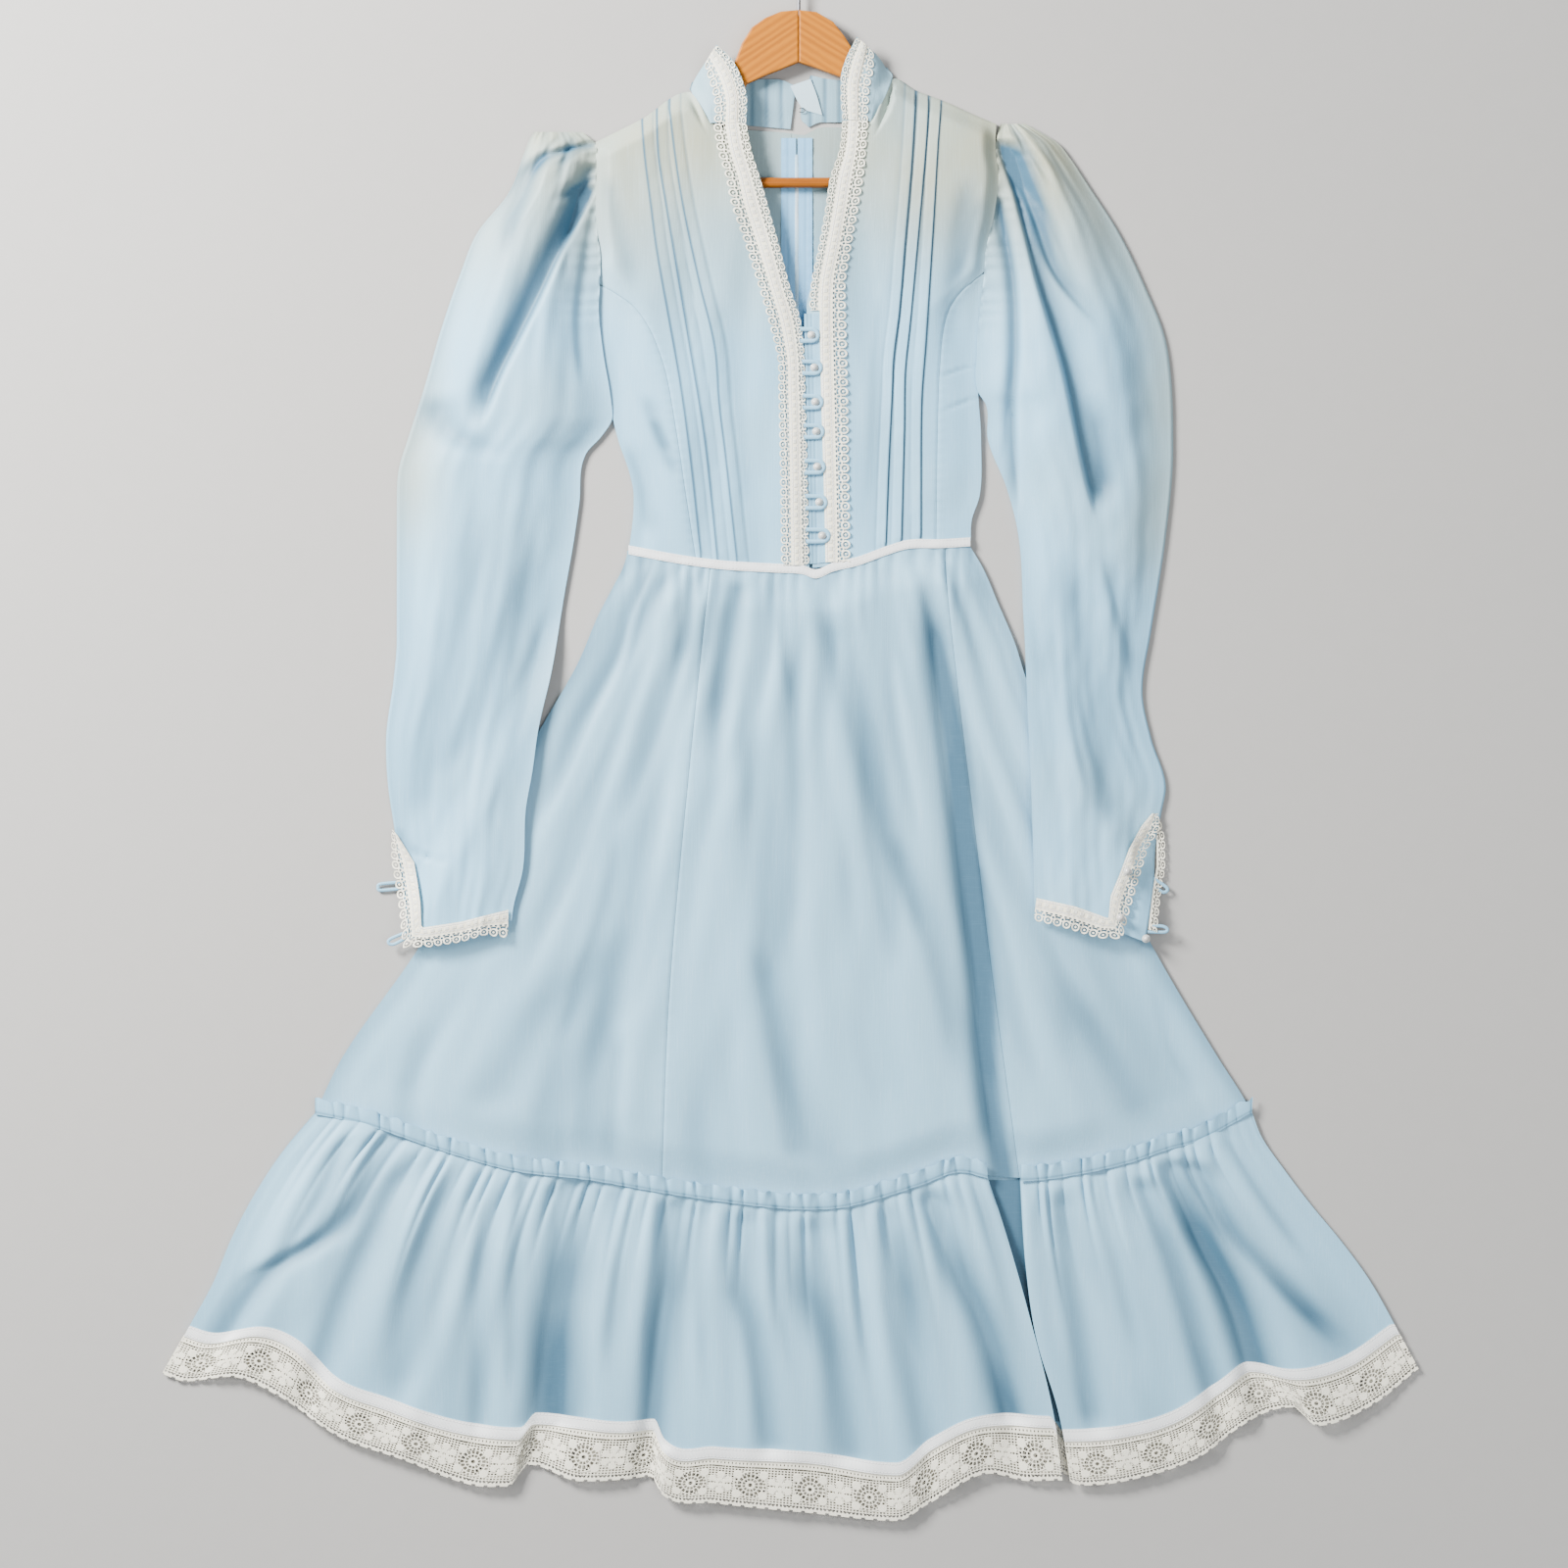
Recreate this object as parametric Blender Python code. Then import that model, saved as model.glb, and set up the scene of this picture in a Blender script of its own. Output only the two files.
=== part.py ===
"""Long-sleeved prairie dress laid flat over a wooden hanger.

Every cloth piece is a wall between two grids of points. The tables below give places on a layout
grid that runs 1600 steps across and 1600 steps down over the garment, seen from above, and GRID is
the real size of one step. Heights are in metres above the surface that the garment lies on.
"""

import math
from collections import namedtuple

import bmesh
import bpy
import numpy as np
from mathutils import Matrix

SHOULDER_TO_HEM = 1.288
SHOULDER_DOWN = 93.0
HEM_DOWN = 1548.0
GRID = SHOULDER_TO_HEM / (HEM_DOWN - SHOULDER_DOWN)
CENTRE_ACROSS = 806.25
CENTRE_DOWN = 750.5

CLOTH = 0.0015
TRIM = 0.0010
SEAM_GAP = 0.0003
FRONT_UNDER = CLOTH + SEAM_GAP
FRONT_TOP = FRONT_UNDER + CLOTH
TUCK_RISE = 0.0013
GATHERS_LEFT = 44
GATHERS_RIGHT = 16
GATHER_DEPTH = 0.0019
HEADING_TALL = 12.0
PLEAT_ACROSS = 1026.0
HANGER_LOW = 0.0031
HANGER_THICK = 0.010
BAR_RADIUS = 0.0047
HOOK_RADIUS = 0.018
HOOK_WIRE = 0.0016
BUTTON_RADIUS = 0.0038

Knot = namedtuple("Knot", "down across")
Fold = namedtuple("Fold", "path width depth ends")
Button = namedtuple("Button", "across down")
Stretch = namedtuple("Stretch", "name left left_downs right right_downs lace gathers")
Cut = namedtuple("Cut", "name side outer inner start foot puff folds")
Finish = namedtuple("Finish", "colour roughness metallic")

POWDER_BLUE = Finish((0.58, 0.72, 0.78), 0.55, 0.0)
IVORY_LACE = Finish((0.86, 0.84, 0.78), 0.75, 0.0)
WHITE_SATIN = Finish((0.90, 0.90, 0.88), 0.40, 0.0)
PEARL = Finish((0.85, 0.82, 0.76), 0.20, 0.0)
HONEY_WOOD = Finish((0.74, 0.47, 0.20), 0.45, 0.0)
DARK_STEEL = Finish((0.20, 0.20, 0.21), 0.35, 1.0)


def curve(*pairs):
    """Smooth function through (position, value) pairs, with level tangents at its peaks."""
    xs = np.array([pair[0] for pair in pairs], float)
    ys = np.array([pair[1] for pair in pairs], float)
    steps = np.diff(ys) / np.diff(xs)
    slopes = np.concatenate([steps[:1], (steps[1:] + steps[:-1]) / 2, steps[-1:]])
    slopes[1:-1][steps[1:] * steps[:-1] <= 0] = 0.0

    def at(x):
        x = np.clip(x, xs[0], xs[-1])
        i = np.clip(np.searchsorted(xs, x, side="right") - 1, 0, len(xs) - 2)
        wide = xs[i + 1] - xs[i]
        t = (x - xs[i]) / wide
        a = ys[i] * (1 + 2 * t) * (1 - t) ** 2 + ys[i + 1] * t * t * (3 - 2 * t)
        return a + wide * (slopes[i] * t * (1 - t) ** 2 - slopes[i + 1] * t * t * (1 - t))

    return at


def ease(x):
    """Soft step from 0 at x = 0 to 1 at x = 1."""
    x = np.clip(x, 0.0, 1.0)
    return x * x * (3 - 2 * x)


BODICE_LEVELS = (165, 205, 250, 279, 291, 300, 313, 333, 360, 400, 450, 505)
BACK_ROWS = (0.0, 0.07, 0.15, 0.27, 0.36, 0.5, 0.66, 0.8, 0.92, 1.0)
SLEEVE_SHARES = (0.0, 0.06, 0.14, 0.23, 0.32, 0.41, 0.5, 0.6, 0.7, 0.8, 0.9, 1.0)
SLEEVE_FALLS = (0.0, 0.02, 0.05, 0.09, 0.14, 0.2, 0.27, 0.35, 0.43, 0.52, 0.61, 0.7, 0.79, 0.88, 0.95, 1.0)
SLEEVE_OVER_SKIRT = 0.0088
ROTATE_Y = Matrix.Rotation(math.radians(90), 3, "Y")
RUFFLE_ROWS = (0.0, 0.10, 0.26, 0.50, 0.76, 0.95, 1.0)

# Outlines and seams: each line gives across for a place down the garment.
ARMHOLE_L = curve((146, 606.5), (173, 609), (202, 608), (236, 609), (265, 612.5), (290, 612), (313, 610.5),
                  (360, 615), (401, 622), (425, 625), (450, 631), (482, 642), (506, 646.5), (527, 646),
                  (559, 642), (566, 641))
ARMHOLE_R = curve((127, 1016.5), (153, 1015.5), (180, 1018.5), (221, 1014), (255, 1006), (282, 1004),
                  (318, 1000), (355, 997), (400, 998), (449, 1001), (506, 999.5), (531, 991.5), (557, 990.5))
PRINCESS_L = curve((291, 613), (300, 628), (312, 645), (333, 661), (355, 671), (380, 679), (440, 690),
                   (500, 699), (571, 710))
PRINCESS_R = curve((279, 1003), (287, 993), (299, 980), (313, 970), (330, 964), (379, 958.5), (415, 957),
                   (480, 955.7), (557, 955))
TUCKS_L = (
    curve((125, 656), (161, 659), (209, 665), (255, 671), (323, 683), (391, 695), (464, 705), (565, 716)),
    curve((117, 671), (161, 673), (209, 680.5), (282, 692.7), (354, 704.8), (427, 717), (464, 722), (570, 733)),
    curve((112, 684), (161, 690), (209, 697.5), (289, 714.5), (354, 730), (415, 735), (464, 741), (573, 753)),
)
TUCKS_R = (
    curve((92, 934), (161, 930), (245, 923), (318, 917), (367, 911), (403, 909.5), (480, 906), (565, 903)),
    curve((97, 947), (136, 945), (209, 939), (330, 928), (379, 923), (439, 922), (480, 921), (560, 919)),
    curve((102, 960), (136, 957), (221, 952), (354, 943.6), (403, 940), (480, 939), (556, 939)),
)
COLLAR_SEAM_L = curve((94, 704), (180, 722), (300, 762), (400, 775), (575, 778))
COLLAR_SEAM_R = curve((80, 912.5), (180, 902), (300, 886), (400, 884), (575, 884))
TRIM_OUT_L = curve((128, 727.5), (155, 732), (181, 740), (211, 746), (242, 757), (301, 776), (337, 786),
                   (367, 793), (398, 794), (582, 797))
TRIM_IN_L = curve((128, 762), (155, 767), (184, 776), (219, 786), (258, 797), (296, 807), (327, 817),
                  (350, 820), (398, 822), (586, 826))
TRIM_IN_R = curve((125, 859), (155, 856), (182, 847), (213, 842), (254, 834.7), (293, 827), (314, 823),
                  (350, 823.5), (398, 825), (586, 829))
TRIM_OUT_R = curve((127, 886), (150, 884), (176, 882), (219, 875), (258, 868), (293, 863), (378, 865),
                   (579, 868))
RIBBON_IN_R = curve((125, 860), (155, 857), (182, 848), (213, 843), (254, 835.7), (293, 829), (312, 828.5),
                    (330, 838), (398, 841), (586, 844))
BACK_CENTRE = curve((136, 807), (160, 811), (600, 813))
ZIP_LEFT = curve((100, 797), (600, 797))
ZIP_RIGHT = curve((100, 829), (600, 829))
WAIST = curve((640, 561), (700, 572), (740, 577), (790, 580), (820, 581), (850, 578), (875, 572), (905, 563),
              (925, 558), (960, 555), (991, 553))
RIBBON_LINE = curve((640, 561), (700, 572), (740, 577), (790, 580), (820, 582), (832, 586), (850, 579),
                    (875, 573), (905, 562), (925, 556), (960, 555), (991, 553))
BACK_WAIST = curve((640, 561), (800, 577), (880, 568), (991, 553))
BACK_GATHER = curve((322, 1135), (450, 1171), (600, 1202), (760, 1225), (860, 1227), (1000, 1214), (1100, 1196),
                    (1190, 1171), (1276, 1134))
SHOULDER = curve((606, 146), (654, 122), (702, 94), (727.5, 128), (762, 129), (859, 125), (886, 127),
                 (912.5, 80), (934, 92), (960, 102), (998, 119), (1017, 127))
BACK_NECK = curve((606, 146), (654, 122), (702, 94), (722, 118), (745, 129), (762, 131.5), (807, 135),
                  (819, 137), (838, 129), (859, 129), (886, 124), (906, 100), (913, 81), (934, 92), (960, 102),
                  (998, 119), (1017, 127))
SKIRT_L = curve((566, 640), (581, 635), (600, 625), (629, 610), (676, 590), (743, 552), (969, 426), (1078, 350),
                (1118, 330), (1136, 323))
SKIRT_R = curve((558, 990), (580, 1003), (615, 1018), (655, 1035), (695, 1048), (964, 1175), (1078, 1242),
                (1124, 1271), (1135, 1276))
GORE_L = curve((578, 725), (760, 706), (1017, 683), (1216, 675))
GORE_R = curve((555, 964), (600, 966), (675, 974), (850, 995), (1017, 1015), (1202, 1040))
GATHER_LINE = curve((322, 1135), (374, 1146), (448, 1171), (522, 1192), (602, 1202), (676, 1215), (760, 1227),
                    (820, 1232), (860, 1230), (900, 1220), (940, 1207), (980, 1194), (1012, 1201),
                    (1044, 1203), (1096, 1197), (1153, 1184), (1191, 1171), (1223, 1162), (1276, 1134))
RUFFLE_L = curve((1135, 322), (1173, 290), (1215, 262), (1260, 238), (1310, 217), (1348, 196), (1366, 186),
                 (1405, 166))
PLEAT_L = curve((1196, 1006), (1250, 1024), (1336, 1049), (1435, 1074), (1511, 1085))
PLEAT_R = curve((1196, 1040), (1290, 1046), (1365, 1057), (1438, 1079), (1511, 1093))
RUFFLE_R = curve((1134, 1277), (1160, 1287), (1192, 1309), (1230, 1338), (1265, 1367), (1303, 1395),
                 (1354, 1424), (1402, 1448))
HEM = curve((186, 1362), (215, 1370), (262, 1362), (301, 1376), (339, 1414), (395, 1437), (466, 1460),
            (529, 1467), (545, 1452), (581, 1455), (634, 1460), (666, 1458), (676, 1478), (730, 1486),
            (825, 1491), (915, 1503), (950, 1478), (994, 1456), (1072, 1455), (1084, 1469), (1143, 1465),
            (1198, 1450), (1242, 1422), (1277, 1399), (1320, 1406), (1376, 1393), (1424, 1361))
LACE_EDGE = curve((164, 1403), (189, 1411), (234, 1406), (283, 1425), (346, 1467), (410, 1490), (483, 1517),
                  (518, 1518), (540, 1496), (592, 1513), (648, 1510), (664, 1508), (676, 1526), (730, 1535),
                  (825, 1545), (915, 1553), (946, 1537), (1010, 1505), (1049, 1513), (1084, 1512),
                  (1105, 1517), (1159, 1510), (1223, 1488), (1277, 1450), (1319, 1437), (1344, 1456),
                  (1402, 1434), (1448, 1398))
SLEEVE_OUT_L = curve((134, 546), (141, 541), (156, 535), (197, 519), (238, 487), (279, 470), (337, 450),
                     (396, 433), (449, 416), (479, 407), (514, 405), (654, 405), (692, 402), (759, 394),
                     (801, 396), (842, 402), (870, 406), (905, 411), (958, 416))
SLEEVE_IN_L = curve((134, 592), (146, 606), (173, 608.5), (202, 607.5), (236, 608.5), (265, 612), (290, 611.5),
                    (313, 610), (360, 614.5), (401, 621.5), (425, 624), (445, 613), (463, 597), (514, 590),
                    (555, 584), (609, 574.5), (686, 562), (743, 549), (788, 542.6), (826, 536), (887, 533),
                    (925, 523.5), (960, 520))
SLEEVE_OUT_R = curve((126, 1045), (134, 1060), (146, 1079), (161, 1091.5), (190, 1111), (238, 1142),
                     (294, 1169), (342, 1188), (381, 1194.5), (459, 1197), (552, 1189), (644, 1174.5),
                     (705, 1165.6), (753, 1174.5), (804, 1189.5), (829, 1185), (864, 1179), (904, 1177),
                     (943, 1171), (966, 1167))
SLEEVE_IN_R = curve((126, 1022), (141, 1018), (153, 1016), (180, 1019), (221, 1014.5), (255, 1006.5),
                    (282, 1004.5), (318, 1000.5), (355, 997.5), (400, 998.5), (413, 1007), (449, 1009),
                    (498, 1028), (546, 1040), (629, 1045), (715, 1048.6), (817, 1053), (925, 1056))
CUFF_L = curve((416, 958), (432, 957), (472, 951), (495, 945), (520, 939))
CUFF_R = curve((1056, 925), (1096, 934), (1130, 946), (1150, 954), (1171, 962))

# The largest folds: a path from top to foot, half its width in steps, its depth in metres (a ridge
# has a negative depth), and how far from each end it fades, in steps.
SKIRT_FOLDS = (
    Fold((Knot(575, 680), Knot(662, 634), Knot(738, 590), Knot(860, 545)), 17, 0.0035, (25, 90)),
    Fold((Knot(590, 752), Knot(640, 745), Knot(700, 736), Knot(800, 729)), 14, 0.0060, (12, 80)),
    Fold((Knot(700, 752), Knot(800, 752), Knot(860, 748)), 16, -0.0030, (60, 60)),
    Fold((Knot(720, 755), Knot(800, 774), Knot(924, 782), Knot(1052, 794), Knot(1205, 845)), 20, 0.0035,
         (60, 30)),
    Fold((Knot(610, 728), Knot(750, 678), Knot(898, 652), Knot(1010, 626), Knot(1190, 594)), 22, 0.0040,
         (60, 30)),
    Fold((Knot(640, 700), Knot(796, 690), Knot(988, 655), Knot(1167, 632)), 20, -0.0025, (60, 40)),
    Fold((Knot(623, 845), Knot(751, 877), Knot(873, 915), Knot(956, 952), Knot(1120, 985)), 18, 0.0040,
         (30, 80)),
    Fold((Knot(940, 640), Knot(1026, 563), Knot(1150, 480)), 30, 0.0035, (90, 40)),
    Fold((Knot(585, 941), Knot(700, 966), Knot(828, 986), Knot(956, 1003), Knot(1084, 1018), Knot(1215, 1032)),
         19, 0.0105, (25, 5)),
    Fold((Knot(988, 1085), Knot(1052, 1120), Knot(1160, 1175)), 26, 0.0035, (60, 30)),
)
RUFFLE_FOLDS = (
    Fold((Knot(1151, 402), Knot(1254, 340), Knot(1300, 270), Knot(1375, 215)), 19, 0.0070, (20, 15)),
    Fold((Knot(1179, 420), Knot(1272, 374), Knot(1333, 346), Knot(1420, 318)), 17, 0.0045, (30, 15)),
    Fold((Knot(1193, 470), Knot(1290, 430), Knot(1440, 400)), 18, 0.0030, (40, 40)),
    Fold((Knot(1205, 500), Knot(1286, 493), Knot(1470, 489)), 15, 0.0035, (40, 20)),
    Fold((Knot(1200, 585), Knot(1286, 574), Knot(1361, 562), Knot(1460, 558)), 26, 0.0095, (20, 10)),
    Fold((Knot(1220, 688), Knot(1305, 682), Knot(1356, 673), Knot(1480, 662)), 19, 0.0085, (20, 10)),
    Fold((Knot(1230, 759), Knot(1314, 756), Knot(1361, 770), Knot(1490, 788)), 17, 0.0055, (20, 20)),
    Fold((Knot(1235, 832), Knot(1304, 827), Knot(1385, 850), Knot(1500, 866)), 22, 0.0060, (25, 20)),
    Fold((Knot(1222, 902), Knot(1295, 921), Knot(1400, 934), Knot(1500, 948)), 16, 0.0045, (25, 30)),
    Fold((Knot(1212, 946), Knot(1290, 974), Knot(1354, 1004), Knot(1460, 1034)), 21, 0.0085, (20, 15)),
    Fold((Knot(1213, 1079), Knot(1290, 1084), Knot(1354, 1097), Knot(1470, 1118)), 14, 0.0060, (20, 30)),
    Fold((Knot(1200, 1165), Knot(1231, 1174), Knot(1290, 1198), Knot(1450, 1246)), 15, 0.0065, (15, 30)),
    Fold((Knot(1182, 1200), Knot(1259, 1224), Knot(1317, 1252), Knot(1440, 1292)), 22, 0.0100, (15, 15)),
    Fold((Knot(1185, 1224), Knot(1259, 1260), Knot(1304, 1301), Knot(1390, 1385)), 16, 0.0065, (20, 50)),
)
SLEEVE_FOLDS_L = (
    Fold((Knot(190, 603), Knot(216, 589), Knot(260, 568), Knot(320, 542), Knot(390, 508), Knot(440, 490)), 16,
         0.0125, (12, 25)),
    Fold((Knot(147, 603), Knot(161, 560), Knot(205, 530), Knot(270, 518)), 13, 0.0050, (5, 40)),
    Fold((Knot(170, 605), Knot(207, 576)), 9, 0.0045, (5, 18)),
    Fold((Knot(400, 440), Knot(440, 462), Knot(470, 500)), 24, 0.0055, (20, 20)),
    Fold((Knot(520, 500), Knot(650, 470), Knot(760, 440), Knot(850, 425)), 20, 0.0030, (60, 40)),
    Fold((Knot(540, 560), Knot(700, 500), Knot(800, 455)), 16, 0.0025, (60, 40)),
)
SLEEVE_FOLDS_R = (
    Fold((Knot(144, 1019), Knot(165, 1032), Knot(221, 1055), Knot(284, 1079), Knot(340, 1125)), 14, 0.0065,
         (8, 50)),
    Fold((Knot(192, 1021), Knot(265, 1050), Knot(362, 1079), Knot(451, 1101), Knot(530, 1122)), 14, 0.0085,
         (12, 40)),
    Fold((Knot(216, 1014), Knot(325, 1030), Knot(415, 1035), Knot(520, 1036)), 12, 0.0075, (12, 30)),
    Fold((Knot(560, 1090), Knot(657, 1107), Knot(762, 1126), Knot(850, 1134)), 16, 0.0040, (60, 30)),
    Fold((Knot(560, 1125), Knot(641, 1146), Knot(700, 1160)), 12, 0.0035, (40, 30)),
)

FRONT_BUTTONS = (Button(828, 343), Button(831, 376), Button(832, 411), Button(833, 441), Button(834, 477),
                 Button(836, 513), Button(839, 547))
CUFF_BUTTONS = (Button(1149, 889), Button(1142, 936))

WAIST_LIFT = curve((640, 0.0004), (665, 0.0026), (700, 0.0034), (815, 0.0040), (930, 0.0034), (968, 0.0026),
                   (991, 0.0004))
BODICE_DRAPE = curve((80, 0.0128), (205, 0.0128), (250, 0.0105), (300, 0.0080), (380, 0.0065), (480, 0.0055),
                     (560, 0.0040))
RUFFLE_SWELL = curve((0.0, 0.0048), (0.12, 0.0075), (0.35, 0.0115), (0.75, 0.0105), (1.0, 0.0090))


def place(across, down, height):
    """Point in the part's frame for a place on the layout grid."""
    return ((across - CENTRE_ACROSS) * GRID, (CENTRE_DOWN - down) * GRID, height)


def fold_sum(folds, across, down):
    """Height that the folds take away at a place, each a soft trough beside its path."""
    total = 0.0
    for fold in folds:
        downs = [knot.down for knot in fold.path]
        if not downs[0] - 4 < down < downs[-1] + 4:
            continue
        middle = float(np.interp(down, downs, [knot.across for knot in fold.path]))
        start = ease((down - downs[0] + 4) / (fold.ends[0] + 4))
        finish = ease((downs[-1] + 4 - down) / (fold.ends[1] + 4))
        off = (across - middle) / fold.width
        total += fold.depth * start * finish * math.exp(-off * off)
    return total


def moved(line, steps):
    """Line that lies some grid steps further on than another."""
    return lambda at: line(at) + steps


def between(left, right, share):
    """Line that lies a share of the way from one line to another."""
    return lambda down: (1 - share) * left(down) + share * right(down)


def spread(*stops):
    """Lines across a panel: (line, number of steps to the next line) for each stop."""
    lines = []
    for (line, steps), (following, _) in zip(stops[:-1], stops[1:]):
        lines += [between(line, following, i / steps) for i in range(steps)]
    return lines + [stops[-1][0]]


def meet(line, border, guess):
    """Place down where a line crosses a border that gives down for across."""
    down = guess
    for _ in range(12):
        down = 0.5 * down + 0.5 * float(border(line(down)))
    return down


def grid(lines, top, foot, rows, gap=0.5 * SEAM_GAP):
    """Across and down for each row and line, drawn in by half the seam gap at each edge."""
    found = np.zeros((len(rows(0.0, 1.0)), len(lines), 2))
    for column, line in enumerate(lines):
        start = meet(line, top, top(line(0)))
        end = meet(line, foot, foot(line(2000)))
        for row, down in enumerate(rows(start, end)):
            found[row, column] = line(down), down
    found[:, 0, 0] += gap / GRID
    found[:, -1, 0] -= gap / GRID
    found[0, :, 1] += gap / GRID
    found[-1, :, 1] -= gap / GRID
    return found


def material(name, finish):
    """Principled material of one piece."""
    made = bpy.data.materials.new(name)
    made.use_nodes = True
    shader = made.node_tree.nodes["Principled BSDF"]
    shader.inputs["Base Color"].default_value = (*finish.colour, 1.0)
    shader.inputs["Roughness"].default_value = finish.roughness
    shader.inputs["Metallic"].default_value = finish.metallic
    return made


def add_object(name, work, finish):
    """Object of one closed mesh, smooth but for its sharp edges."""
    bmesh.ops.recalc_face_normals(work, faces=work.faces)
    mesh = bpy.data.meshes.new(name)
    work.to_mesh(mesh)
    work.free()
    mesh.shade_smooth()
    mesh.set_sharp_from_angle(angle=math.radians(40))
    mesh.materials.append(material(name, finish))
    made = bpy.data.objects.new(name, mesh)
    bpy.context.scene.collection.objects.link(made)
    return made


def shell(name, outer, inner, finish):
    """Closed wall between two grids of points with the same rows and columns."""
    rows, columns = len(outer), len(outer[0])
    work = bmesh.new()
    sides = [[[work.verts.new(point) for point in row] for row in side] for side in (outer, inner)]
    for side in sides:
        for i in range(rows - 1):
            for j in range(columns - 1):
                work.faces.new((side[i][j], side[i][j + 1], side[i + 1][j + 1], side[i + 1][j]))
    rim = [(0, j) for j in range(columns)] + [(i, columns - 1) for i in range(1, rows)]
    rim += [(rows - 1, j) for j in range(columns - 2, -1, -1)] + [(i, 0) for i in range(rows - 2, 0, -1)]
    for (i, j), (k, m) in zip(rim, rim[1:] + rim[:1]):
        work.faces.new((sides[0][i][j], sides[0][k][m], sides[1][k][m], sides[1][i][j]))
    return add_object(name, work, finish)


def cloth(name, places, top, under, finish):
    """Wall whose upper side follows top(across, down) and whose underside follows under(across, down)."""
    outer = [[place(a, d, top(a, d)) for a, d in row] for row in places]
    inner = [[place(a, d, under(a, d)) for a, d in row] for row in places]
    return shell(name, outer, inner, finish)


# Bodice

def bodice_edge(across, down):
    """Share of the full drape that a place has: none at the shoulder, side and armhole seams."""
    left = across - ARMHOLE_L(down)
    right = ARMHOLE_R(down) - across
    side = 0.28 + 0.72 * ease(min(left, right) / 15.0) if down < 300 else ease(min(left, right) / 60.0)
    neck = ease((across - 698) / 24.0) * ease((916 - across) / 24.0)
    shoulder = ease((down - BACK_NECK(across)) / 22.0)
    return side * max(shoulder, neck)


def bodice_lift(across, down):
    """Height of the front's cloth above where it would lie flat."""
    full = BODICE_DRAPE(down) * bodice_edge(across, down)
    near = ease((WAIST(across) - down) / 60.0)
    return near * full + (1 - near) * WAIST_LIFT(across)


def tuck_rise(tucks, outward, across, down):
    """Step of the folded tucks: each has its fold on the side of the sleeve."""
    fade = ease((down - BACK_NECK(across)) / 8.0) * ease((WAIST(across) - down - 5) / 10.0)
    rise = 0.0
    for tuck in tucks:
        inward = (across - tuck(down)) * outward
        if -0.05 <= inward < 11.0:
            rise = max(rise, TUCK_RISE * (1 - inward / 11.0))
    return rise * fade


def bodice_rows(start, end):
    """Rows of a front from its shoulder to the waist."""
    return [start, start + 24, *BODICE_LEVELS, end - 5.5, end]


def side_rows(start, end):
    """Rows of a side panel: those of the front beside it, below the armhole."""
    return [level for level in BODICE_LEVELS if level > 295] + [end - 5.5, end]


def outer_left(down):
    """Outer edge of the left centre front: the armhole, then the princess seam."""
    return ARMHOLE_L(down) if down < 291 else PRINCESS_L(down)


def outer_right(down):
    """Outer edge of the right centre front."""
    return ARMHOLE_R(down) if down < 279 else PRINCESS_R(down)


def front_top(across, down):
    """Upper side of a front without its tucks."""
    return FRONT_TOP + bodice_lift(across, down)


def front_under(across, down):
    """Underside of a front."""
    return FRONT_UNDER + bodice_lift(across, down)


def make_bodice_front():
    """The two centre fronts with three tucks each, and the two side fronts; gives their places."""
    left = [(outer_left, 3)]
    for tuck in TUCKS_L:
        left += [(lambda down, tuck=tuck: tuck(down) - 0.6, 1), (tuck, 1)]
    left += [(COLLAR_SEAM_L, 1), (TRIM_OUT_L, 1), (TRIM_IN_L, 0)]
    right = [(TRIM_IN_R, 1), (RIBBON_IN_R, 1), (TRIM_OUT_R, 1), (COLLAR_SEAM_R, 1)]
    for tuck in TUCKS_R:
        right += [(tuck, 1), (lambda down, tuck=tuck: tuck(down) + 0.6, 1)]
    right[-1] = (right[-1][0], 3)
    right += [(outer_right, 0)]
    made = {}
    for name, stops, tucks, outward in (
        ("front_left", left, TUCKS_L, 1),
        ("front_right", right, TUCKS_R, -1),
    ):
        places = grid(spread(*stops), SHOULDER, moved(WAIST, -0.8), bodice_rows)

        def top(across, down, tucks=tucks, outward=outward):
            return front_top(across, down) + tuck_rise(tucks, outward, across, down)

        cloth(name, places, top, front_under, POWDER_BLUE)
        made[name] = places
    for name, stops in (
        ("side_front_left", ((ARMHOLE_L, 3), (PRINCESS_L, 0))),
        ("side_front_right", ((PRINCESS_R, 3), (ARMHOLE_R, 0))),
    ):
        places = grid(spread(*stops), WAIST, moved(WAIST, -0.8), side_rows)
        cloth(name, places, front_top, front_under, POWDER_BLUE)
    return made


def flat(height):
    """Height function of a level surface."""
    return lambda across, down: height


def make_bodice_back():
    """The two backs, flat on the surface, with the closed zip on them."""
    def rows(start, end):
        return [start + (end - start) * share for share in BACK_ROWS]

    for name, stops in (
        ("back_left", ((moved(ARMHOLE_L, 2), 12), (BACK_CENTRE, 0))),
        ("back_right", ((BACK_CENTRE, 12), (moved(ARMHOLE_R, -2), 0))),
    ):
        places = grid(spread(*stops), moved(BACK_NECK, 1), moved(BACK_WAIST, -1), rows)
        cloth(name, places, flat(CLOTH), flat(0.0), POWDER_BLUE)
    places = grid(spread((ZIP_LEFT, 2), (ZIP_RIGHT, 0)), flat_line(158.0), flat_line(480.0), straight_rows)
    cloth("back_zip", places, flat(CLOTH + SEAM_GAP + TRIM), flat(CLOTH + SEAM_GAP), POWDER_BLUE)


def flat_line(down):
    """Border at one place down the garment."""
    return lambda across: down


def straight_rows(start, end):
    """Only the first and last row."""
    return [start, end]


def strip(name, inner_edge, outer_edge, top, finish, thick=TRIM):
    """Narrow wall between two edges of (across, down) places; top gives its upper side."""
    places = [inner_edge, outer_edge]
    cloth(name, places, top, lambda a, d: top(a, d) - thick, finish)


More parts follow.
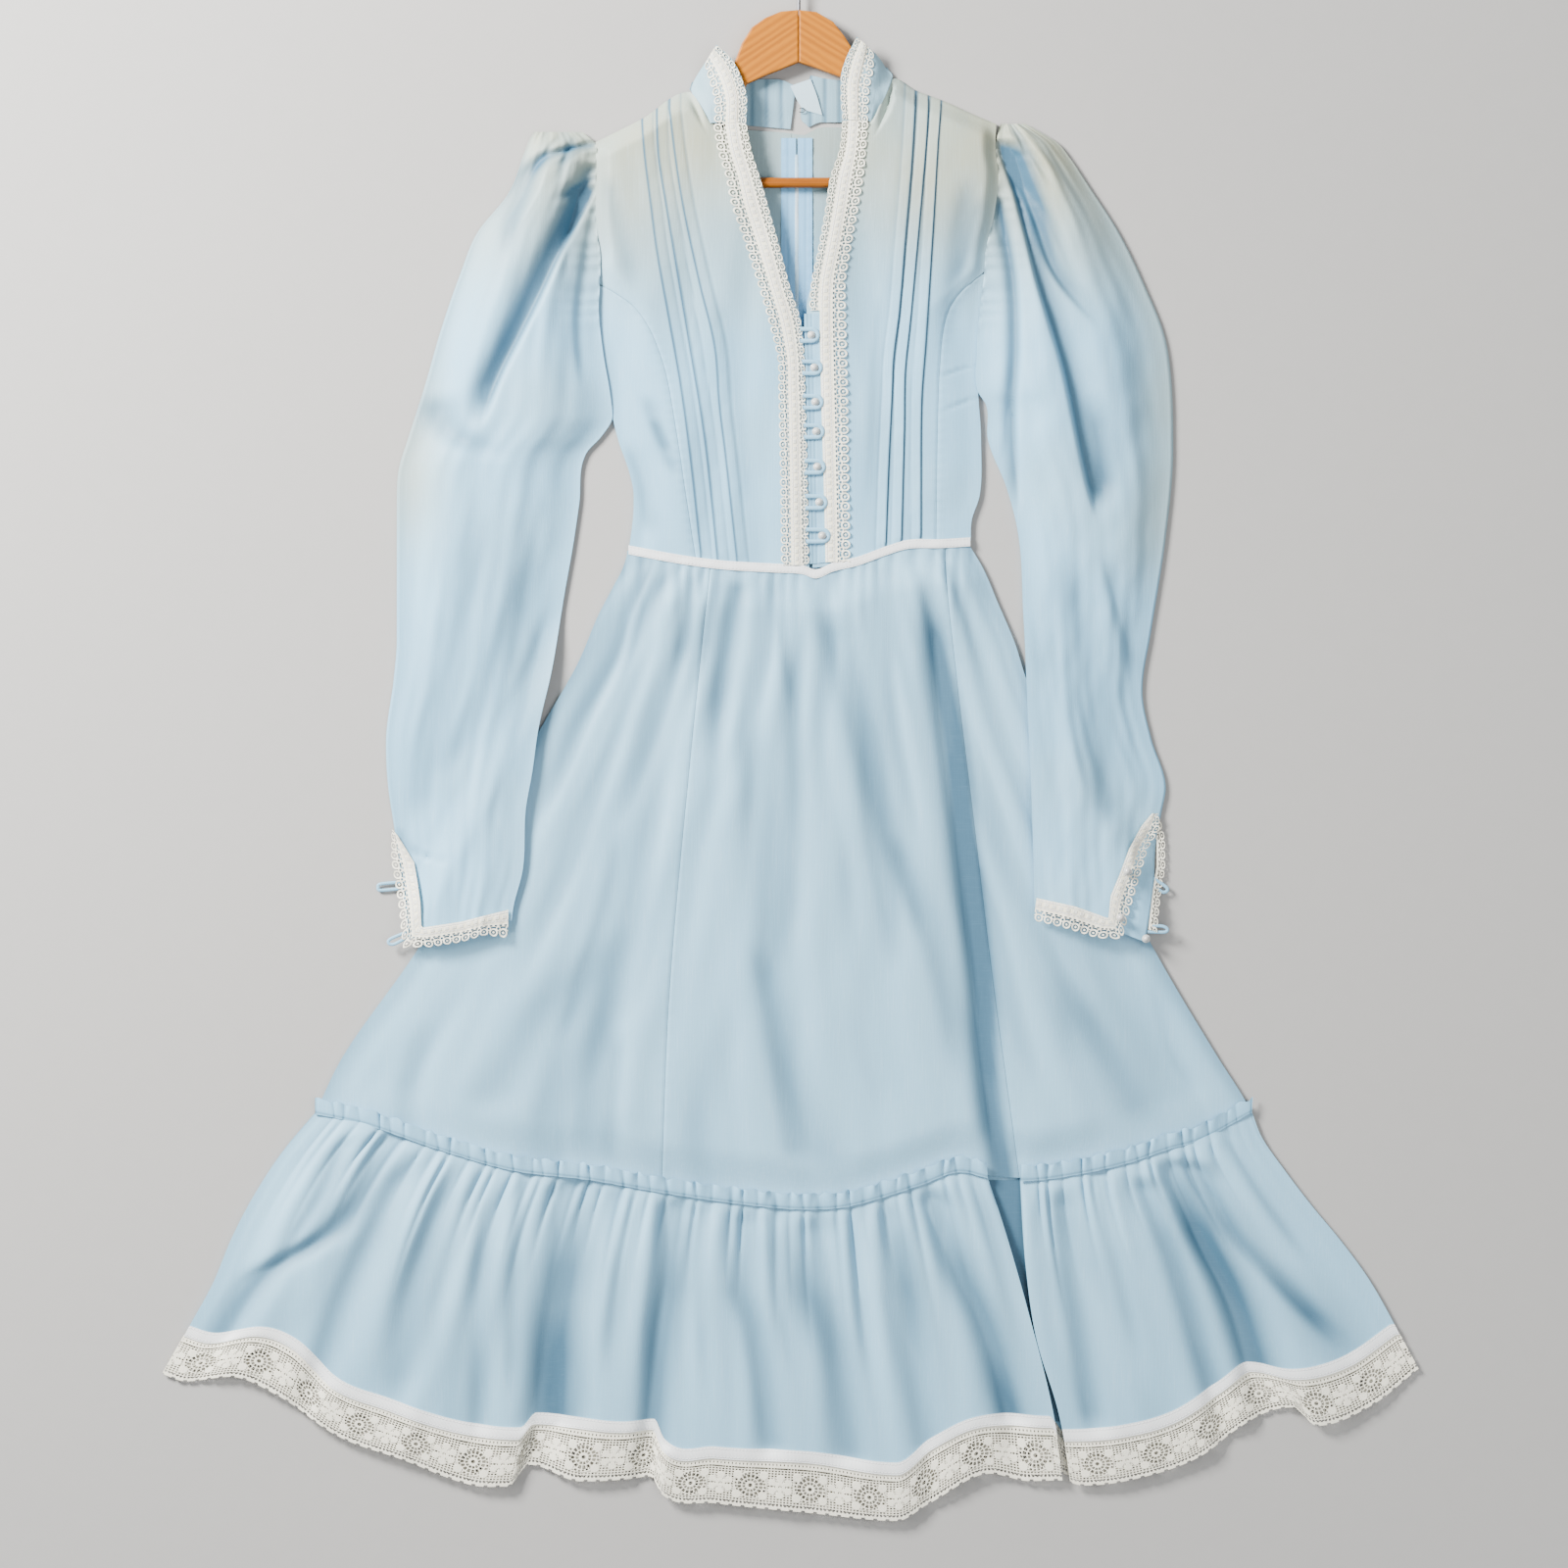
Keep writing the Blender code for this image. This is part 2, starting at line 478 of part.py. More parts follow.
def make_neck_trims(places):
    """Ribbon and lace bands along the neck and down the front, on the fronts' own points."""
    over = FRONT_TOP + SEAM_GAP + TRIM
    for name, front, columns in (
        ("neck_trim_left", places["front_left"], (-2, -1)),
        ("neck_trim_right", places["front_right"], (1, 2)),
    ):
        rows = front[:-2]
        edges = [[tuple(row[column]) for row in rows] for column in columns]
        strip(name, edges[0], edges[1], lambda a, d: over + bodice_lift(a, d), IVORY_LACE)


def make_waist_ribbon():
    """Satin ribbon over the waist seam."""
    marks = np.linspace(642, 989.5, 37)
    over = FRONT_TOP + 0.0009 + TRIM
    edges = [[(mark, float(RIBBON_LINE(mark)) + offset) for mark in marks] for offset in (-4.5, 4.5)]
    strip("waist_ribbon", edges[0], edges[1], lambda a, d: over + WAIST_LIFT(a), WHITE_SATIN)


# Skirt

def skirt_lift(across, down):
    """Height of the skirt's cloth above where it would lie flat."""
    edge = min(across - SKIRT_L(down), SKIRT_R(down) - across)
    width = 30.0 + 190.0 * ease((down - 560) / 250.0)
    shape = 0.0100 * ease(edge / width)
    shape = max(shape - fold_sum(SKIRT_FOLDS, across, down), 0.0)
    waist = ease((down - WAIST(across) - 6) / 40.0)
    foot = ease((GATHER_LINE(across) - HEADING_TALL - 3 - down) / 40.0)
    hem = gather_lift(across)
    return (1 - waist) * WAIST_LIFT(across) + waist * (foot * shape + (1 - foot) * hem)


def gather_lift(across):
    """Height of the skirt's foot, level under the ruffle's heading but for the deep pleat."""
    pleat = 1 - 0.8 * math.exp(-(((across - PLEAT_ACROSS) / 17.0) ** 4))
    return heading_lift(across) * pleat


def heading_lift(across):
    """Height of the ruffle's gathers, lower towards the side seams."""
    edge = min(across - 322.0, 1276.0 - across)
    return 0.0048 * ease(edge / 100.0)


def skirt_rows(start, end):
    """Rows of a gore: one for the ribbon, then even steps, then two for the heading."""
    steps = [start + 26 + (end - 16 - start - 26) * share for share in np.linspace(0, 1, 10)]
    return [start, start + 6, *steps, end]


def make_skirt():
    """Three front gores and the back, which lies flat."""
    for name, stops in (
        ("skirt_gore_left", ((SKIRT_L, 13), (GORE_L, 0))),
        ("skirt_gore_centre", ((GORE_L, 16), (GORE_R, 0))),
        ("skirt_gore_right", ((GORE_R, 12), (SKIRT_R, 0))),
    ):
        places = grid(spread(*stops), moved(WAIST, 0.8), moved(GATHER_LINE, -1.5), skirt_rows)
        cloth(name, places, lambda a, d: FRONT_TOP + skirt_lift(a, d), lambda a, d: FRONT_UNDER + skirt_lift(a, d),
              POWDER_BLUE)

    def rows(start, end):
        return [start + (end - start) * share for share in (0, 0.12, 0.35, 0.7, 1)]

    edges = spread((moved(SKIRT_L, 2), 12), (moved(SKIRT_R, -2), 0))
    cloth("skirt_back", grid(edges, moved(BACK_WAIST, 1), moved(BACK_GATHER, -1), rows), flat(CLOTH), flat(0.0),
          POWDER_BLUE)


# Ruffle

def ruffle_pieces():
    """The two stretches of the front ruffle, which part at the deep pleat."""
    return (
        Stretch("left", RUFFLE_L, (1135, 1362), PLEAT_L, (1200, 1457), (164.5, 1084), GATHERS_LEFT),
        Stretch("right", PLEAT_R, (1203, 1469), RUFFLE_R, (1134, 1361), (1092, 1448), GATHERS_RIGHT),
    )


def ruffle_places(piece, rows):
    """Places of the rows of a stretch: a row for each share of the fall from gathers to hem."""
    found = []
    for fall in rows:
        row = []
        for j in range(2 * piece.gathers + 1):
            share = gather_share(j, piece.gathers)
            edges = [
                (1 - share) * piece.left(piece.left_downs[0] + (piece.left_downs[1] - piece.left_downs[0]) * at)
                + share * piece.right(piece.right_downs[0] + (piece.right_downs[1] - piece.right_downs[0]) * at)
                for at in (0.0, fall, 1.0)
            ]
            start, foot = float(GATHER_LINE(edges[0])), float(HEM(edges[2]))
            row.append((float(edges[1]), start + (foot - start) * fall))
        found.append(row)
    return found


def gather_share(j, gathers):
    """Place across of a gather's crest or hollow, unevenly spaced."""
    count = 2 * gathers
    if j in (0, count):
        return j / count
    return (j + 0.30 * math.sin(1.7 * j)) / count


def ruffle_lift(piece, j, fall, across, down):
    """Height of a ruffle point: its swell, less the folds, with the gathers near the top."""
    share = j / (2 * piece.gathers)
    span = piece.gathers * 16.0
    edge_l = ease(share * span / 60.0) if piece.name == "left" else 0.75 + 0.25 * ease(share * span / 30.0)
    edge_r = ease((1 - share) * span / 60.0) if piece.name == "right" else 0.75 + 0.25 * ease(
        (1 - share) * span / 30.0)
    swell = float(RUFFLE_SWELL(fall)) * edge_l * edge_r
    swell = max(swell - 1.0 * fold_sum(RUFFLE_FOLDS, across, down), 0.0)
    fade = (1 - ease(fall / 0.45)) * edge_l * edge_r
    zig = GATHER_DEPTH * (0.75 + 0.25 * math.sin(2.3 * j)) * (1 if j % 2 else -1)
    return max(swell + fade * zig, 0.0)


def make_ruffle():
    """Front ruffle with its heading, hem ribbon and lace, and the flat back ruffle."""
    for piece in ruffle_pieces():
        places = ruffle_places(piece, RUFFLE_ROWS)
        lifts = [
            [ruffle_lift(piece, j, fall, *spot) for j, spot in enumerate(row)]
            for fall, row in zip(RUFFLE_ROWS, places)
        ]
        columns = range(len(places[0]))

        def level(i, height):
            return [place(*places[i][j], lifts[i][j] + height) for j in columns]

        rows = range(len(places))
        shell("ruffle_" + piece.name, [level(i, FRONT_TOP) for i in rows], [level(i, FRONT_UNDER) for i in rows],
              POWDER_BLUE)
        over = FRONT_TOP + SEAM_GAP
        shell("hem_ribbon_" + piece.name, [level(i, over + TRIM) for i in rows[-2:]],
              [level(i, over) for i in rows[-2:]], WHITE_SATIN)
        make_heading(piece, places[0])
        make_hem_lace(piece, places[-1], lifts[-1])


def make_heading(piece, gathers):
    """Frill that stands above the gathers, ruched with them."""
    base = FRONT_TOP + 0.0008
    outer, inner = [], []
    for rise, swing in ((0.6, 0.2), (HEADING_TALL, 1.0)):
        row, under = [], []
        for j, (across, down) in enumerate(gathers):
            zig = GATHER_DEPTH * 0.5 * swing * (1 if j % 2 else -1)
            height = base + heading_lift(across) + 0.5 * GATHER_DEPTH * swing + zig
            wave = 0.8 * math.sin(2.9 * j) * swing
            row.append(place(across, down - rise + wave, height + TRIM))
            under.append(place(across, down - rise + wave, height))
        outer.append(row)
        inner.append(under)
    shell("ruffle_heading_" + piece.name, outer, inner, POWDER_BLUE)


def make_hem_lace(piece, hem, lifts):
    """Lace below the hem, with its edge in small steps."""
    outer, inner = [], []
    count = len(hem) - 1
    for depth in (0.0, 0.5, 1.0):
        row, under = [], []
        for j, (across, down) in enumerate(hem):
            share = gather_share(j, piece.gathers)
            end = (1 - share) * piece.lace[0] + share * piece.lace[1]
            step = 1.2 * (-1) ** j if depth == 1.0 and 0 < j < count else 0.0
            spot_a = across + (end - across) * depth
            spot_d = down + 0.4 + (float(LACE_EDGE(end)) - down - 0.4) * depth + step
            height = lifts[j] * (1 - 0.45 * depth)
            row.append(place(spot_a, spot_d, FRONT_UNDER + height + TRIM))
            under.append(place(spot_a, spot_d, FRONT_UNDER + height))
        outer.append(row)
        inner.append(under)
    shell("hem_lace_" + piece.name, outer, inner, IVORY_LACE)


def make_ruffle_back():
    """Back ruffle and lace, flat on the surface, and the pleat's hidden fold."""
    columns = np.linspace(0, 1, 25)
    rows = []
    for fall in (0.0, 0.35, 0.7, 1.0):
        across_l = RUFFLE_L(1137 + 225 * fall) + 3
        across_r = RUFFLE_R(1137 + 224 * fall) - 3
        row = []
        for share in columns:
            top_a = 325 + (1273 - 325) * share
            foot_a = 189 + (1421 - 189) * share
            start, foot = float(BACK_GATHER(top_a)) + 1, float(HEM(foot_a)) - 6
            row.append((float((1 - share) * across_l + share * across_r), start + (foot - start) * fall))
        rows.append(row)
    cloth("ruffle_back", rows, flat(CLOTH), flat(0.0), POWDER_BLUE)
    lace = [[(a, d + 0.4) for a, d in rows[-1]]]
    lace.append([(167 + 1278 * share, float(LACE_EDGE(167 + 1278 * share)) - 6) for share in columns])
    cloth("hem_lace_back", lace, flat(TRIM), flat(0.0), IVORY_LACE)
    pleat = [[(PLEAT_L(down) - 12, down), (PLEAT_R(down) + 12, down)] for down in (1204, 1290, 1370, 1440, 1450)]
    cloth("ruffle_pleat", pleat, flat(FRONT_UNDER + TRIM), flat(FRONT_UNDER), POWDER_BLUE)


# Sleeves

def sleeve_raise(side, across, down):
    """Height at which a sleeve lies, over the skirt towards its cuff."""
    inside = across - SKIRT_L(down) if side < 0 else SKIRT_R(down) - across
    return SLEEVE_OVER_SKIRT * ease((inside + 52) / 44.0) * ease((down - 610) / 60.0)


def sleeve_top(cut, across, down):
    """Upper side of a sleeve."""
    out, inn = float(cut.outer(down)), float(cut.inner(down))
    share = min(max((across - out) / (inn - out), 0.0), 1.0)
    seam = 0.38 * (1 - ease((down - 395) / 50.0))
    shape = ease(share / 0.35) * (1 - (1 - seam) * ease((share - 0.62) / 0.38))
    puff = float(cut.puff(down)) * shape
    puff = max(puff - fold_sum(cut.folds, across, down) * ease(share / 0.2), 0.0)
    return FRONT_TOP + sleeve_raise(cut.side, across, down) + puff


def make_sleeve(cut):
    """Sleeve of one folded sheet: its fold is the outer edge, and the armhole and cuff are open."""
    outer, inner = [], []
    tops = [between(cut.outer, cut.inner, share) for share in SLEEVE_SHARES]
    places = grid(tops, flat_line(cut.start), cut.foot, sleeve_rows, 0.0007)
    for row in places:
        fold_a, fold_d = row[0]
        out_row, in_row = [], []
        for share in (1.0, 0.5, 0.06):
            index = SLEEVE_SHARES.index(share) if share in SLEEVE_SHARES else 1
            across, down = row[index]
            low = sleeve_raise(cut.side, across, down)
            out_row.append(place(across, down, low))
            in_row.append(place(across, down, low + CLOTH))
        low = sleeve_raise(cut.side, fold_a, fold_d) + 0.5 * (CLOTH + FRONT_UNDER)
        out_row.append(place(fold_a, fold_d, low))
        in_row.append(place(fold_a - cut.side * CLOTH / GRID, fold_d, low))
        for across, down in row[1:]:
            top = sleeve_top(cut, across, down)
            out_row.append(place(across, down, top))
            in_row.append(place(across, down, top - CLOTH))
        outer.append(out_row)
        inner.append(in_row)
    shell("sleeve_" + cut.name, outer, inner, POWDER_BLUE)


def sleeve_rows(start, end):
    """Rows of a sleeve, closer together at its head."""
    return [start + (end - start) * share for share in SLEEVE_FALLS]


def cuff_top(cut, across, down):
    """Upper side of a cuff's trim, clear of the folds beside it."""
    near = [sleeve_top(cut, across + 7 * i, down + 14 * j) for i in (-1, 0, 1) for j in (-1, 0, 1)]
    return max(near) + SEAM_GAP + TRIM + 0.0004


def make_cuff_trim(cut, path):
    """Band of ribbon and lace along the cuff and up its opening: (inner place, outer place) pairs."""
    rows = []
    for share in (0.0, 0.5, 1.0):
        rows.append([(a + (c - a) * share, b + (d - b) * share) for (a, b), (c, d) in path])
    cloth("cuff_trim_" + cut.name, rows, lambda a, d: cuff_top(cut, a, d), lambda a, d: cuff_top(cut, a, d) - TRIM,
          IVORY_LACE)


def make_sleeves():
    """Both sleeves with their cuff trims and loops."""
    left = Cut("left", -1, SLEEVE_OUT_L, moved(SLEEVE_IN_L, -0.4), 135.0, CUFF_L,
               curve((134, 0.0006), (150, 0.010), (180, 0.017), (260, 0.021), (420, 0.020), (560, 0.014),
                     (750, 0.009), (880, 0.0045), (960, 0.0035)), SLEEVE_FOLDS_L)
    right = Cut("right", 1, SLEEVE_OUT_R, moved(SLEEVE_IN_R, 1.2), 127.0, CUFF_R,
                curve((126, 0.0006), (140, 0.010), (180, 0.017), (260, 0.021), (420, 0.020), (560, 0.014),
                      (750, 0.009), (880, 0.0045), (960, 0.0035)), SLEEVE_FOLDS_R)
    for cut in (left, right):
        make_sleeve(cut)
    make_cuff_trim(left, (
        ((519.5, 928), (519, 957)), ((495, 934), (495, 954)), ((472, 940), (472, 961)), ((433, 946), (440, 966)),
        ((431, 944), (412, 967)), ((430, 921), (408, 930)), ((427, 902), (404, 905)), ((423, 880), (399, 876)),
        ((406, 852), (400, 846)),
    ))
    make_cuff_trim(right, (
        ((1057, 916), (1054, 939)), ((1096, 924.5), (1090, 948)), ((1128, 936), (1118, 957)),
        ((1130, 936), (1144, 958)), ((1132, 914), (1153, 925)), ((1140, 895), (1161, 898)),
        ((1151, 866), (1171, 866)), ((1164, 843), (1184, 845)), ((1175, 830), (1182, 830)),
    ))
    for index, spot in enumerate(CUFF_BUTTONS):
        make_button("cuff_button_" + str(index + 1), spot, cuff_top(right, spot.across, spot.down) - 0.0002)
    loops = (
        ("cuff_loop_1", -1, (386, 901), (386, 909), (410.4, 899), (411.4, 907)),
        ("cuff_loop_2", -1, (397, 957), (400, 964), (415.3, 950), (416, 957)),
        ("cuff_loop_3", 1, (1191, 905), (1187, 911), (1176.7, 895), (1176.3, 903)),
        ("cuff_loop_4", 1, (1190, 946), (1189, 951), (1171.4, 943), (1170.2, 951)),
    )
    for name, side, *ends in loops:
        low = 1000 * sleeve_raise(side, *ends[2])
        heights = (1.6, 1.6, 2.0, 2.0)
        points = [(*spot, low + height) for spot, height in zip(ends, heights)]
        patch(name, (points[:2], points[2:]), 0.8 * TRIM, POWDER_BLUE)


# Collar, buttons and loops

def patch(name, rows, thick, finish):
    """Wall through rows of (across, down, height in millimetres) points of its upper side."""
    outer = [[place(a, d, 0.001 * h) for a, d, h in row] for row in rows]
    inner = [[place(a, d, 0.001 * h - thick) for a, d, h in row] for row in rows]
    return shell(name, outer, inner, finish)


def make_collar():
    """Stand collar: its two sides lean in over the hanger, and its back lies flat."""
    left = (
        ((711.5, 77, 3.6), (719, 67, 12.5), (731.5, 48, 16.3)),
        ((708, 83.5, 3.5), (722, 80, 13.5), (747, 63, 16.6)),
        ((705.3, 91.5, 3.5), (727, 97, 15.2), (757, 82, 16.8)),
        ((713, 105.5, 10.8), (729, 112, 16.0), (762.5, 105, 16.8)),
        ((727.6, 127.2, 16.0), (728.6, 127.4, 16.1), (761.5, 128.2, 16.2)),
    )
    right = (
        ((899, 62, 3.6), (891.5, 55, 12.5), (874, 40, 16.3)),
        ((904, 70, 3.5), (891.5, 71, 13.5), (863, 62, 16.6)),
        ((910.5, 79, 3.5), (887.5, 92, 15.2), (857.5, 84, 16.8)),
        ((900.6, 99.5, 13.4), (886.5, 107, 17.0), (857.5, 104, 17.2)),
        ((886.4, 125.4, 16.4), (885.4, 126.0, 16.4), (859.5, 124.2, 16.4)),
    )
    patch("collar_left", left, CLOTH, POWDER_BLUE)
    patch("collar_right", right, CLOTH, POWDER_BLUE)
    for name, rows in (("collar_trim_left", left), ("collar_trim_right", right)):
        patch(name, [[(a, d, h + 1.3) for a, d, h in row[1:]] for row in rows], TRIM, IVORY_LACE)
    thick = 1000 * CLOTH
    patch("collar_back_left", (
        [(a, d, thick) for a, d in ((706, 84), (722, 83), (745, 82), (790, 81), (806, 87))],
        [(a, d, thick) for a, d in ((704.6, 89), (722, 100), (745, 105), (775, 106), (806, 110))],
        [(a, d, thick) for a, d in ((703.4, 91), (722, 114), (745, 125), (762, 128), (806.5, 132))],
    ), CLOTH, POWDER_BLUE)
    patch("collar_back_right", (
        [(a, d, thick) for a, d in ((827, 77), (840, 80), (858, 82), (884, 77), (905, 69))],
        [(a, d, thick) for a, d in ((817, 117), (838, 104), (859, 103), (885, 96), (908, 73))],
        [(a, d, thick) for a, d in ((825, 130), (838.5, 125), (859, 125), (885.5, 115), (911, 76.5))],
    ), CLOTH, POWDER_BLUE)


def make_button(name, spot, base):
    """Half-round pearl button on a surface at height base."""
    work = bmesh.new()
    bmesh.ops.create_uvsphere(work, u_segments=8, v_segments=5, radius=BUTTON_RADIUS)
    bmesh.ops.scale(work, vec=(1, 1, 0.62), verts=work.verts)
    bmesh.ops.translate(work, vec=place(spot.across, spot.down, base + SEAM_GAP + 0.62 * BUTTON_RADIUS),
                        verts=work.verts)
    add_object(name, work, PEARL)


def make_closure():
    """Pearl buttons down the front, each in a cloth loop that comes from the other side."""
    for index, spot in enumerate(FRONT_BUTTONS):
        base = front_top(spot.across, spot.down)
        make_button("front_button_" + str(index + 1), spot, base)
        start = float(TRIM_IN_L(spot.down)) + 0.8
        rows = []
        for reach in (5.4, 7.9):
            arc = [(spot.across + reach * math.cos(turn), spot.down + reach * 0.92 * math.sin(turn))
                   for turn in np.linspace(-0.5 * math.pi, 0.5 * math.pi, 7)]
            rows.append([(start, arc[0][1]), *arc, (start, arc[-1][1])])
        height = base + 2 * SEAM_GAP + 2 * TRIM
        cloth("front_loop_" + str(index + 1), rows, flat(height), flat(height - TRIM), POWDER_BLUE)


# Hanger

def make_hanger():
    """Two glued wooden arms, the bar between their ends, and the wire hook."""
    left = ((815, 12), (797, 13.5), (781, 20), (767, 30), (757, 46), (749, 67), (748, 92), (746, 114), (738, 136),
            (716, 151), (688, 158), (660, 163), (640, 169), (629, 178), (628, 188), (635, 195), (645, 195), (645, 179),
            (668, 175), (700, 167), (728, 154), (746, 133), (755, 110), (762, 87), (787, 76), (815, 65))
    right = ((815, 12), (833, 14), (850, 24), (861, 38), (868, 49), (875, 72), (879, 98), (886, 120), (904, 139),
             (935, 152), (965, 162), (984, 169), (994, 178), (995, 187), (991, 195), (985, 195), (985, 178),
             (960, 172), (925, 162), (895, 149), (877, 130), (867, 106), (859, 81), (838, 73), (815, 65))
    for name, outline, shift in (("hanger_arm_left", left, -0.2), ("hanger_arm_right", right, 0.2)):
        work = bmesh.new()
        verts = [work.verts.new(place(a + (shift if a == 815 else 0), d, HANGER_LOW)) for a, d in outline]
        face = work.faces.new(verts)
        raised = bmesh.ops.extrude_face_region(work, geom=[face])
        bmesh.ops.translate(work, vec=(0, 0, HANGER_THICK),
                            verts=[item for item in raised["geom"] if isinstance(item, bmesh.types.BMVert)])
        bmesh.ops.recalc_face_normals(work, faces=work.faces)
        rims = [edge for edge in work.edges if abs(edge.verts[0].co.z - edge.verts[1].co.z) < 1e-6]
        bmesh.ops.bevel(work, geom=rims, offset=0.0016, segments=2, affect="EDGES", profile=0.6)
        add_object(name, work, HONEY_WOOD)
    work = bmesh.new()
    start, end = place(645.6, 187.5, 0), place(984.4, 187.5, 0)
    bmesh.ops.create_cone(work, cap_ends=True, segments=14, radius1=BAR_RADIUS, radius2=BAR_RADIUS,
                          depth=end[0] - start[0])
    bmesh.ops.rotate(work, matrix=ROTATE_Y, verts=work.verts)
    bmesh.ops.translate(work, vec=(0.5 * (start[0] + end[0]), start[1], HANGER_LOW + 0.5 * HANGER_THICK),
                        verts=work.verts)
    add_object("hanger_bar", work, HONEY_WOOD)
    make_hook()


def make_hook():
    """Bent wire hook that stands out of the hanger's crown."""
    low = HANGER_LOW + 0.5 * HANGER_THICK
    base_x, base_y, _ = place(815, 12, 0)
    neck = 0.020
    points = [(base_x, base_y + 0.0004), (base_x, base_y + 0.5 * neck), (base_x, base_y + neck)]
    centre_y = base_y + neck + HOOK_RADIUS
    for turn in np.linspace(-90, 170, 19)[1:]:
        angle = math.radians(turn)
        points.append((base_x + HOOK_RADIUS * math.cos(angle), centre_y + HOOK_RADIUS * math.sin(angle)))
    data = bpy.data.curves.new("hanger_hook", "CURVE")
    data.dimensions = "3D"
    data.bevel_depth = HOOK_WIRE
    data.bevel_resolution = 2
    data.use_fill_caps = True
    spline = data.splines.new("POLY")
    spline.points.add(len(points) - 1)
    for spot, (x, y) in zip(spline.points, points):
        spot.co = (x, y, low, 1)
    data.materials.append(material("hanger_hook", DARK_STEEL))
    made = bpy.data.objects.new("hanger_hook", data)
    bpy.context.scene.collection.objects.link(made)


def main():
    """Clear the scene and make every piece."""
    for old in list(bpy.data.objects):
        bpy.data.objects.remove(old, do_unlink=True)
    make_bodice_back()
    places = make_bodice_front()
    make_neck_trims(places)
    make_waist_ribbon()
    make_skirt()
    make_ruffle()
    make_ruffle_back()
    make_sleeves()
    make_collar()
    make_closure()
    make_hanger()


main()
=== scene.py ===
"""Looks of the long-sleeved prairie dress on its wooden hanger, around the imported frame.

Each cloth piece is a thin shell between two named lines of the garment. The tables give places on a
layout grid that runs 1600 steps across and down over the garment, seen from above: GRID is the real
size of one step. Heights are in metres above the surface that the garment lies on.
"""

import logging
import math
from collections.abc import Callable, Sequence
from dataclasses import dataclass, field
from enum import Enum

import bpy
import numpy as np
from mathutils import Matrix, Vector


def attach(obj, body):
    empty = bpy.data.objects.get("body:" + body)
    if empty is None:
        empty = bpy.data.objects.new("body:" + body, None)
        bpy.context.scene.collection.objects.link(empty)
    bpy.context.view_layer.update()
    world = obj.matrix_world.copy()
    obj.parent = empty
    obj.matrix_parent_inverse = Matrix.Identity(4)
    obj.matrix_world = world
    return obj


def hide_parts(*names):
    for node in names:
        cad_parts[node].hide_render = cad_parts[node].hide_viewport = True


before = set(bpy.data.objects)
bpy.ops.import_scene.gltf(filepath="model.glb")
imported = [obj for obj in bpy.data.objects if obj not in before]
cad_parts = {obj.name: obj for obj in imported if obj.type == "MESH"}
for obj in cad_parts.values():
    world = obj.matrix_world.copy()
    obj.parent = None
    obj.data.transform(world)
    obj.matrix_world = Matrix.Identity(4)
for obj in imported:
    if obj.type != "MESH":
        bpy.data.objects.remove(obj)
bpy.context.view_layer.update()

LOG = logging.getLogger("prairie_dress")
Array = np.ndarray
Line = Callable[[Array], Array]
Surface = Callable[[Array, Array], Array]
Value = Array | float

GRID = 1.288 / 1455.0
CENTRE_ACROSS = 806.25
CENTRE_DOWN = 750.5
LEAF = 0.0007  # thickness of a cloth shell
WALL = 0.0015  # thickness of the flat backs
RIBBON_LEAF = 0.0005
LACE_LEAF = 0.0004
RISE = 0.0033  # height of the front pieces where they lie on the backs


class Side(Enum):
    """Which side of the garment a piece is on, as seen from above."""

    LEFT = -1
    RIGHT = 1


def curve(*pairs: tuple[float, float]) -> Line:
    """Smooth function through (position, value) pairs, with level tangents at its peaks.

    Args:
        pairs: positions in rising order, each with its value.

    Returns:
        A function of position that works on arrays.
    """
    xs = np.array([pair[0] for pair in pairs], float)
    ys = np.array([pair[1] for pair in pairs], float)
    steps = np.diff(ys) / np.diff(xs)
    slopes = np.concatenate([steps[:1], (steps[1:] + steps[:-1]) / 2, steps[-1:]])
    slopes[1:-1][steps[1:] * steps[:-1] <= 0] = 0.0

    def at(x: Array) -> Array:
        """Value at a position."""
        x = np.clip(x, xs[0], xs[-1])
        i = np.clip(np.searchsorted(xs, x, side="right") - 1, 0, len(xs) - 2)
        wide = xs[i + 1] - xs[i]
        t = (x - xs[i]) / wide
        near = ys[i] * (1 + 2 * t) * (1 - t) ** 2 + ys[i + 1] * t * t * (3 - 2 * t)
        return near + wide * (slopes[i] * t * (1 - t) ** 2 - slopes[i + 1] * t * t * (1 - t))

    return at


def ease(x: Array) -> Array:
    """Soft step from 0 at x = 0 to 1 at x = 1."""
    x = np.clip(x, 0.0, 1.0)
    return x * x * (3 - 2 * x)


def settled(height: Array, least: float) -> Array:
    """Height that levels off above zero where it is less than a least height."""
    return np.where(height > least, height, least * np.exp((height - least) / least))


def crown(rows: int) -> Array:
    """Rounded section of a ribbon, from 0 at its edges to 1 at its middle."""
    return np.sin(np.linspace(0, math.pi, rows))[:, None] ** 0.6


def dip(off: Array, wide: float) -> Array:
    """Bell from 1 at an offset of 0 down to 0 a few widths away."""
    return np.exp(-((off / wide) ** 2))


def moved(line: Line, steps: float) -> Line:
    """Line that lies some grid steps further on than another."""
    return lambda at: line(at) + steps


def between(first: Line, second: Line, share: float) -> Line:
    """Line that lies a share of the way from one line to another."""
    return lambda at: (1 - share) * first(at) + share * second(at)


def level(value: float) -> Line:
    """Line that keeps one value."""
    return lambda at: np.zeros_like(np.asarray(at, float)) + value


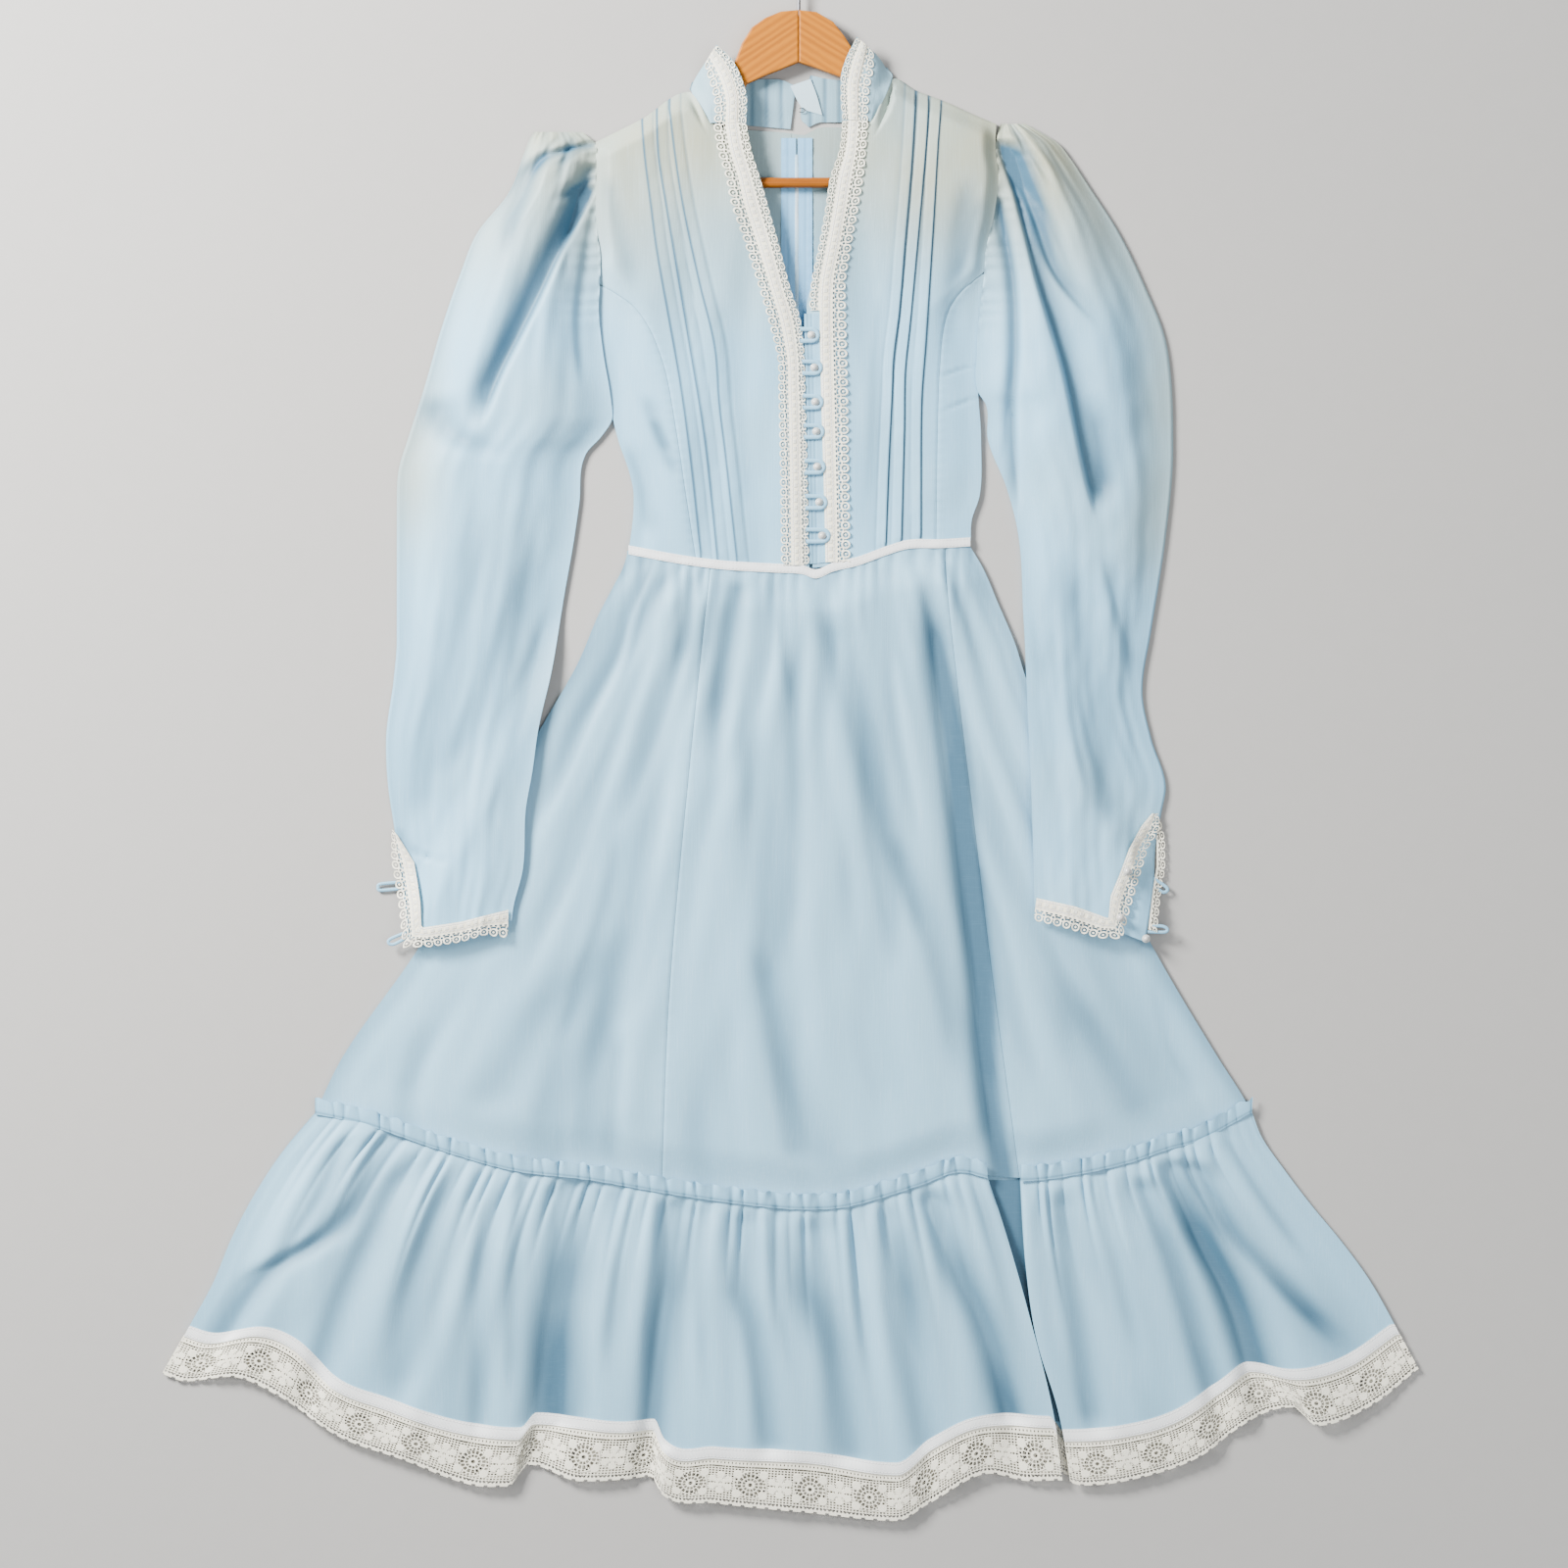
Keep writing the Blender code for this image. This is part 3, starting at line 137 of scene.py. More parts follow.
def wander(across: Array, down: Array, size: float, seed: int) -> Array:
    """Smooth random height between about -1 and 1.

    Args:
        across: places across.
        down: places down.
        size: typical width of a bump in grid steps.
        seed: which of the patterns to give.

    Returns:
        One value for each place.
    """
    dice = np.random.default_rng(seed)
    total = np.zeros(np.broadcast(across, down).shape)
    for _ in range(9):
        turn = dice.uniform(0, 2 * math.pi)
        pace = 2 * math.pi / (size * dice.uniform(0.8, 2.2))
        along = across * math.cos(turn) + down * math.sin(turn)
        total = total + np.sin(pace * along + dice.uniform(0, 2 * math.pi))
    return total / 4.5


@dataclass(frozen=True)
class Fold:
    """Soft trough beside a path; a ridge has a negative depth.

    Attributes:
        path: (down, across) knots from top to foot.
        left: half its width towards the left, in grid steps.
        right: half its width towards the right.
        depth: how deep it is, in metres.
        ends: how far from its two ends it fades, in grid steps.
    """

    path: tuple[tuple[float, float], ...]
    left: float
    right: float
    depth: float
    ends: tuple[float, float]

    def height(self, across: Array, down: Array) -> Array:
        """Height that the fold takes away at each place."""
        downs = [knot[0] for knot in self.path]
        middle = curve(*self.path)(down)
        start = ease((down - downs[0] + 4) / (self.ends[0] + 4))
        finish = ease((downs[-1] + 4 - down) / (self.ends[1] + 4))
        off = across - middle
        off = off / np.where(off < 0, self.left, self.right)
        return self.depth * start * finish * np.exp(-off * off)


def fold_sum(folds: Sequence[Fold], across: Array, down: Array) -> Array:
    """Height that all the folds take away at each place."""
    total = np.zeros(np.broadcast(across, down).shape)
    for fold in folds:
        total = total + fold.height(across, down)
    return total


# Outlines and seams: each line gives across for a place down, or down for a place across.
ARMHOLE_L = curve((146, 606.5), (173, 609), (202, 608), (236, 609), (265, 612.5), (290, 612), (313, 610.5),
                  (360, 615), (401, 622), (425, 625), (450, 631), (482, 642), (506, 646.5), (527, 646),
                  (559, 642), (566, 641))
ARMHOLE_R = curve((127, 1016.5), (153, 1015.5), (180, 1018.5), (221, 1014), (255, 1006), (282, 1004),
                  (318, 1000), (355, 997), (400, 998), (449, 1001), (506, 999.5), (531, 991.5), (557, 990.5))
PRINCESS_L = curve((291, 613), (300, 628), (312, 645), (333, 661), (355, 671), (380, 679), (440, 690),
                   (500, 699), (571, 710))
PRINCESS_R = curve((279, 1003), (287, 993), (299, 980), (313, 970), (330, 964), (379, 958.5), (415, 957),
                   (480, 955.7), (557, 955))
TUCKS_L = (
    curve((125, 656), (161, 659), (209, 665), (255, 671), (323, 683), (391, 695), (464, 705), (565, 716)),
    curve((117, 671), (161, 673), (209, 680.5), (282, 692.7), (354, 704.8), (427, 717), (464, 722), (570, 733)),
    curve((112, 684), (161, 690), (209, 697.5), (289, 714.5), (354, 730), (415, 735), (464, 741), (573, 753)),
)
TUCKS_R = (
    curve((92, 934), (161, 930), (245, 923), (318, 917), (367, 911), (403, 909.5), (480, 906), (565, 903)),
    curve((97, 947), (136, 945), (209, 939), (330, 928), (379, 923), (439, 922), (480, 921), (560, 919)),
    curve((102, 960), (136, 957), (221, 952), (354, 943.6), (403, 940), (480, 939), (556, 939)),
)
TRIM_OUT_L = curve((128, 727.5), (155, 732), (181, 740), (211, 746), (242, 757), (301, 776), (337, 786),
                   (367, 793), (398, 794), (582, 797))
TRIM_IN_L = curve((128, 762), (155, 767), (184, 776), (219, 786), (258, 797), (296, 807), (327, 817),
                  (350, 820), (398, 822), (586, 826))
TRIM_IN_R = curve((125, 859), (155, 856), (182, 847), (213, 842), (254, 834.7), (293, 827), (314, 823),
                  (350, 823.5), (398, 825), (586, 829))
TRIM_OUT_R = curve((127, 886), (150, 884), (176, 882), (219, 875), (258, 868), (293, 863), (378, 865),
                   (579, 868))
BACK_CENTRE = curve((136, 807), (160, 811), (600, 813))
ZIP_CENTRE = 813.0
WAIST = curve((640, 561), (700, 572), (740, 577), (790, 580), (820, 581), (850, 578), (875, 572), (905, 563),
              (925, 558), (960, 555), (991, 553))
RIBBON_LINE = curve((640, 561), (700, 572), (740, 577), (790, 580), (820, 582), (832, 586), (850, 579),
                    (875, 573), (905, 562), (925, 556), (960, 555), (991, 553))
BACK_WAIST = curve((640, 561), (800, 577), (880, 568), (991, 553))
BACK_GATHER = curve((322, 1135), (450, 1171), (600, 1202), (760, 1225), (860, 1227), (1000, 1214), (1100, 1196),
                    (1190, 1171), (1276, 1134))
SHOULDER = curve((606, 146), (654, 122), (702, 94), (727.5, 128), (762, 129), (859, 125), (886, 127),
                 (912.5, 80), (934, 92), (960, 102), (998, 119), (1017, 127))
BACK_NECK = curve((606, 146), (654, 122), (702, 94), (722, 118), (745, 129), (762, 131.5), (807, 135),
                  (819, 137), (838, 129), (859, 129), (886, 124), (906, 100), (913, 81), (934, 92), (960, 102),
                  (998, 119), (1017, 127))
SKIRT_L = curve((566, 640), (581, 635), (600, 625), (629, 610), (676, 590), (743, 552), (969, 426), (1078, 350),
                (1118, 330), (1136, 323))
SKIRT_R = curve((558, 990), (580, 1003), (615, 1018), (655, 1035), (695, 1048), (964, 1175), (1078, 1242),
                (1124, 1271), (1135, 1276))
GORE_L = curve((578, 725), (760, 706), (1017, 683), (1216, 675))
GORE_R = curve((555, 964), (600, 966), (675, 974), (850, 995), (1017, 1015), (1202, 1040))
GATHER_LINE = curve((322, 1135), (374, 1146), (448, 1171), (522, 1192), (602, 1202), (676, 1215), (760, 1227),
                    (820, 1232), (860, 1230), (900, 1220), (940, 1207), (980, 1194), (1012, 1201),
                    (1044, 1203), (1096, 1197), (1153, 1184), (1191, 1171), (1223, 1162), (1276, 1134))
GATHER_ENDS = (322.0, 1276.0)
RUFFLE_L = curve((1135, 322), (1173, 290), (1215, 262), (1260, 238), (1310, 217), (1348, 196), (1366, 186),
                 (1405, 166))
PLEAT_L = curve((1196, 1006), (1250, 1024), (1336, 1049), (1435, 1074), (1511, 1085))
PLEAT_R = curve((1196, 1040), (1290, 1046), (1365, 1057), (1438, 1079), (1511, 1093))
RUFFLE_R = curve((1134, 1277), (1160, 1287), (1192, 1309), (1230, 1338), (1265, 1367), (1303, 1395),
                 (1354, 1424), (1402, 1448))
HEM = curve((186, 1362), (215, 1370), (262, 1362), (301, 1376), (339, 1414), (395, 1437), (466, 1460),
            (529, 1467), (545, 1452), (581, 1455), (634, 1460), (666, 1458), (676, 1478), (730, 1486),
            (825, 1491), (915, 1503), (950, 1478), (994, 1456), (1072, 1455), (1084, 1469), (1143, 1465),
            (1198, 1450), (1242, 1422), (1277, 1399), (1320, 1406), (1376, 1393), (1424, 1361))
LACE_EDGE = curve((164, 1403), (189, 1411), (234, 1406), (283, 1425), (346, 1467), (410, 1490), (483, 1517),
                  (518, 1518), (540, 1496), (592, 1513), (648, 1510), (664, 1508), (676, 1526), (730, 1535),
                  (825, 1545), (915, 1553), (946, 1537), (1010, 1505), (1049, 1513), (1084, 1512),
                  (1105, 1517), (1159, 1510), (1223, 1488), (1277, 1450), (1319, 1437), (1344, 1456),
                  (1402, 1434), (1448, 1398))
SLEEVE_OUT_L = curve((134, 546), (141, 541), (156, 535), (197, 519), (238, 487), (279, 470), (337, 450),
                     (396, 433), (449, 416), (479, 407), (514, 405), (654, 405), (692, 402), (759, 394),
                     (801, 396), (842, 402), (870, 406), (905, 411), (958, 416))
SLEEVE_IN_L = curve((134, 592), (146, 606), (173, 608.5), (202, 607.5), (236, 608.5), (265, 612), (290, 611.5),
                    (313, 610), (360, 614.5), (401, 621.5), (425, 624), (445, 613), (463, 597), (514, 590),
                    (555, 584), (609, 574.5), (686, 562), (743, 549), (788, 542.6), (826, 536), (887, 533),
                    (925, 523.5), (960, 520))
SLEEVE_OUT_R = curve((126, 1045), (134, 1060), (146, 1079), (161, 1091.5), (190, 1111), (238, 1142),
                     (294, 1169), (342, 1188), (381, 1194.5), (459, 1197), (552, 1189), (644, 1174.5),
                     (705, 1165.6), (753, 1174.5), (804, 1189.5), (829, 1185), (864, 1179), (904, 1177),
                     (943, 1171), (966, 1167))
SLEEVE_IN_R = curve((126, 1022), (141, 1018), (153, 1016), (180, 1019), (221, 1014.5), (255, 1006.5),
                    (282, 1004.5), (318, 1000.5), (355, 997.5), (400, 998.5), (413, 1007), (449, 1009),
                    (498, 1028), (546, 1040), (629, 1045), (715, 1048.6), (817, 1053), (925, 1056))
CUFF_L = curve((416, 958), (432, 957), (472, 951), (495, 945), (520, 939))
CUFF_R = curve((1056, 925), (1096, 934), (1130, 946), (1150, 954), (1171, 962))
TRIM_FOOT_R = curve((125, 859), (155, 856), (182, 847), (213, 842), (254, 834.7), (293, 827), (330, 825.4),
                    (560, 831.6), (600, 832))
PLACKET_R = curve((300, 836), (330, 839), (430, 842), (560, 845), (600, 845))


SKIRT_FOLDS = (
    Fold(((575, 680), (662, 634), (738, 590), (860, 545)), 17, 17, 0.0035, (25, 90)),
    Fold(((590, 752), (640, 745), (700, 736), (800, 729)), 12, 13, 0.0064, (12, 90)),
    Fold(((700, 752), (800, 752), (860, 748)), 15, 15, -0.0030, (60, 60)),
    Fold(((720, 755), (800, 774), (924, 782), (1052, 794), (1205, 845)), 16, 26, 0.0036, (60, 30)),
    Fold(((610, 728), (750, 678), (898, 652), (1010, 626), (1190, 594)), 20, 26, 0.0042, (60, 30)),
    Fold(((640, 700), (796, 690), (988, 655), (1167, 632)), 20, 20, -0.0027, (60, 40)),
    Fold(((623, 845), (751, 877), (873, 915), (956, 952), (1120, 985)), 14, 24, 0.0042, (30, 80)),
    Fold(((940, 640), (1026, 563), (1150, 480)), 30, 30, 0.0035, (90, 40)),
    Fold(((585, 941), (700, 962), (760, 972), (900, 990), (1020, 1002), (1120, 1010), (1215, 1026)), 13, 15,
         0.0115, (80, 5)),
    Fold(((840, 632), (900, 625), (1020, 588), (1070, 574)), 10, 12, 0.0023, (40, 40)),
    Fold(((960, 772), (1020, 788), (1120, 802), (1190, 814)), 11, 15, 0.0026, (40, 20)),
    Fold(((1050, 634), (1120, 629), (1190, 622)), 10, 11, 0.0026, (30, 15)),
    Fold(((850, 914), (900, 929), (970, 944)), 9, 10, 0.0022, (30, 40)),
    Fold(((1040, 440), (1120, 414), (1160, 402)), 12, 16, 0.0022, (40, 20)),
    Fold(((988, 1085), (1052, 1120), (1160, 1175)), 26, 26, 0.0035, (60, 30)),
    Fold(((640, 813), (796, 813), (988, 813)), 9, 16, 0.0012, (60, 90)),
    Fold(((967, 1166), (1080, 1198), (1118, 1222)), 5, 12, 0.0022, (60, 30)),
    Fold(((590, 790), (650, 800), (760, 822)), 8, 9, 0.0022, (12, 80)),
    Fold(((584, 706), (640, 700), (720, 680)), 8, 9, 0.0022, (10, 60)),
    Fold(((580, 665), (640, 655), (700, 635)), 7, 8, 0.0016, (10, 50)),
    Fold(((575, 900), (640, 915), (740, 935)), 8, 9, 0.0020, (10, 70)),
    Fold(((575, 968), (640, 990), (720, 1012)), 7, 8, 0.0018, (10, 60)),
    Fold(((760, 640), (900, 600), (1080, 520)), 18, 24, 0.0016, (80, 60)),
    Fold(((820, 860), (960, 880), (1150, 905)), 14, 22, 0.0014, (80, 50)),
    Fold(((780, 1055), (900, 1075), (1100, 1100)), 16, 22, 0.0018, (60, 60)),
)
RUFFLE_FOLDS = (
    Fold(((1151, 402), (1254, 340), (1300, 270), (1375, 215)), 15, 19, 0.0072, (20, 15)),
    Fold(((1179, 420), (1272, 374), (1333, 346), (1420, 318)), 14, 17, 0.0047, (30, 15)),
    Fold(((1193, 470), (1290, 430), (1440, 400)), 16, 18, 0.0032, (40, 40)),
    Fold(((1205, 500), (1286, 493), (1470, 489)), 11, 14, 0.0037, (40, 20)),
    Fold(((1200, 585), (1286, 574), (1361, 562), (1460, 558)), 22, 26, 0.0100, (20, 10)),
    Fold(((1220, 688), (1305, 682), (1356, 673), (1480, 662)), 13, 20, 0.0090, (20, 10)),
    Fold(((1230, 759), (1314, 756), (1361, 770), (1490, 788)), 12, 17, 0.0058, (20, 20)),
    Fold(((1235, 832), (1304, 827), (1385, 850), (1500, 866)), 17, 22, 0.0063, (25, 20)),
    Fold(((1222, 902), (1295, 921), (1400, 934), (1500, 948)), 12, 16, 0.0047, (25, 30)),
    Fold(((1212, 946), (1290, 974), (1354, 1004), (1460, 1034)), 15, 22, 0.0088, (20, 15)),
    Fold(((1213, 1079), (1290, 1084), (1354, 1097), (1470, 1118)), 11, 15, 0.0062, (20, 30)),
    Fold(((1200, 1165), (1231, 1174), (1290, 1198), (1450, 1246)), 12, 15, 0.0067, (15, 30)),
    Fold(((1182, 1200), (1259, 1224), (1317, 1252), (1440, 1292)), 16, 22, 0.0103, (15, 15)),
    Fold(((1185, 1224), (1259, 1260), (1304, 1301), (1390, 1385)), 12, 16, 0.0068, (20, 50)),
    Fold(((1180, 540), (1290, 527), (1440, 522)), 8, 9, 0.0024, (20, 60)),
    Fold(((1205, 632), (1290, 628), (1420, 618)), 9, 9, 0.0026, (20, 70)),
    Fold(((1218, 720), (1320, 716), (1440, 722)), 8, 9, 0.0024, (20, 90)),
    Fold(((1225, 795), (1300, 795), (1420, 812)), 8, 9, 0.0022, (20, 80)),
    Fold(((1225, 868), (1300, 873), (1420, 890)), 8, 8, 0.0022, (20, 80)),
    Fold(((1180, 1120), (1260, 1132), (1400, 1166)), 8, 9, 0.0026, (20, 60)),
    Fold(((1160, 356), (1230, 322), (1290, 284)), 8, 8, 0.0022, (10, 40)),
    Fold(((1150, 1248), (1220, 1290), (1290, 1340)), 8, 8, 0.0024, (10, 40)),
)
SLEEVE_FOLDS_LEFT = (
    Fold(((190, 604), (216, 591), (260, 569), (320, 541), (390, 506), (440, 489)), 18, 5, 0.0130, (12, 50)),
    Fold(((147, 603), (161, 560), (205, 530), (270, 518)), 13, 12, 0.0052, (5, 40)),
    Fold(((170, 605), (207, 576)), 9, 8, 0.0046, (5, 18)),
    Fold(((400, 440), (440, 462), (470, 500)), 22, 22, 0.0055, (20, 20)),
    Fold(((520, 500), (650, 470), (760, 440), (850, 425)), 20, 20, 0.0030, (60, 40)),
    Fold(((540, 560), (700, 500), (800, 455)), 16, 16, 0.0026, (60, 40)),
    Fold(((141, 586), (170, 574), (196, 566)), 4, 5, 0.0022, (6, 25)),
    Fold(((141, 570), (165, 552), (200, 534)), 4, 5, 0.0020, (6, 30)),
    Fold(((178, 600), (240, 585), (300, 574)), 5, 6, 0.0020, (10, 40)),
    Fold(((700, 520), (780, 500), (900, 480)), 10, 12, 0.0016, (60, 40)),
    Fold(((846, 406), (862, 414), (872, 428), (877, 450)), 6, 7, 0.0030, (4, 4)),
    Fold(((146, 606), (154, 574), (166, 550), (184, 528)), 15, 15, 0.0017, (3, 16)),
    Fold(((150, 604), (159, 586), (172, 568)), 7, 7, 0.0022, (3, 8)),
    Fold(((181, 609), (190, 593), (205, 574)), 6, 8, 0.0030, (3, 12)),
    Fold(((206, 608), (260, 598), (330, 590), (400, 596)), 4, 7, 0.0020, (8, 40)),
    Fold(((620, 560), (740, 528), (860, 500)), 8, 12, 0.0014, (40, 50)),
)
SLEEVE_FOLDS_RIGHT = (
    Fold(((144, 1019), (165, 1032), (221, 1055), (284, 1079), (340, 1125)), 5, 16, 0.0068, (8, 50)),
    Fold(((400, 1110), (460, 1124), (520, 1128)), 9, 20, 0.0050, (40, 30)),
    Fold(((150, 1022), (204, 1039), (285, 1059), (371, 1085), (464, 1105), (530, 1120)), 4, 16, 0.0092, (12, 40)),
    Fold(((200, 1018), (285, 1033), (354, 1036), (417, 1033), (520, 1036)), 8, 4, 0.0078, (12, 40)),
    Fold(((560, 1090), (657, 1107), (762, 1126), (850, 1134)), 16, 16, 0.0040, (60, 30)),
    Fold(((560, 1125), (641, 1146), (700, 1160)), 7, 14, 0.0037, (40, 30)),
    Fold(((133, 1034), (160, 1052), (200, 1080)), 5, 6, 0.0022, (6, 40)),
    Fold(((136, 1048), (170, 1076), (220, 1108)), 5, 7, 0.0018, (6, 60)),
    Fold(((170, 1030), (220, 1066), (300, 1104)), 5, 7, 0.0018, (10, 60)),
    Fold(((700, 1075), (800, 1078), (900, 1086)), 10, 12, 0.0014, (60, 40)),
    Fold(((300, 1140), (380, 1160), (470, 1166)), 14, 18, 0.0022, (50, 50)),
)
BODICE_FOLDS = (
    Fold(((404, 660), (440, 672), (488, 692)), 7, 9, 0.0018, (15, 15)),
    Fold(((430, 668), (462, 682)), 5, 6, 0.0014, (8, 8)),
    Fold(((372, 998), (378, 978), (384, 962)), 4, 5, 0.0012, (2, 4)),
    Fold(((404, 998), (412, 980), (418, 964)), 4, 5, 0.0012, (2, 4)),
    Fold(((180, 620), (240, 634), (300, 650)), 9, 12, 0.0014, (20, 30)),
    Fold(((200, 1004), (250, 990), (300, 972)), 9, 9, 0.0014, (20, 30)),
    Fold(((180, 990), (260, 975), (380, 966)), 10, 12, 0.0016, (30, 60)),
    Fold(((450, 640), (500, 655), (550, 668)), 9, 12, 0.0014, (20, 20)),
    Fold(((300, 735), (400, 752), (520, 765)), 9, 10, 0.0009, (30, 40)),
    Fold(((300, 900), (400, 893), (520, 890)), 6, 7, 0.0008, (30, 40)),
)

WAIST_LIFT = curve((640, 0.0004), (665, 0.0026), (700, 0.0034), (815, 0.0040), (930, 0.0034), (968, 0.0026),
                   (991, 0.0004))
BODICE_DRAPE = curve((80, 0.0128), (205, 0.0128), (250, 0.0105), (300, 0.0080), (380, 0.0065), (480, 0.0055),
                     (560, 0.0040))
RUFFLE_SWELL = curve((0.0, 0.0048), (0.12, 0.0075), (0.35, 0.0115), (0.75, 0.0105), (1.0, 0.0090))
PUFF = ((180, 0.017), (260, 0.021), (420, 0.020), (560, 0.014), (750, 0.009), (880, 0.0045), (960, 0.0035))
PUFF_LEFT = curve((134, 0.0006), (150, 0.010), *PUFF)
PUFF_RIGHT = curve((126, 0.0006), (140, 0.010), *PUFF)


class Wire:
    """A node's output or a number in shader arithmetic: each operator adds a Math node."""

    def __init__(self, net: "Net", value: object) -> None:
        """Keeps the tree and the socket or number."""
        self.net = net
        self.value = value

    def maths(self, kind: str, *others: object, clamp: bool = False) -> "Wire":
        """Result of one Math node.

        Args:
            kind: the node's operation.
            others: further values.
            clamp: whether the result is kept between 0 and 1.

        Returns:
            The node's output.
        """
        values = [self.value, *[other.value if isinstance(other, Wire) else other for other in others]]
        return self.net.node("ShaderNodeMath", {"operation": kind, "use_clamp": clamp}, dict(enumerate(values)))

    def __add__(self, other: object) -> "Wire":
        """Sum."""
        return self.maths("ADD", other)

    def __radd__(self, other: object) -> "Wire":
        """Sum with the number first."""
        return self.maths("ADD", other)

    def __sub__(self, other: object) -> "Wire":
        """Difference."""
        return self.maths("SUBTRACT", other)

    def __rsub__(self, other: object) -> "Wire":
        """Difference with the number first."""
        return Wire(self.net, other).maths("SUBTRACT", self)

    def __mul__(self, other: object) -> "Wire":
        """Product."""
        return self.maths("MULTIPLY", other)

    def __rmul__(self, other: object) -> "Wire":
        """Product with the number first."""
        return self.maths("MULTIPLY", other)

    def __truediv__(self, other: object) -> "Wire":
        """Quotient."""
        return self.maths("DIVIDE", other)

    def __abs__(self) -> "Wire":
        """Size without its sign."""
        return self.maths("ABSOLUTE")

    def wave(self) -> "Wire":
        """Sine."""
        return self.maths("SINE")

    def part(self) -> "Wire":
        """What is left after the whole number."""
        return self.maths("FRACT")

    def least(self, other: object) -> "Wire":
        """Smaller of two."""
        return self.maths("MINIMUM", other)

    def most(self, other: object) -> "Wire":
        """Larger of two."""
        return self.maths("MAXIMUM", other)

    def span(self, other: "Wire") -> "Wire":
        """Distance from the origin of the point that this and the other place."""
        return (self * self + other * other).maths("SQRT")

    def beat(self, pitch: float) -> "Wire":
        """Distance from the middle of each repeat, as a share of the pitch."""
        return abs((self / pitch).part() - 0.5)

    def band(self, middle: object, half: float, soft: float) -> "Wire":
        """1 within half of the middle, falling to 0 over soft."""
        return ((half + soft - abs(self - middle)) / soft).maths("ADD", 0.0, clamp=True)

    def above(self, edge: object, soft: float) -> "Wire":
        """0 below the edge, rising to 1 over soft."""
        return ((self - edge) / soft + 0.5).maths("ADD", 0.0, clamp=True)


class Net:
    """Material with a Principled shader, and one way to add any node to it."""

    def __init__(self, name: str) -> None:
        """Starts the material with only its shader and output."""
        self.material = bpy.data.materials.new(name)
        self.material.use_nodes = True
        self.tree = self.material.node_tree
        self.shader = self.tree.nodes["Principled BSDF"]

    def node(self, kind: str, settings: dict, sockets: dict, output: object = 0) -> Wire:
        """Adds a node.

        Args:
            kind: the node's type.
            settings: attributes, set first; "stops" sets a ramp's colours.
            sockets: value or link for each input, by name or number.
            output: name or number of the output to give.

        Returns:
            The output.
        """
        made = self.tree.nodes.new(kind)
        for key, value in settings.items():
            if key == "stops":
                ramp = made.color_ramp
                while len(ramp.elements) < len(value):
                    ramp.elements.new(0.5)
                for element, (position, colour) in zip(ramp.elements, value):
                    element.position = position
                    element.color = (*colour, 1.0)
            else:
                setattr(made, key, value)
        for key, value in sockets.items():
            self.join(value, made.inputs[key])
        return Wire(self, made.outputs[output])

    def join(self, value: object, socket: bpy.types.NodeSocket) -> None:
        """Links or sets one input."""
        value = value.value if isinstance(value, Wire) else value
        if isinstance(value, bpy.types.NodeSocket):
            self.tree.links.new(value, socket)
        else:
            socket.default_value = value

    def feed(self, **sockets: object) -> None:
        """Sets or links inputs of the shader, with _ for each space in a name."""
        for key, value in sockets.items():
            self.join(value, self.shader.inputs[key.replace("_", " ")])

    def mix(self, first: object, second: object, share: object, kind: str = "MIX") -> Wire:
        """Mix of two colours."""
        settings = {"data_type": "RGBA", "blend_type": kind}
        colours = [(*colour, 1.0) if isinstance(colour, tuple) else colour for colour in (first, second)]
        return self.node("ShaderNodeMix", settings, {0: share, 6: colours[0], 7: colours[1]}, 2)

    def place(self) -> Wire:
        """Point in the garment's frame, in metres."""
        return self.node("ShaderNodeTexCoord", {}, {}, "Object")

    def mark(self, name: str, axis: str = "Fac") -> Wire:
        """Value that a mesh carries at its points."""
        if axis == "Fac":
            return self.node("ShaderNodeAttribute", {"attribute_name": name}, {}, "Fac")
        vector = self.node("ShaderNodeAttribute", {"attribute_name": name}, {}, "Vector")
        return self.node("ShaderNodeSeparateXYZ", {}, {0: vector}, axis)

    def noise(self, stretch: tuple[float, float, float], scale: float, detail: float = 2.0) -> Wire:
        """Noise in the garment's frame, stretched along its axes."""
        point = self.node("ShaderNodeVectorMath", {"operation": "MULTIPLY"}, {0: self.place(), 1: stretch})
        return self.node("ShaderNodeTexNoise", {}, {"Vector": point, "Scale": scale, "Detail": detail}, "Fac")

    def bump(self, height: Wire, distance: float, strength: float = 1.0) -> None:
        """Raises the shader's surface by a height between 0 and 1 times distance in metres."""
        made = self.node("ShaderNodeBump", {}, {"Height": height, "Distance": distance, "Strength": strength},
                         "Normal")
        self.feed(Normal=made)


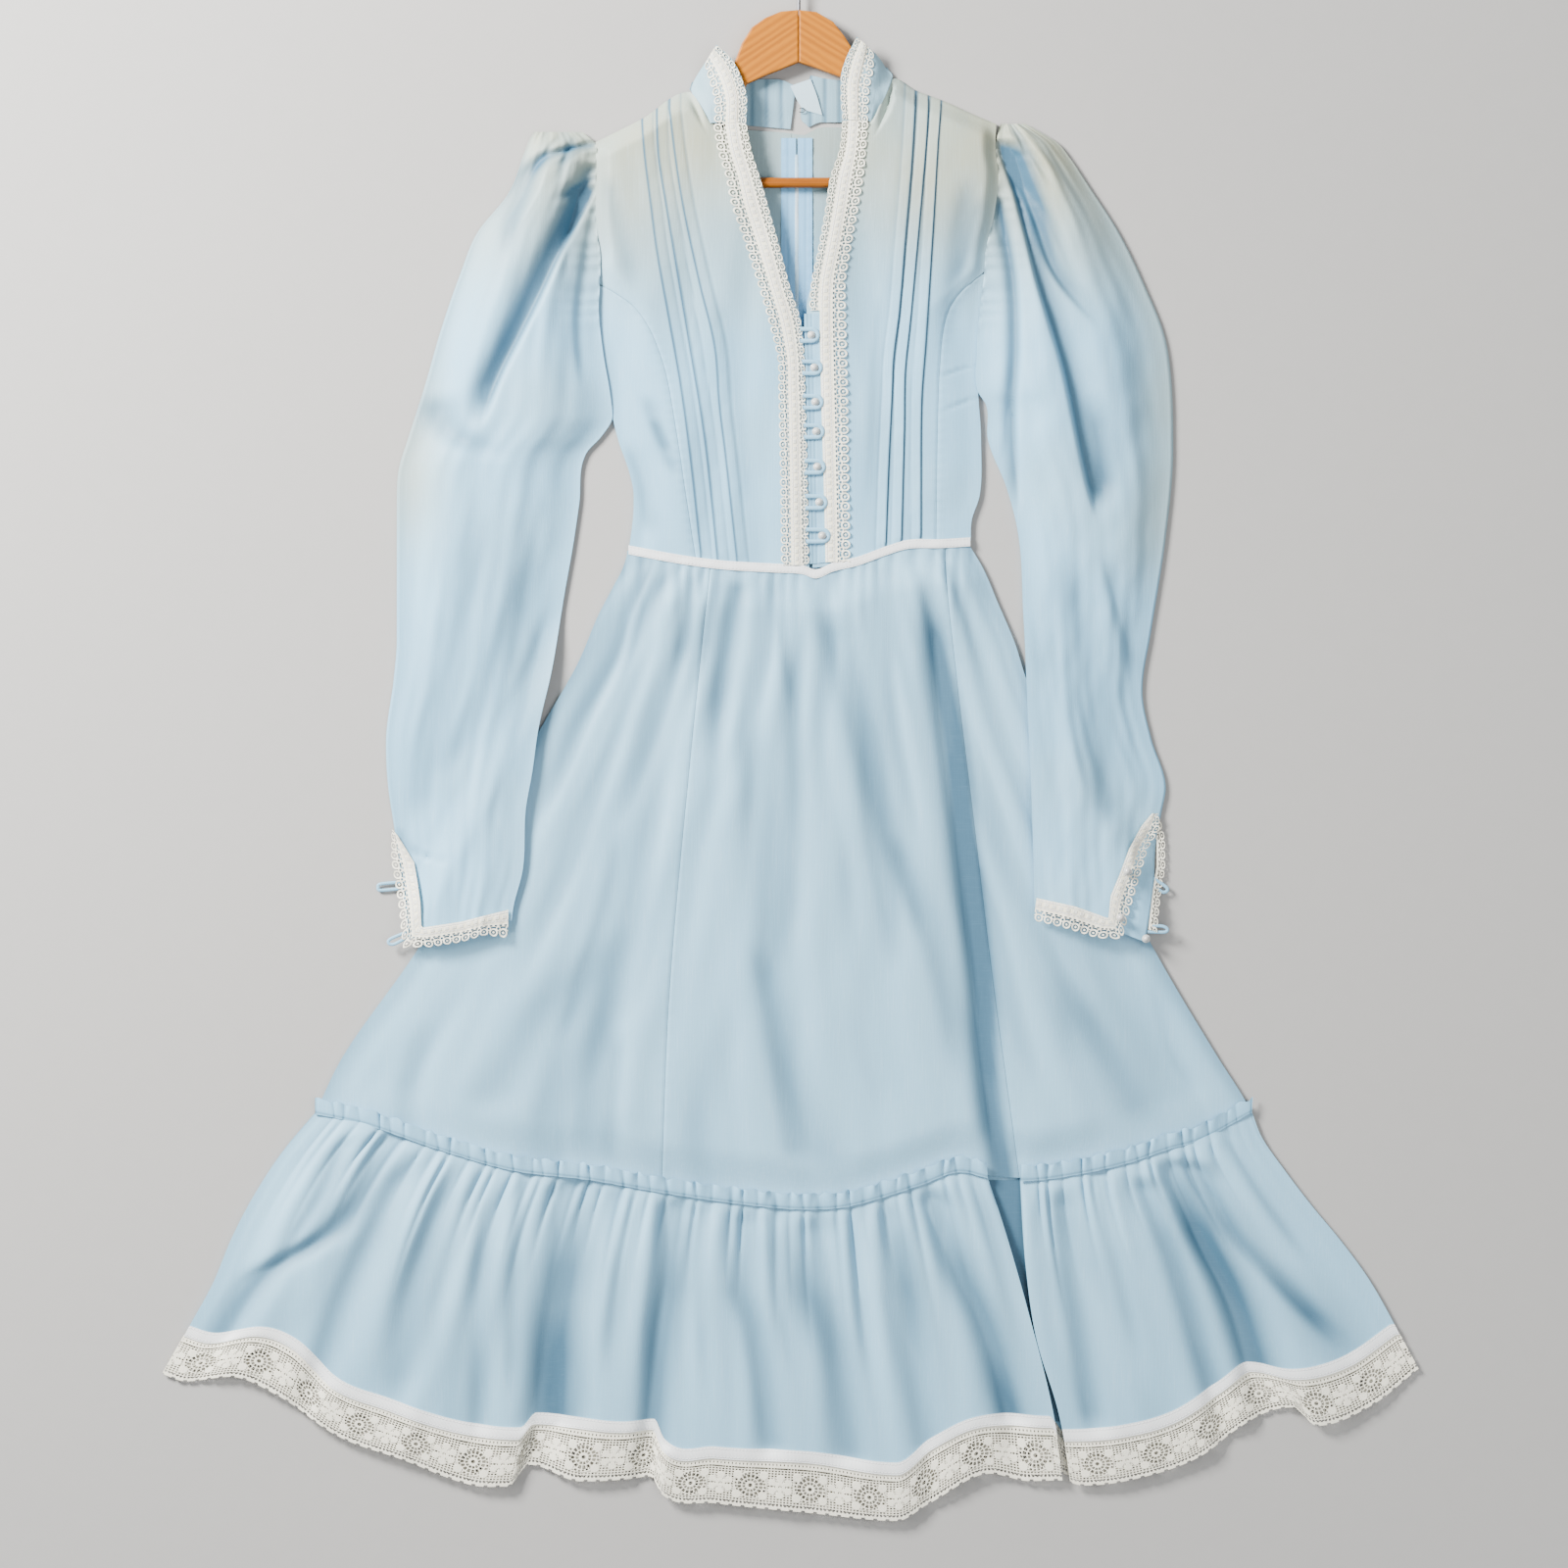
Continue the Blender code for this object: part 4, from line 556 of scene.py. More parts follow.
@dataclass(frozen=True)
class CottonFinish:
    """Woven powder-blue cloth with slubs along its warp, a slight satin sheen and shade painted into its folds.

    Attributes:
        light: colour of the faces that catch the light.
        trough: painted shade colour, towards which the folds and hollows are darkened.
        faded: warm grey of the shoulders.
    """

    light: tuple[float, float, float] = (0.275, 0.555, 0.755)
    trough: tuple[float, float, float] = (0.045, 0.125, 0.195)
    faded: tuple[float, float, float] = (0.385, 0.39, 0.265)

    def material(self, name: str) -> bpy.types.Material:
        """Builds the material."""
        net = Net(name)
        cloudy = net.noise((1.0, 0.6, 1.0), 9.0, 3.0)
        warm = (net.mark("warm") * (0.55 + 0.9 * cloudy)).maths("ADD", 0.0, clamp=True)
        ground = net.mix(self.light, self.faded, warm)
        # Painted shade: the mark that the pieces carry darkens the cloth towards the trough colour in folds and
        # hollows.
        crease = net.mark("crease")
        ground = net.mix(ground, self.trough, crease)
        slub = net.noise((1.0, 0.035, 1.0), 900.0, 3.0)
        weft = net.noise((0.06, 1.0, 1.0), 1100.0, 2.0)
        yarn = slub * 0.65 + weft * 0.35
        glint = (slub - 0.52).maths("MULTIPLY", 0.55, clamp=True) * (1.0 - crease)
        ground = net.mix(ground, (0.62, 0.80, 0.92), glint)
        ground = net.mix(ground, (0.18, 0.34, 0.46), (0.47 - weft).maths("MULTIPLY", 0.35, clamp=True))
        net.feed(Base_Color=ground, Roughness=0.44 + 0.25 * yarn)
        net.feed(Sheen_Weight=0.04, Sheen_Roughness=0.45, Specular_IOR_Level=0.35)
        net.bump(yarn, 0.00022)
        return net.material


@dataclass(frozen=True)
class SatinFinish:
    """White satin ribbon with a stitched line along each edge.

    Attributes:
        colour: colour of the ribbon.
        is_beaded: whether it is threaded through a row of small square windows.
    """

    colour: tuple[float, float, float] = (0.86, 0.88, 0.88)
    is_beaded: bool = False

    def material(self, name: str) -> bpy.types.Material:
        """Builds the material."""
        net = Net(name)
        along, across = net.mark("lay", "X"), net.mark("lay", "Y")
        ribs = (along * 5200.0).wave() * 0.5 + 0.5
        edge = abs(across - 0.5)
        stitch = edge.band(0.34, 0.035, 0.03) * (along / 0.0031).part().band(0.5, 0.3, 0.08)
        colour = net.mix(self.colour, (0.60, 0.63, 0.66), edge.band(0.34, 0.05, 0.05) * 0.5)
        colour = net.mix(colour, (0.92, 0.92, 0.91), stitch)
        windows: Wire | float = 0.0
        if self.is_beaded:
            windows = (along / 0.0066).part().band(0.5, 0.24, 0.08) * (1.0 - edge.above(0.17, 0.06))
            colour = net.mix(colour, (0.62, 0.66, 0.66), windows * 0.6)
            colour = net.mix(colour, (0.55, 0.54, 0.47), edge.band(0.27, 0.02, 0.03) * 0.7)
        net.feed(Base_Color=colour, Roughness=0.34 + 0.1 * ribs, Sheen_Weight=0.15)
        net.bump(ribs * 0.25 + stitch * 0.6 + edge.band(0.5, 0.03, 0.04) * 0.4 + windows, 0.00035)
        return net.material


class LaceKind(Enum):
    """Which lace pattern a band has."""

    EDGING = "edging"
    FLOWERS = "flowers"


@dataclass(frozen=True)
class LaceFinish:
    """Cotton lace with real holes: a narrow looped edging, or a deep border of two flowers.

    Attributes:
        kind: the pattern.
        thread: colour of the thread.
        scallop: length of one scallop of the edging, in metres.
        deep: depth of the edging, in metres.
        repeat: length of the deep border's pattern, in metres.
        border: depth of the deep border, in metres.
    """

    kind: LaceKind
    thread: tuple[float, float, float] = (0.95, 0.90, 0.70)
    scallop: float = 0.0086
    deep: float = 0.0140
    repeat: float = 0.054
    border: float = 0.053

    def edging(self, net: Net) -> tuple[Wire, Wire]:
        """Looped edging: a dense heading, a row of eyelets and loops at the free edge.

        Args:
            net: the material that is being made.

        Returns:
            How much thread there is, and how high it stands.
        """
        along, across = net.mark("lay", "X") / self.scallop, net.mark("lay", "Y")
        cell = (along.part() - 0.5) * self.scallop
        rise = (across - 0.72) * self.deep
        ray = cell.span(rise)
        ring = ray.band(0.00310, 0.00062, 0.00025)
        heart = 1.0 - ray.above(0.00105, 0.0004)
        aside = ((along + 0.5).part() - 0.5) * self.scallop
        low = (across - 0.47) * self.deep
        link = aside.span(low).band(0.00165, 0.00042, 0.00025)
        heading = 1.0 - across.above(0.34, 0.05)
        eyelet = across.band(0.27, 0.035, 0.02) * abs((along * 2.0).part() - 0.5).band(0.0, 0.22, 0.1)
        solid = heading.most(link).most(ring).most(heart)
        return solid * (1.0 - eyelet * 0.9), ring.most(heart).most(link).most(heading * 0.5)

    def flowers(self, net: Net) -> tuple[Wire, Wire]:
        """Deep border: a rosette and a six-petalled flower by turns in a square net.

        Args:
            net: the material that is being made.

        Returns:
            How much thread there is, and how high it stands.
        """
        along, across = net.mark("lay", "X"), net.mark("lay", "Y") * self.border
        first = ((along / self.repeat).part() - 0.5) * self.repeat
        second = ((along / self.repeat + 0.5).part() - 0.5) * self.repeat
        middle = across - 0.0275
        ray_one = first.span(middle)
        turn_one = middle.maths("ARCTAN2", first)
        ray_two = second.span(middle)
        turn_two = middle.maths("ARCTAN2", second)
        petals_one = (turn_one * 4.0).wave()
        petals_two = (turn_two * 3.0).wave()
        disc = 1.0 - ray_one.above(0.0150, 0.0010)
        holes_one = ray_one.band(0.0058, 0.0010, 0.0005) * abs((turn_one * 6.0).wave()).above(0.45, 0.3)
        holes_two = ray_one.band(0.0098, 0.0013, 0.0006) * abs((turn_one * 8.0).wave()).above(0.5, 0.3)
        ring = ray_one.band(0.0131 + 0.0006 * petals_one, 0.0007, 0.0004) * abs((turn_one * 12.0).wave()).above(
            0.62, 0.3)
        heart = 1.0 - ray_one.above(0.0018, 0.0006)
        rosette = disc * (1.0 - holes_one.most(holes_two).most(ring).most(heart))
        star = 1.0 - (ray_two - 0.0028 * abs(petals_two)).above(0.0092, 0.0008)
        star_holes = ray_two.band(0.0066, 0.0019, 0.0006) * (1.0 - abs(petals_two)).above(0.62, 0.3)
        star = star * (1.0 - star_holes.most(1.0 - ray_two.above(0.0014, 0.0006)))
        side = abs(second)
        blob, blob_low = [(side - 0.0152).span(middle + offset) for offset in (-0.0105, 0.0105)]
        leaves = 1.0 - blob.least(blob_low).above(0.0042, 0.0008)
        mesh = along.beat(0.0030).above(0.31, 0.08).most(across.beat(0.0026).above(0.30, 0.08))
        top = 1.0 - across.above(0.0085, 0.0006)
        arch = (along.beat(0.0034) * 0.0068 + abs(across - 0.0052)).band(0.0, 0.0011, 0.0005)
        slot = across.band(0.0092, 0.0006, 0.0003) * along.beat(0.0026).band(0.0, 0.28, 0.1)
        foot = 0.0508 - 0.0016 * along.beat(self.repeat / 5.0).above(0.34, 0.04)
        border = across.band(foot - 0.0014, 0.0019, 0.0005)
        keys = across.band(0.0462, 0.0008, 0.0004) * along.beat(0.0036).band(0.0, 0.22, 0.1)
        flower = rosette.most(star * (1.0 - disc)).most(leaves)
        solid = flower.most(mesh * (1.0 - disc)).most(top).most(border)
        solid = solid * (1.0 - arch * top) * (1.0 - keys) * (1.0 - slot)
        within = 1.0 - (across - foot).above(0.0, 0.0004)
        return solid * within, flower.most(border)

    def material(self, name: str) -> bpy.types.Material:
        """Builds the material."""
        net = Net(name)
        solid, raised = self.edging(net) if self.kind is LaceKind.EDGING else self.flowers(net)
        thread = net.noise((1.0, 1.0, 1.0), 2400.0, 2.0)
        colour = net.mix(self.thread, (0.98, 0.95, 0.83), thread)
        # Painted shade: the thread turns grey towards the rims of its holes.
        colour = net.mix((0.66, 0.63, 0.53), colour, solid.above(0.62, 0.4))
        net.feed(Base_Color=colour, Roughness=0.78, Alpha=solid.above(0.5, 0.35), Sheen_Weight=0.1)
        net.bump(raised * 0.6 + thread * 0.4 + solid * 0.4, 0.0005)
        return net.material


@dataclass(frozen=True)
class PearlFinish:
    """Pearl gloss of the buttons.

    Attributes:
        colour: ground colour.
    """

    colour: tuple[float, float, float] = (0.56, 0.53, 0.46)

    def material(self, name: str) -> bpy.types.Material:
        """Builds the material."""
        net = Net(name)
        cloud = net.noise((1.0, 1.0, 1.0), 260.0, 3.0)
        colour = net.mix(self.colour, (0.68, 0.61, 0.57), cloud)
        colour = net.mix(colour, (0.44, 0.53, 0.56), net.noise((1.0, 1.0, 1.0), 120.0, 1.0) * 0.6)
        net.feed(Base_Color=colour, Roughness=0.16 + 0.1 * cloud, Coat_Weight=0.6, Coat_Roughness=0.08)
        net.bump(cloud, 0.00005)
        return net.material


@dataclass(frozen=True)
class WoodFinish:
    """Varnished wood with grain along one direction.

    Attributes:
        pale: colour between the rings.
        dark: colour of the grain lines.
        turn: direction of the grain from the row's X axis, in degrees.
    """

    pale: tuple[float, float, float] = (0.46, 0.15, 0.001)
    dark: tuple[float, float, float] = (0.17, 0.036, 0.0005)
    turn: float = 0.0

    def material(self, name: str) -> bpy.types.Material:
        """Builds the material."""
        net = Net(name)
        spun = net.node("ShaderNodeVectorRotate", {"rotation_type": "Z_AXIS"},
                        {"Vector": net.place(), "Angle": math.radians(-self.turn)})
        long = net.node("ShaderNodeVectorMath", {"operation": "MULTIPLY"}, {0: spun, 1: (0.10, 1.0, 1.0)})
        rough = net.node("ShaderNodeTexNoise", {}, {"Vector": long, "Scale": 60.0, "Detail": 3.0}, "Fac")
        rings = net.node("ShaderNodeTexWave", {"bands_direction": "Y"},
                         {"Vector": long, "Scale": 55.0, "Distortion": 5.0, "Detail": 2.0}, "Fac")
        pores = net.node("ShaderNodeTexNoise", {}, {"Vector": long, "Scale": 900.0, "Detail": 2.0}, "Fac")
        colour = net.mix(self.pale, self.dark, (rings * rough * 0.8).maths("ADD", 0.0, clamp=True))
        colour = net.mix(colour, self.dark, (pores - 0.58).maths("MULTIPLY", 1.8, clamp=True))
        net.feed(Base_Color=colour, Roughness=0.42 + 0.12 * rough, Coat_Weight=0.04, Coat_Roughness=0.2)
        net.feed(Specular_IOR_Level=0.25)
        net.bump(pores, 0.0001)
        return net.material


@dataclass(frozen=True)
class WireFinish:
    """Darkened steel wire, drawn along its length.

    Attributes:
        colour: colour of the steel.
    """

    colour: tuple[float, float, float] = (0.10, 0.10, 0.11)

    def material(self, name: str) -> bpy.types.Material:
        """Builds the material."""
        net = Net(name)
        scratch = net.noise((1.0, 1.0, 1.0), 700.0, 3.0)
        colour = net.mix(self.colour, (0.28, 0.27, 0.26), (scratch - 0.45).maths("MULTIPLY", 1.5, clamp=True))
        net.feed(Base_Color=colour, Metallic=1.0, Roughness=0.30 + 0.2 * scratch)
        net.bump(scratch, 0.00004)
        return net.material


COTTON = "powder_blue_cloth"
LACE = "ivory_lace"
SATIN = "white_satin"
BACKS = ("back_left", "back_right")
FRONTS = ("front_left", "front_right")


@dataclass(frozen=True)
class Lattice:
    """Rows and columns of places on the layout grid.

    Attributes:
        across: place across of each point, rows by columns.
        down: place down of each point.
    """

    across: Array
    down: Array

    @classmethod
    def between_lines(cls, stops: Sequence[tuple[Line, int]], top: Line, foot: Line, rows: int,
                      gap: float = 0.17, head: float = 1.0) -> "Lattice":
        """Places between lines across and borders down.

        Args:
            stops: each line and the number of steps to the next one.
            top: border that gives down for across.
            foot: the lower border.
            rows: number of rows.
            gap: how far the edges are drawn in, in grid steps.
            head: power that brings the rows closer together at the top.

        Returns:
            The lattice.
        """
        lines = [between(line, following[0], i / steps)
                 for (line, steps), following in zip(stops[:-1], stops[1:]) for i in range(steps)]
        lines.append(stops[-1][0])
        across, down = np.zeros((rows, len(lines))), np.zeros((rows, len(lines)))
        for column, line in enumerate(lines):
            start, end = cls.meet(line, top, 0.0), cls.meet(line, foot, 2000.0)
            down[:, column] = start + (end - start) * np.linspace(0, 1, rows) ** head
            across[:, column] = line(down[:, column])
        across[:, 0] += gap
        across[:, -1] -= gap
        down[0] += gap
        down[-1] -= gap
        return cls(across, down)

    @staticmethod
    def meet(line: Line, border: Line, guess: float) -> float:
        """Place down where a line crosses a border."""
        down = float(border(line(np.float64(guess))))
        for _ in range(14):
            down = 0.5 * down + 0.5 * float(border(line(np.float64(down))))
        return down

    @classmethod
    def along_path(cls, first: Array, second: Array, columns: int, rows: int) -> "Lattice":
        """Places of a band between two paths of (across, down) knots.

        Args:
            first: knots of the band's first edge.
            second: knots of its second edge.
            columns: number of places along it.
            rows: number of places over its width.

        Returns:
            The lattice.
        """
        middle = 0.5 * (first + second)
        walk = np.concatenate([[0.0], np.cumsum(np.linalg.norm(np.diff(middle, axis=0), axis=1))])
        steps = np.linspace(0, walk[-1], columns)
        edges = [[np.interp(steps, walk, edge[:, axis]) for axis in (0, 1)] for edge in (first, second)]
        share = np.linspace(0, 1, rows)[:, None]
        return cls(*[(1 - share) * edges[0][axis] + share * edges[1][axis] for axis in (0, 1)])

    def lay(self) -> Array:
        """Length along the rows in metres and share over the columns, for each point."""
        step = np.hypot(np.diff(self.across, axis=1), np.diff(self.down, axis=1)).mean(axis=0) * GRID
        along = np.concatenate([[0.0], np.cumsum(step)])
        share = np.linspace(0, 1, len(self.across))
        return np.stack(np.broadcast_arrays(along[None, :], share[:, None]), axis=-1)

    def length(self) -> float:
        """Length along the rows in metres."""
        return float(self.lay()[:, :, 0].max())


class Tailor:
    """Turns lattices into thin closed shells, dresses them and hides the frame's parts that they stand for."""

    def __init__(self) -> None:
        """Starts with no materials."""
        self.made: dict[object, bpy.types.Material] = {}

    def finish(self, finish: object) -> bpy.types.Material:
        """Material of a finish, made once."""
        if finish not in self.made:
            self.made[finish] = finish.material(type(finish).__name__ + str(len(self.made)))
        return self.made[finish]

    def mesh(self, name: str, points: Array, faces: list, finish: object, slot: str,
             nodes: Sequence[str], marks: dict[str, Array]) -> bpy.types.Object:
        """Adds one piece.

        Args:
            name: its name.
            points: its points in metres.
            faces: its faces.
            finish: its finish.
            slot: name of a material slot; not used.
            nodes: the frame's nodes that it stands for.
            marks: values at its points, one number or two each.

        Returns:
            The object.
        """
        data = bpy.data.meshes.new(name)
        data.from_pydata(points.tolist(), [], faces)
        for key, values in marks.items():
            if values.ndim == 1:
                data.attributes.new(key, "FLOAT", "POINT").data.foreach_set("value", values.astype(np.float32))
            else:
                full = np.zeros((len(values), 3), np.float32)
                full[:, :2] = values
                data.attributes.new(key, "FLOAT_VECTOR", "POINT").data.foreach_set("vector", full.ravel())
        data.shade_smooth()
        data.set_sharp_from_angle(angle=math.radians(58))
        data.materials.append(self.finish(finish))
        made = bpy.data.objects.new("sewn_" + name, data)
        bpy.context.scene.collection.objects.link(made)
        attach(made, "root")
        if nodes:
            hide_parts(*nodes)
        LOG.info("%s: %d faces", name, len(faces))
        return made

    def shell(self, name: str, lattice: Lattice, height: Array, finish: object, slot: str,
              nodes: Sequence[str] = (), leaf: float = LEAF, marks: dict[str, Array] | None = None,
              shift: Array | None = None) -> bpy.types.Object:
        """Closed thin shell on a lattice.

        Args:
            name: its name.
            lattice: its places.
            height: height of its upper side at each place.
            finish: its finish.
            slot: name of a material slot, passed on to mesh.
            nodes: the frame's nodes that it stands for.
            leaf: its thickness.
            marks: values at its places.
            shift: how far its underside lies from its upper side, where not straight below.

        Returns:
            The object.
        """
        rows, columns = lattice.across.shape
        places = np.stack([(lattice.across - CENTRE_ACROSS) * GRID, (CENTRE_DOWN - lattice.down) * GRID, height],
                          axis=-1)
        if shift is None:
            shift = np.broadcast_to(np.array([0.0, 0.0, -leaf]), places.shape)
        outward = np.cross(np.diff(places, axis=0)[:, :-1], np.diff(places, axis=1)[:-1])
        upper, under = places.reshape(-1, 3), (places + shift).reshape(-1, 3)
        index = np.arange(rows * columns).reshape(rows, columns)
        quads = np.stack([index[:-1, :-1], index[1:, :-1], index[1:, 1:], index[:-1, 1:]], axis=-1).reshape(-1, 4)
        lower = quads[:, ::-1] + rows * columns
        rim = np.concatenate([index[0, :-1], index[:-1, -1], index[-1, :0:-1], index[:0:-1, 0]])
        after = np.roll(rim, -1)
        border = np.stack([rim, after, after + rows * columns, rim + rows * columns], axis=-1)
        faces = np.concatenate([quads, lower, border])
        if (outward * shift[:-1, :-1]).sum() > 0:
            faces = faces[:, ::-1]
        kept = {"crease": np.zeros((rows, columns)), "warm": np.zeros((rows, columns)), **(marks or {})}
        flat = {key: np.concatenate([value.reshape(rows * columns, -1)] * 2) for key, value in kept.items()}
        flat = {key: value[:, 0] if value.shape[1] == 1 else value for key, value in flat.items()}
        return self.mesh(name, np.concatenate([upper, under]), faces.tolist(), finish, slot, nodes, flat)

    def declare(self, piece: bpy.types.Object, held: str, rests_on: Sequence[str], fullness: float = 1.0,
                length: float | None = None) -> None:
        """Works out the size that a piece of cloth was cut to, and logs it.

        Args:
            piece: the piece.
            held: not used.
            rests_on: not used.
            fullness: width of the cut over the width that is laid out here.
            length: its length along a bent path, where it is a band.
        """
        area = sum(face.area for face in piece.data.polygons) / 2 * fullness
        low, high = np.array(piece.bound_box).min(0), np.array(piece.bound_box).max(0)
        long = max(length or float(high[1] - low[1]), 0.012)
        wide = max(float(high[0] - low[0]) * fullness, 0.012) if length is None else max(area / long, 0.01)
        if area > 0.999 * wide * long:
            wide = area / long * 1.01
        LOG.info("%s: cut %.0f x %.0f mm, %.4f square metres", piece.name, wide * 1000, long * 1000, area)

    def cloth(self, name: str, lattice: Lattice, height: Array, shade: tuple[Value, Value], held: str,
              rests_on: Sequence[str], fullness: float = 1.0, leaf: float = LEAF, finish: object | None = None,
              nodes: Sequence[str] | None = None, length: float | None = None,
              shift: Array | None = None) -> None:
        """Makes a piece of the dress's cloth and logs the size that it was cut to.

        Args:
            name: its name.
            lattice: its places.
            height: height of its upper side.
            shade: how much shade is painted on it, and how faded it is.
            held: how it is held.
            rests_on: what it lies on.
            fullness: width of the cut over the width that is laid out here.
            leaf: its thickness.
            finish: its finish, where not the plain cloth.
            nodes: the frame's nodes that it stands for, where not the one of its name.
            length: its length along a bent path, where it is a band.
            shift: how far its underside lies from its upper side, where not straight below.
        """
        marks = {key: np.broadcast_to(value, height.shape) for key, value in zip(("crease", "warm"), shade)}
        piece = self.shell(name, lattice, height, finish or CottonFinish(), COTTON,
                           [name] if nodes is None else nodes, leaf, marks, shift)
        self.declare(piece, held, rests_on, fullness, length)

    def strip(self, name: str, lattice: Lattice, height: Array, finish: object, nodes: Sequence[str],
              held: str, rests_on: Sequence[str], fullness: float, lay: Array | None = None) -> None:
        """Makes a lace or a ribbon, which is as long as its path, and logs the size that it was cut to.

        Args:
            name: its name.
            lattice: its places.
            height: height of its upper side.
            finish: its finish.
            nodes: the frame's nodes that it stands for.
            held: how it is held.
            rests_on: what it lies on.
            fullness: width of the cut over the width that is laid out here.
            lay: where its pattern lies, where not from its first corner.
        """
        plain = finish == SatinFinish()
        piece = self.shell(name, lattice, height, finish, SATIN if plain else LACE, nodes,
                           RIBBON_LEAF if plain else LACE_LEAF, {"lay": lattice.lay() if lay is None else lay})
        self.declare(piece, held, rests_on, fullness, lattice.length())

    def loop(self, name: str, path: Sequence[tuple[float, float, float]], wide: float, tall: float, crease: float,
             rests_on: str) -> None:
        """Makes a narrow cloth loop and logs the size that it was cut to.

        Args:
            name: its name, which is also its node's.
            path: its points in metres.
            wide: half its width.
            tall: half its height.
            crease: how much shade is painted on it.
            rests_on: what it lies on.
        """
        points, faces = tube(np.array(path), wide, tall)
        none = np.zeros(len(points))
        # Even painted shade over the loop.
        piece = self.mesh(name, points, faces, CottonFinish(), COTTON, [name], {"crease": none + crease, "warm": none})
        self.declare(piece, "folded", [rests_on])


def ring_faces(rings: int, sides: int) -> list[tuple[int, ...]]:
    """Faces between rings of points that follow each other, with a cap at both ends."""
    faces = [(i * sides + j, i * sides + (j + 1) % sides, (i + 1) * sides + (j + 1) % sides, (i + 1) * sides + j)
             for i in range(rings - 1) for j in range(sides)]
    return faces + [tuple(range(sides))[::-1], tuple(range((rings - 1) * sides, rings * sides))]


def tube(path: Array, wide: float, tall: float, sides: int = 10) -> tuple[Array, list]:
    """Closed tube of elliptic section along a path.

    Args:
        path: its points in metres.
        wide: half its width in the plane of the garment.
        tall: half its height.
        sides: number of sides.

    Returns:
        Its points and faces.
    """
    ahead = np.gradient(path, axis=0)
    ahead[:, 2] = 0
    ahead /= np.linalg.norm(ahead, axis=1)[:, None] + 1e-12
    beside = np.stack([-ahead[:, 1], ahead[:, 0], np.zeros(len(path))], axis=1)
    turn = np.linspace(0, 2 * math.pi, sides, endpoint=False)
    ring = beside[:, None, :] * (wide * np.cos(turn))[None, :, None]
    ring[:, :, 2] += tall * np.sin(turn)
    return (path[:, None, :] + ring).reshape(-1, 3), ring_faces(len(path), sides)


def spot(across: float, down: float, height: float) -> tuple[float, float, float]:
    """Point in the garment's frame for a place on the layout grid."""
    return ((across - CENTRE_ACROSS) * GRID, (CENTRE_DOWN - down) * GRID, height)


def faded(across: Array, down: Array) -> Array:
    """How warm and grey the cloth has gone at each place: most on the shoulders and the sleeves' heads."""
    top = 1 - ease((down - 130) / 260.0)
    out = ease((np.abs(across - 806) - 330) / 60.0) * (1 - ease((down - 480) / 160.0))
    return np.clip(0.85 * top + 0.55 * out + 0.12 * wander(across, down, 160, 5), 0, 1)


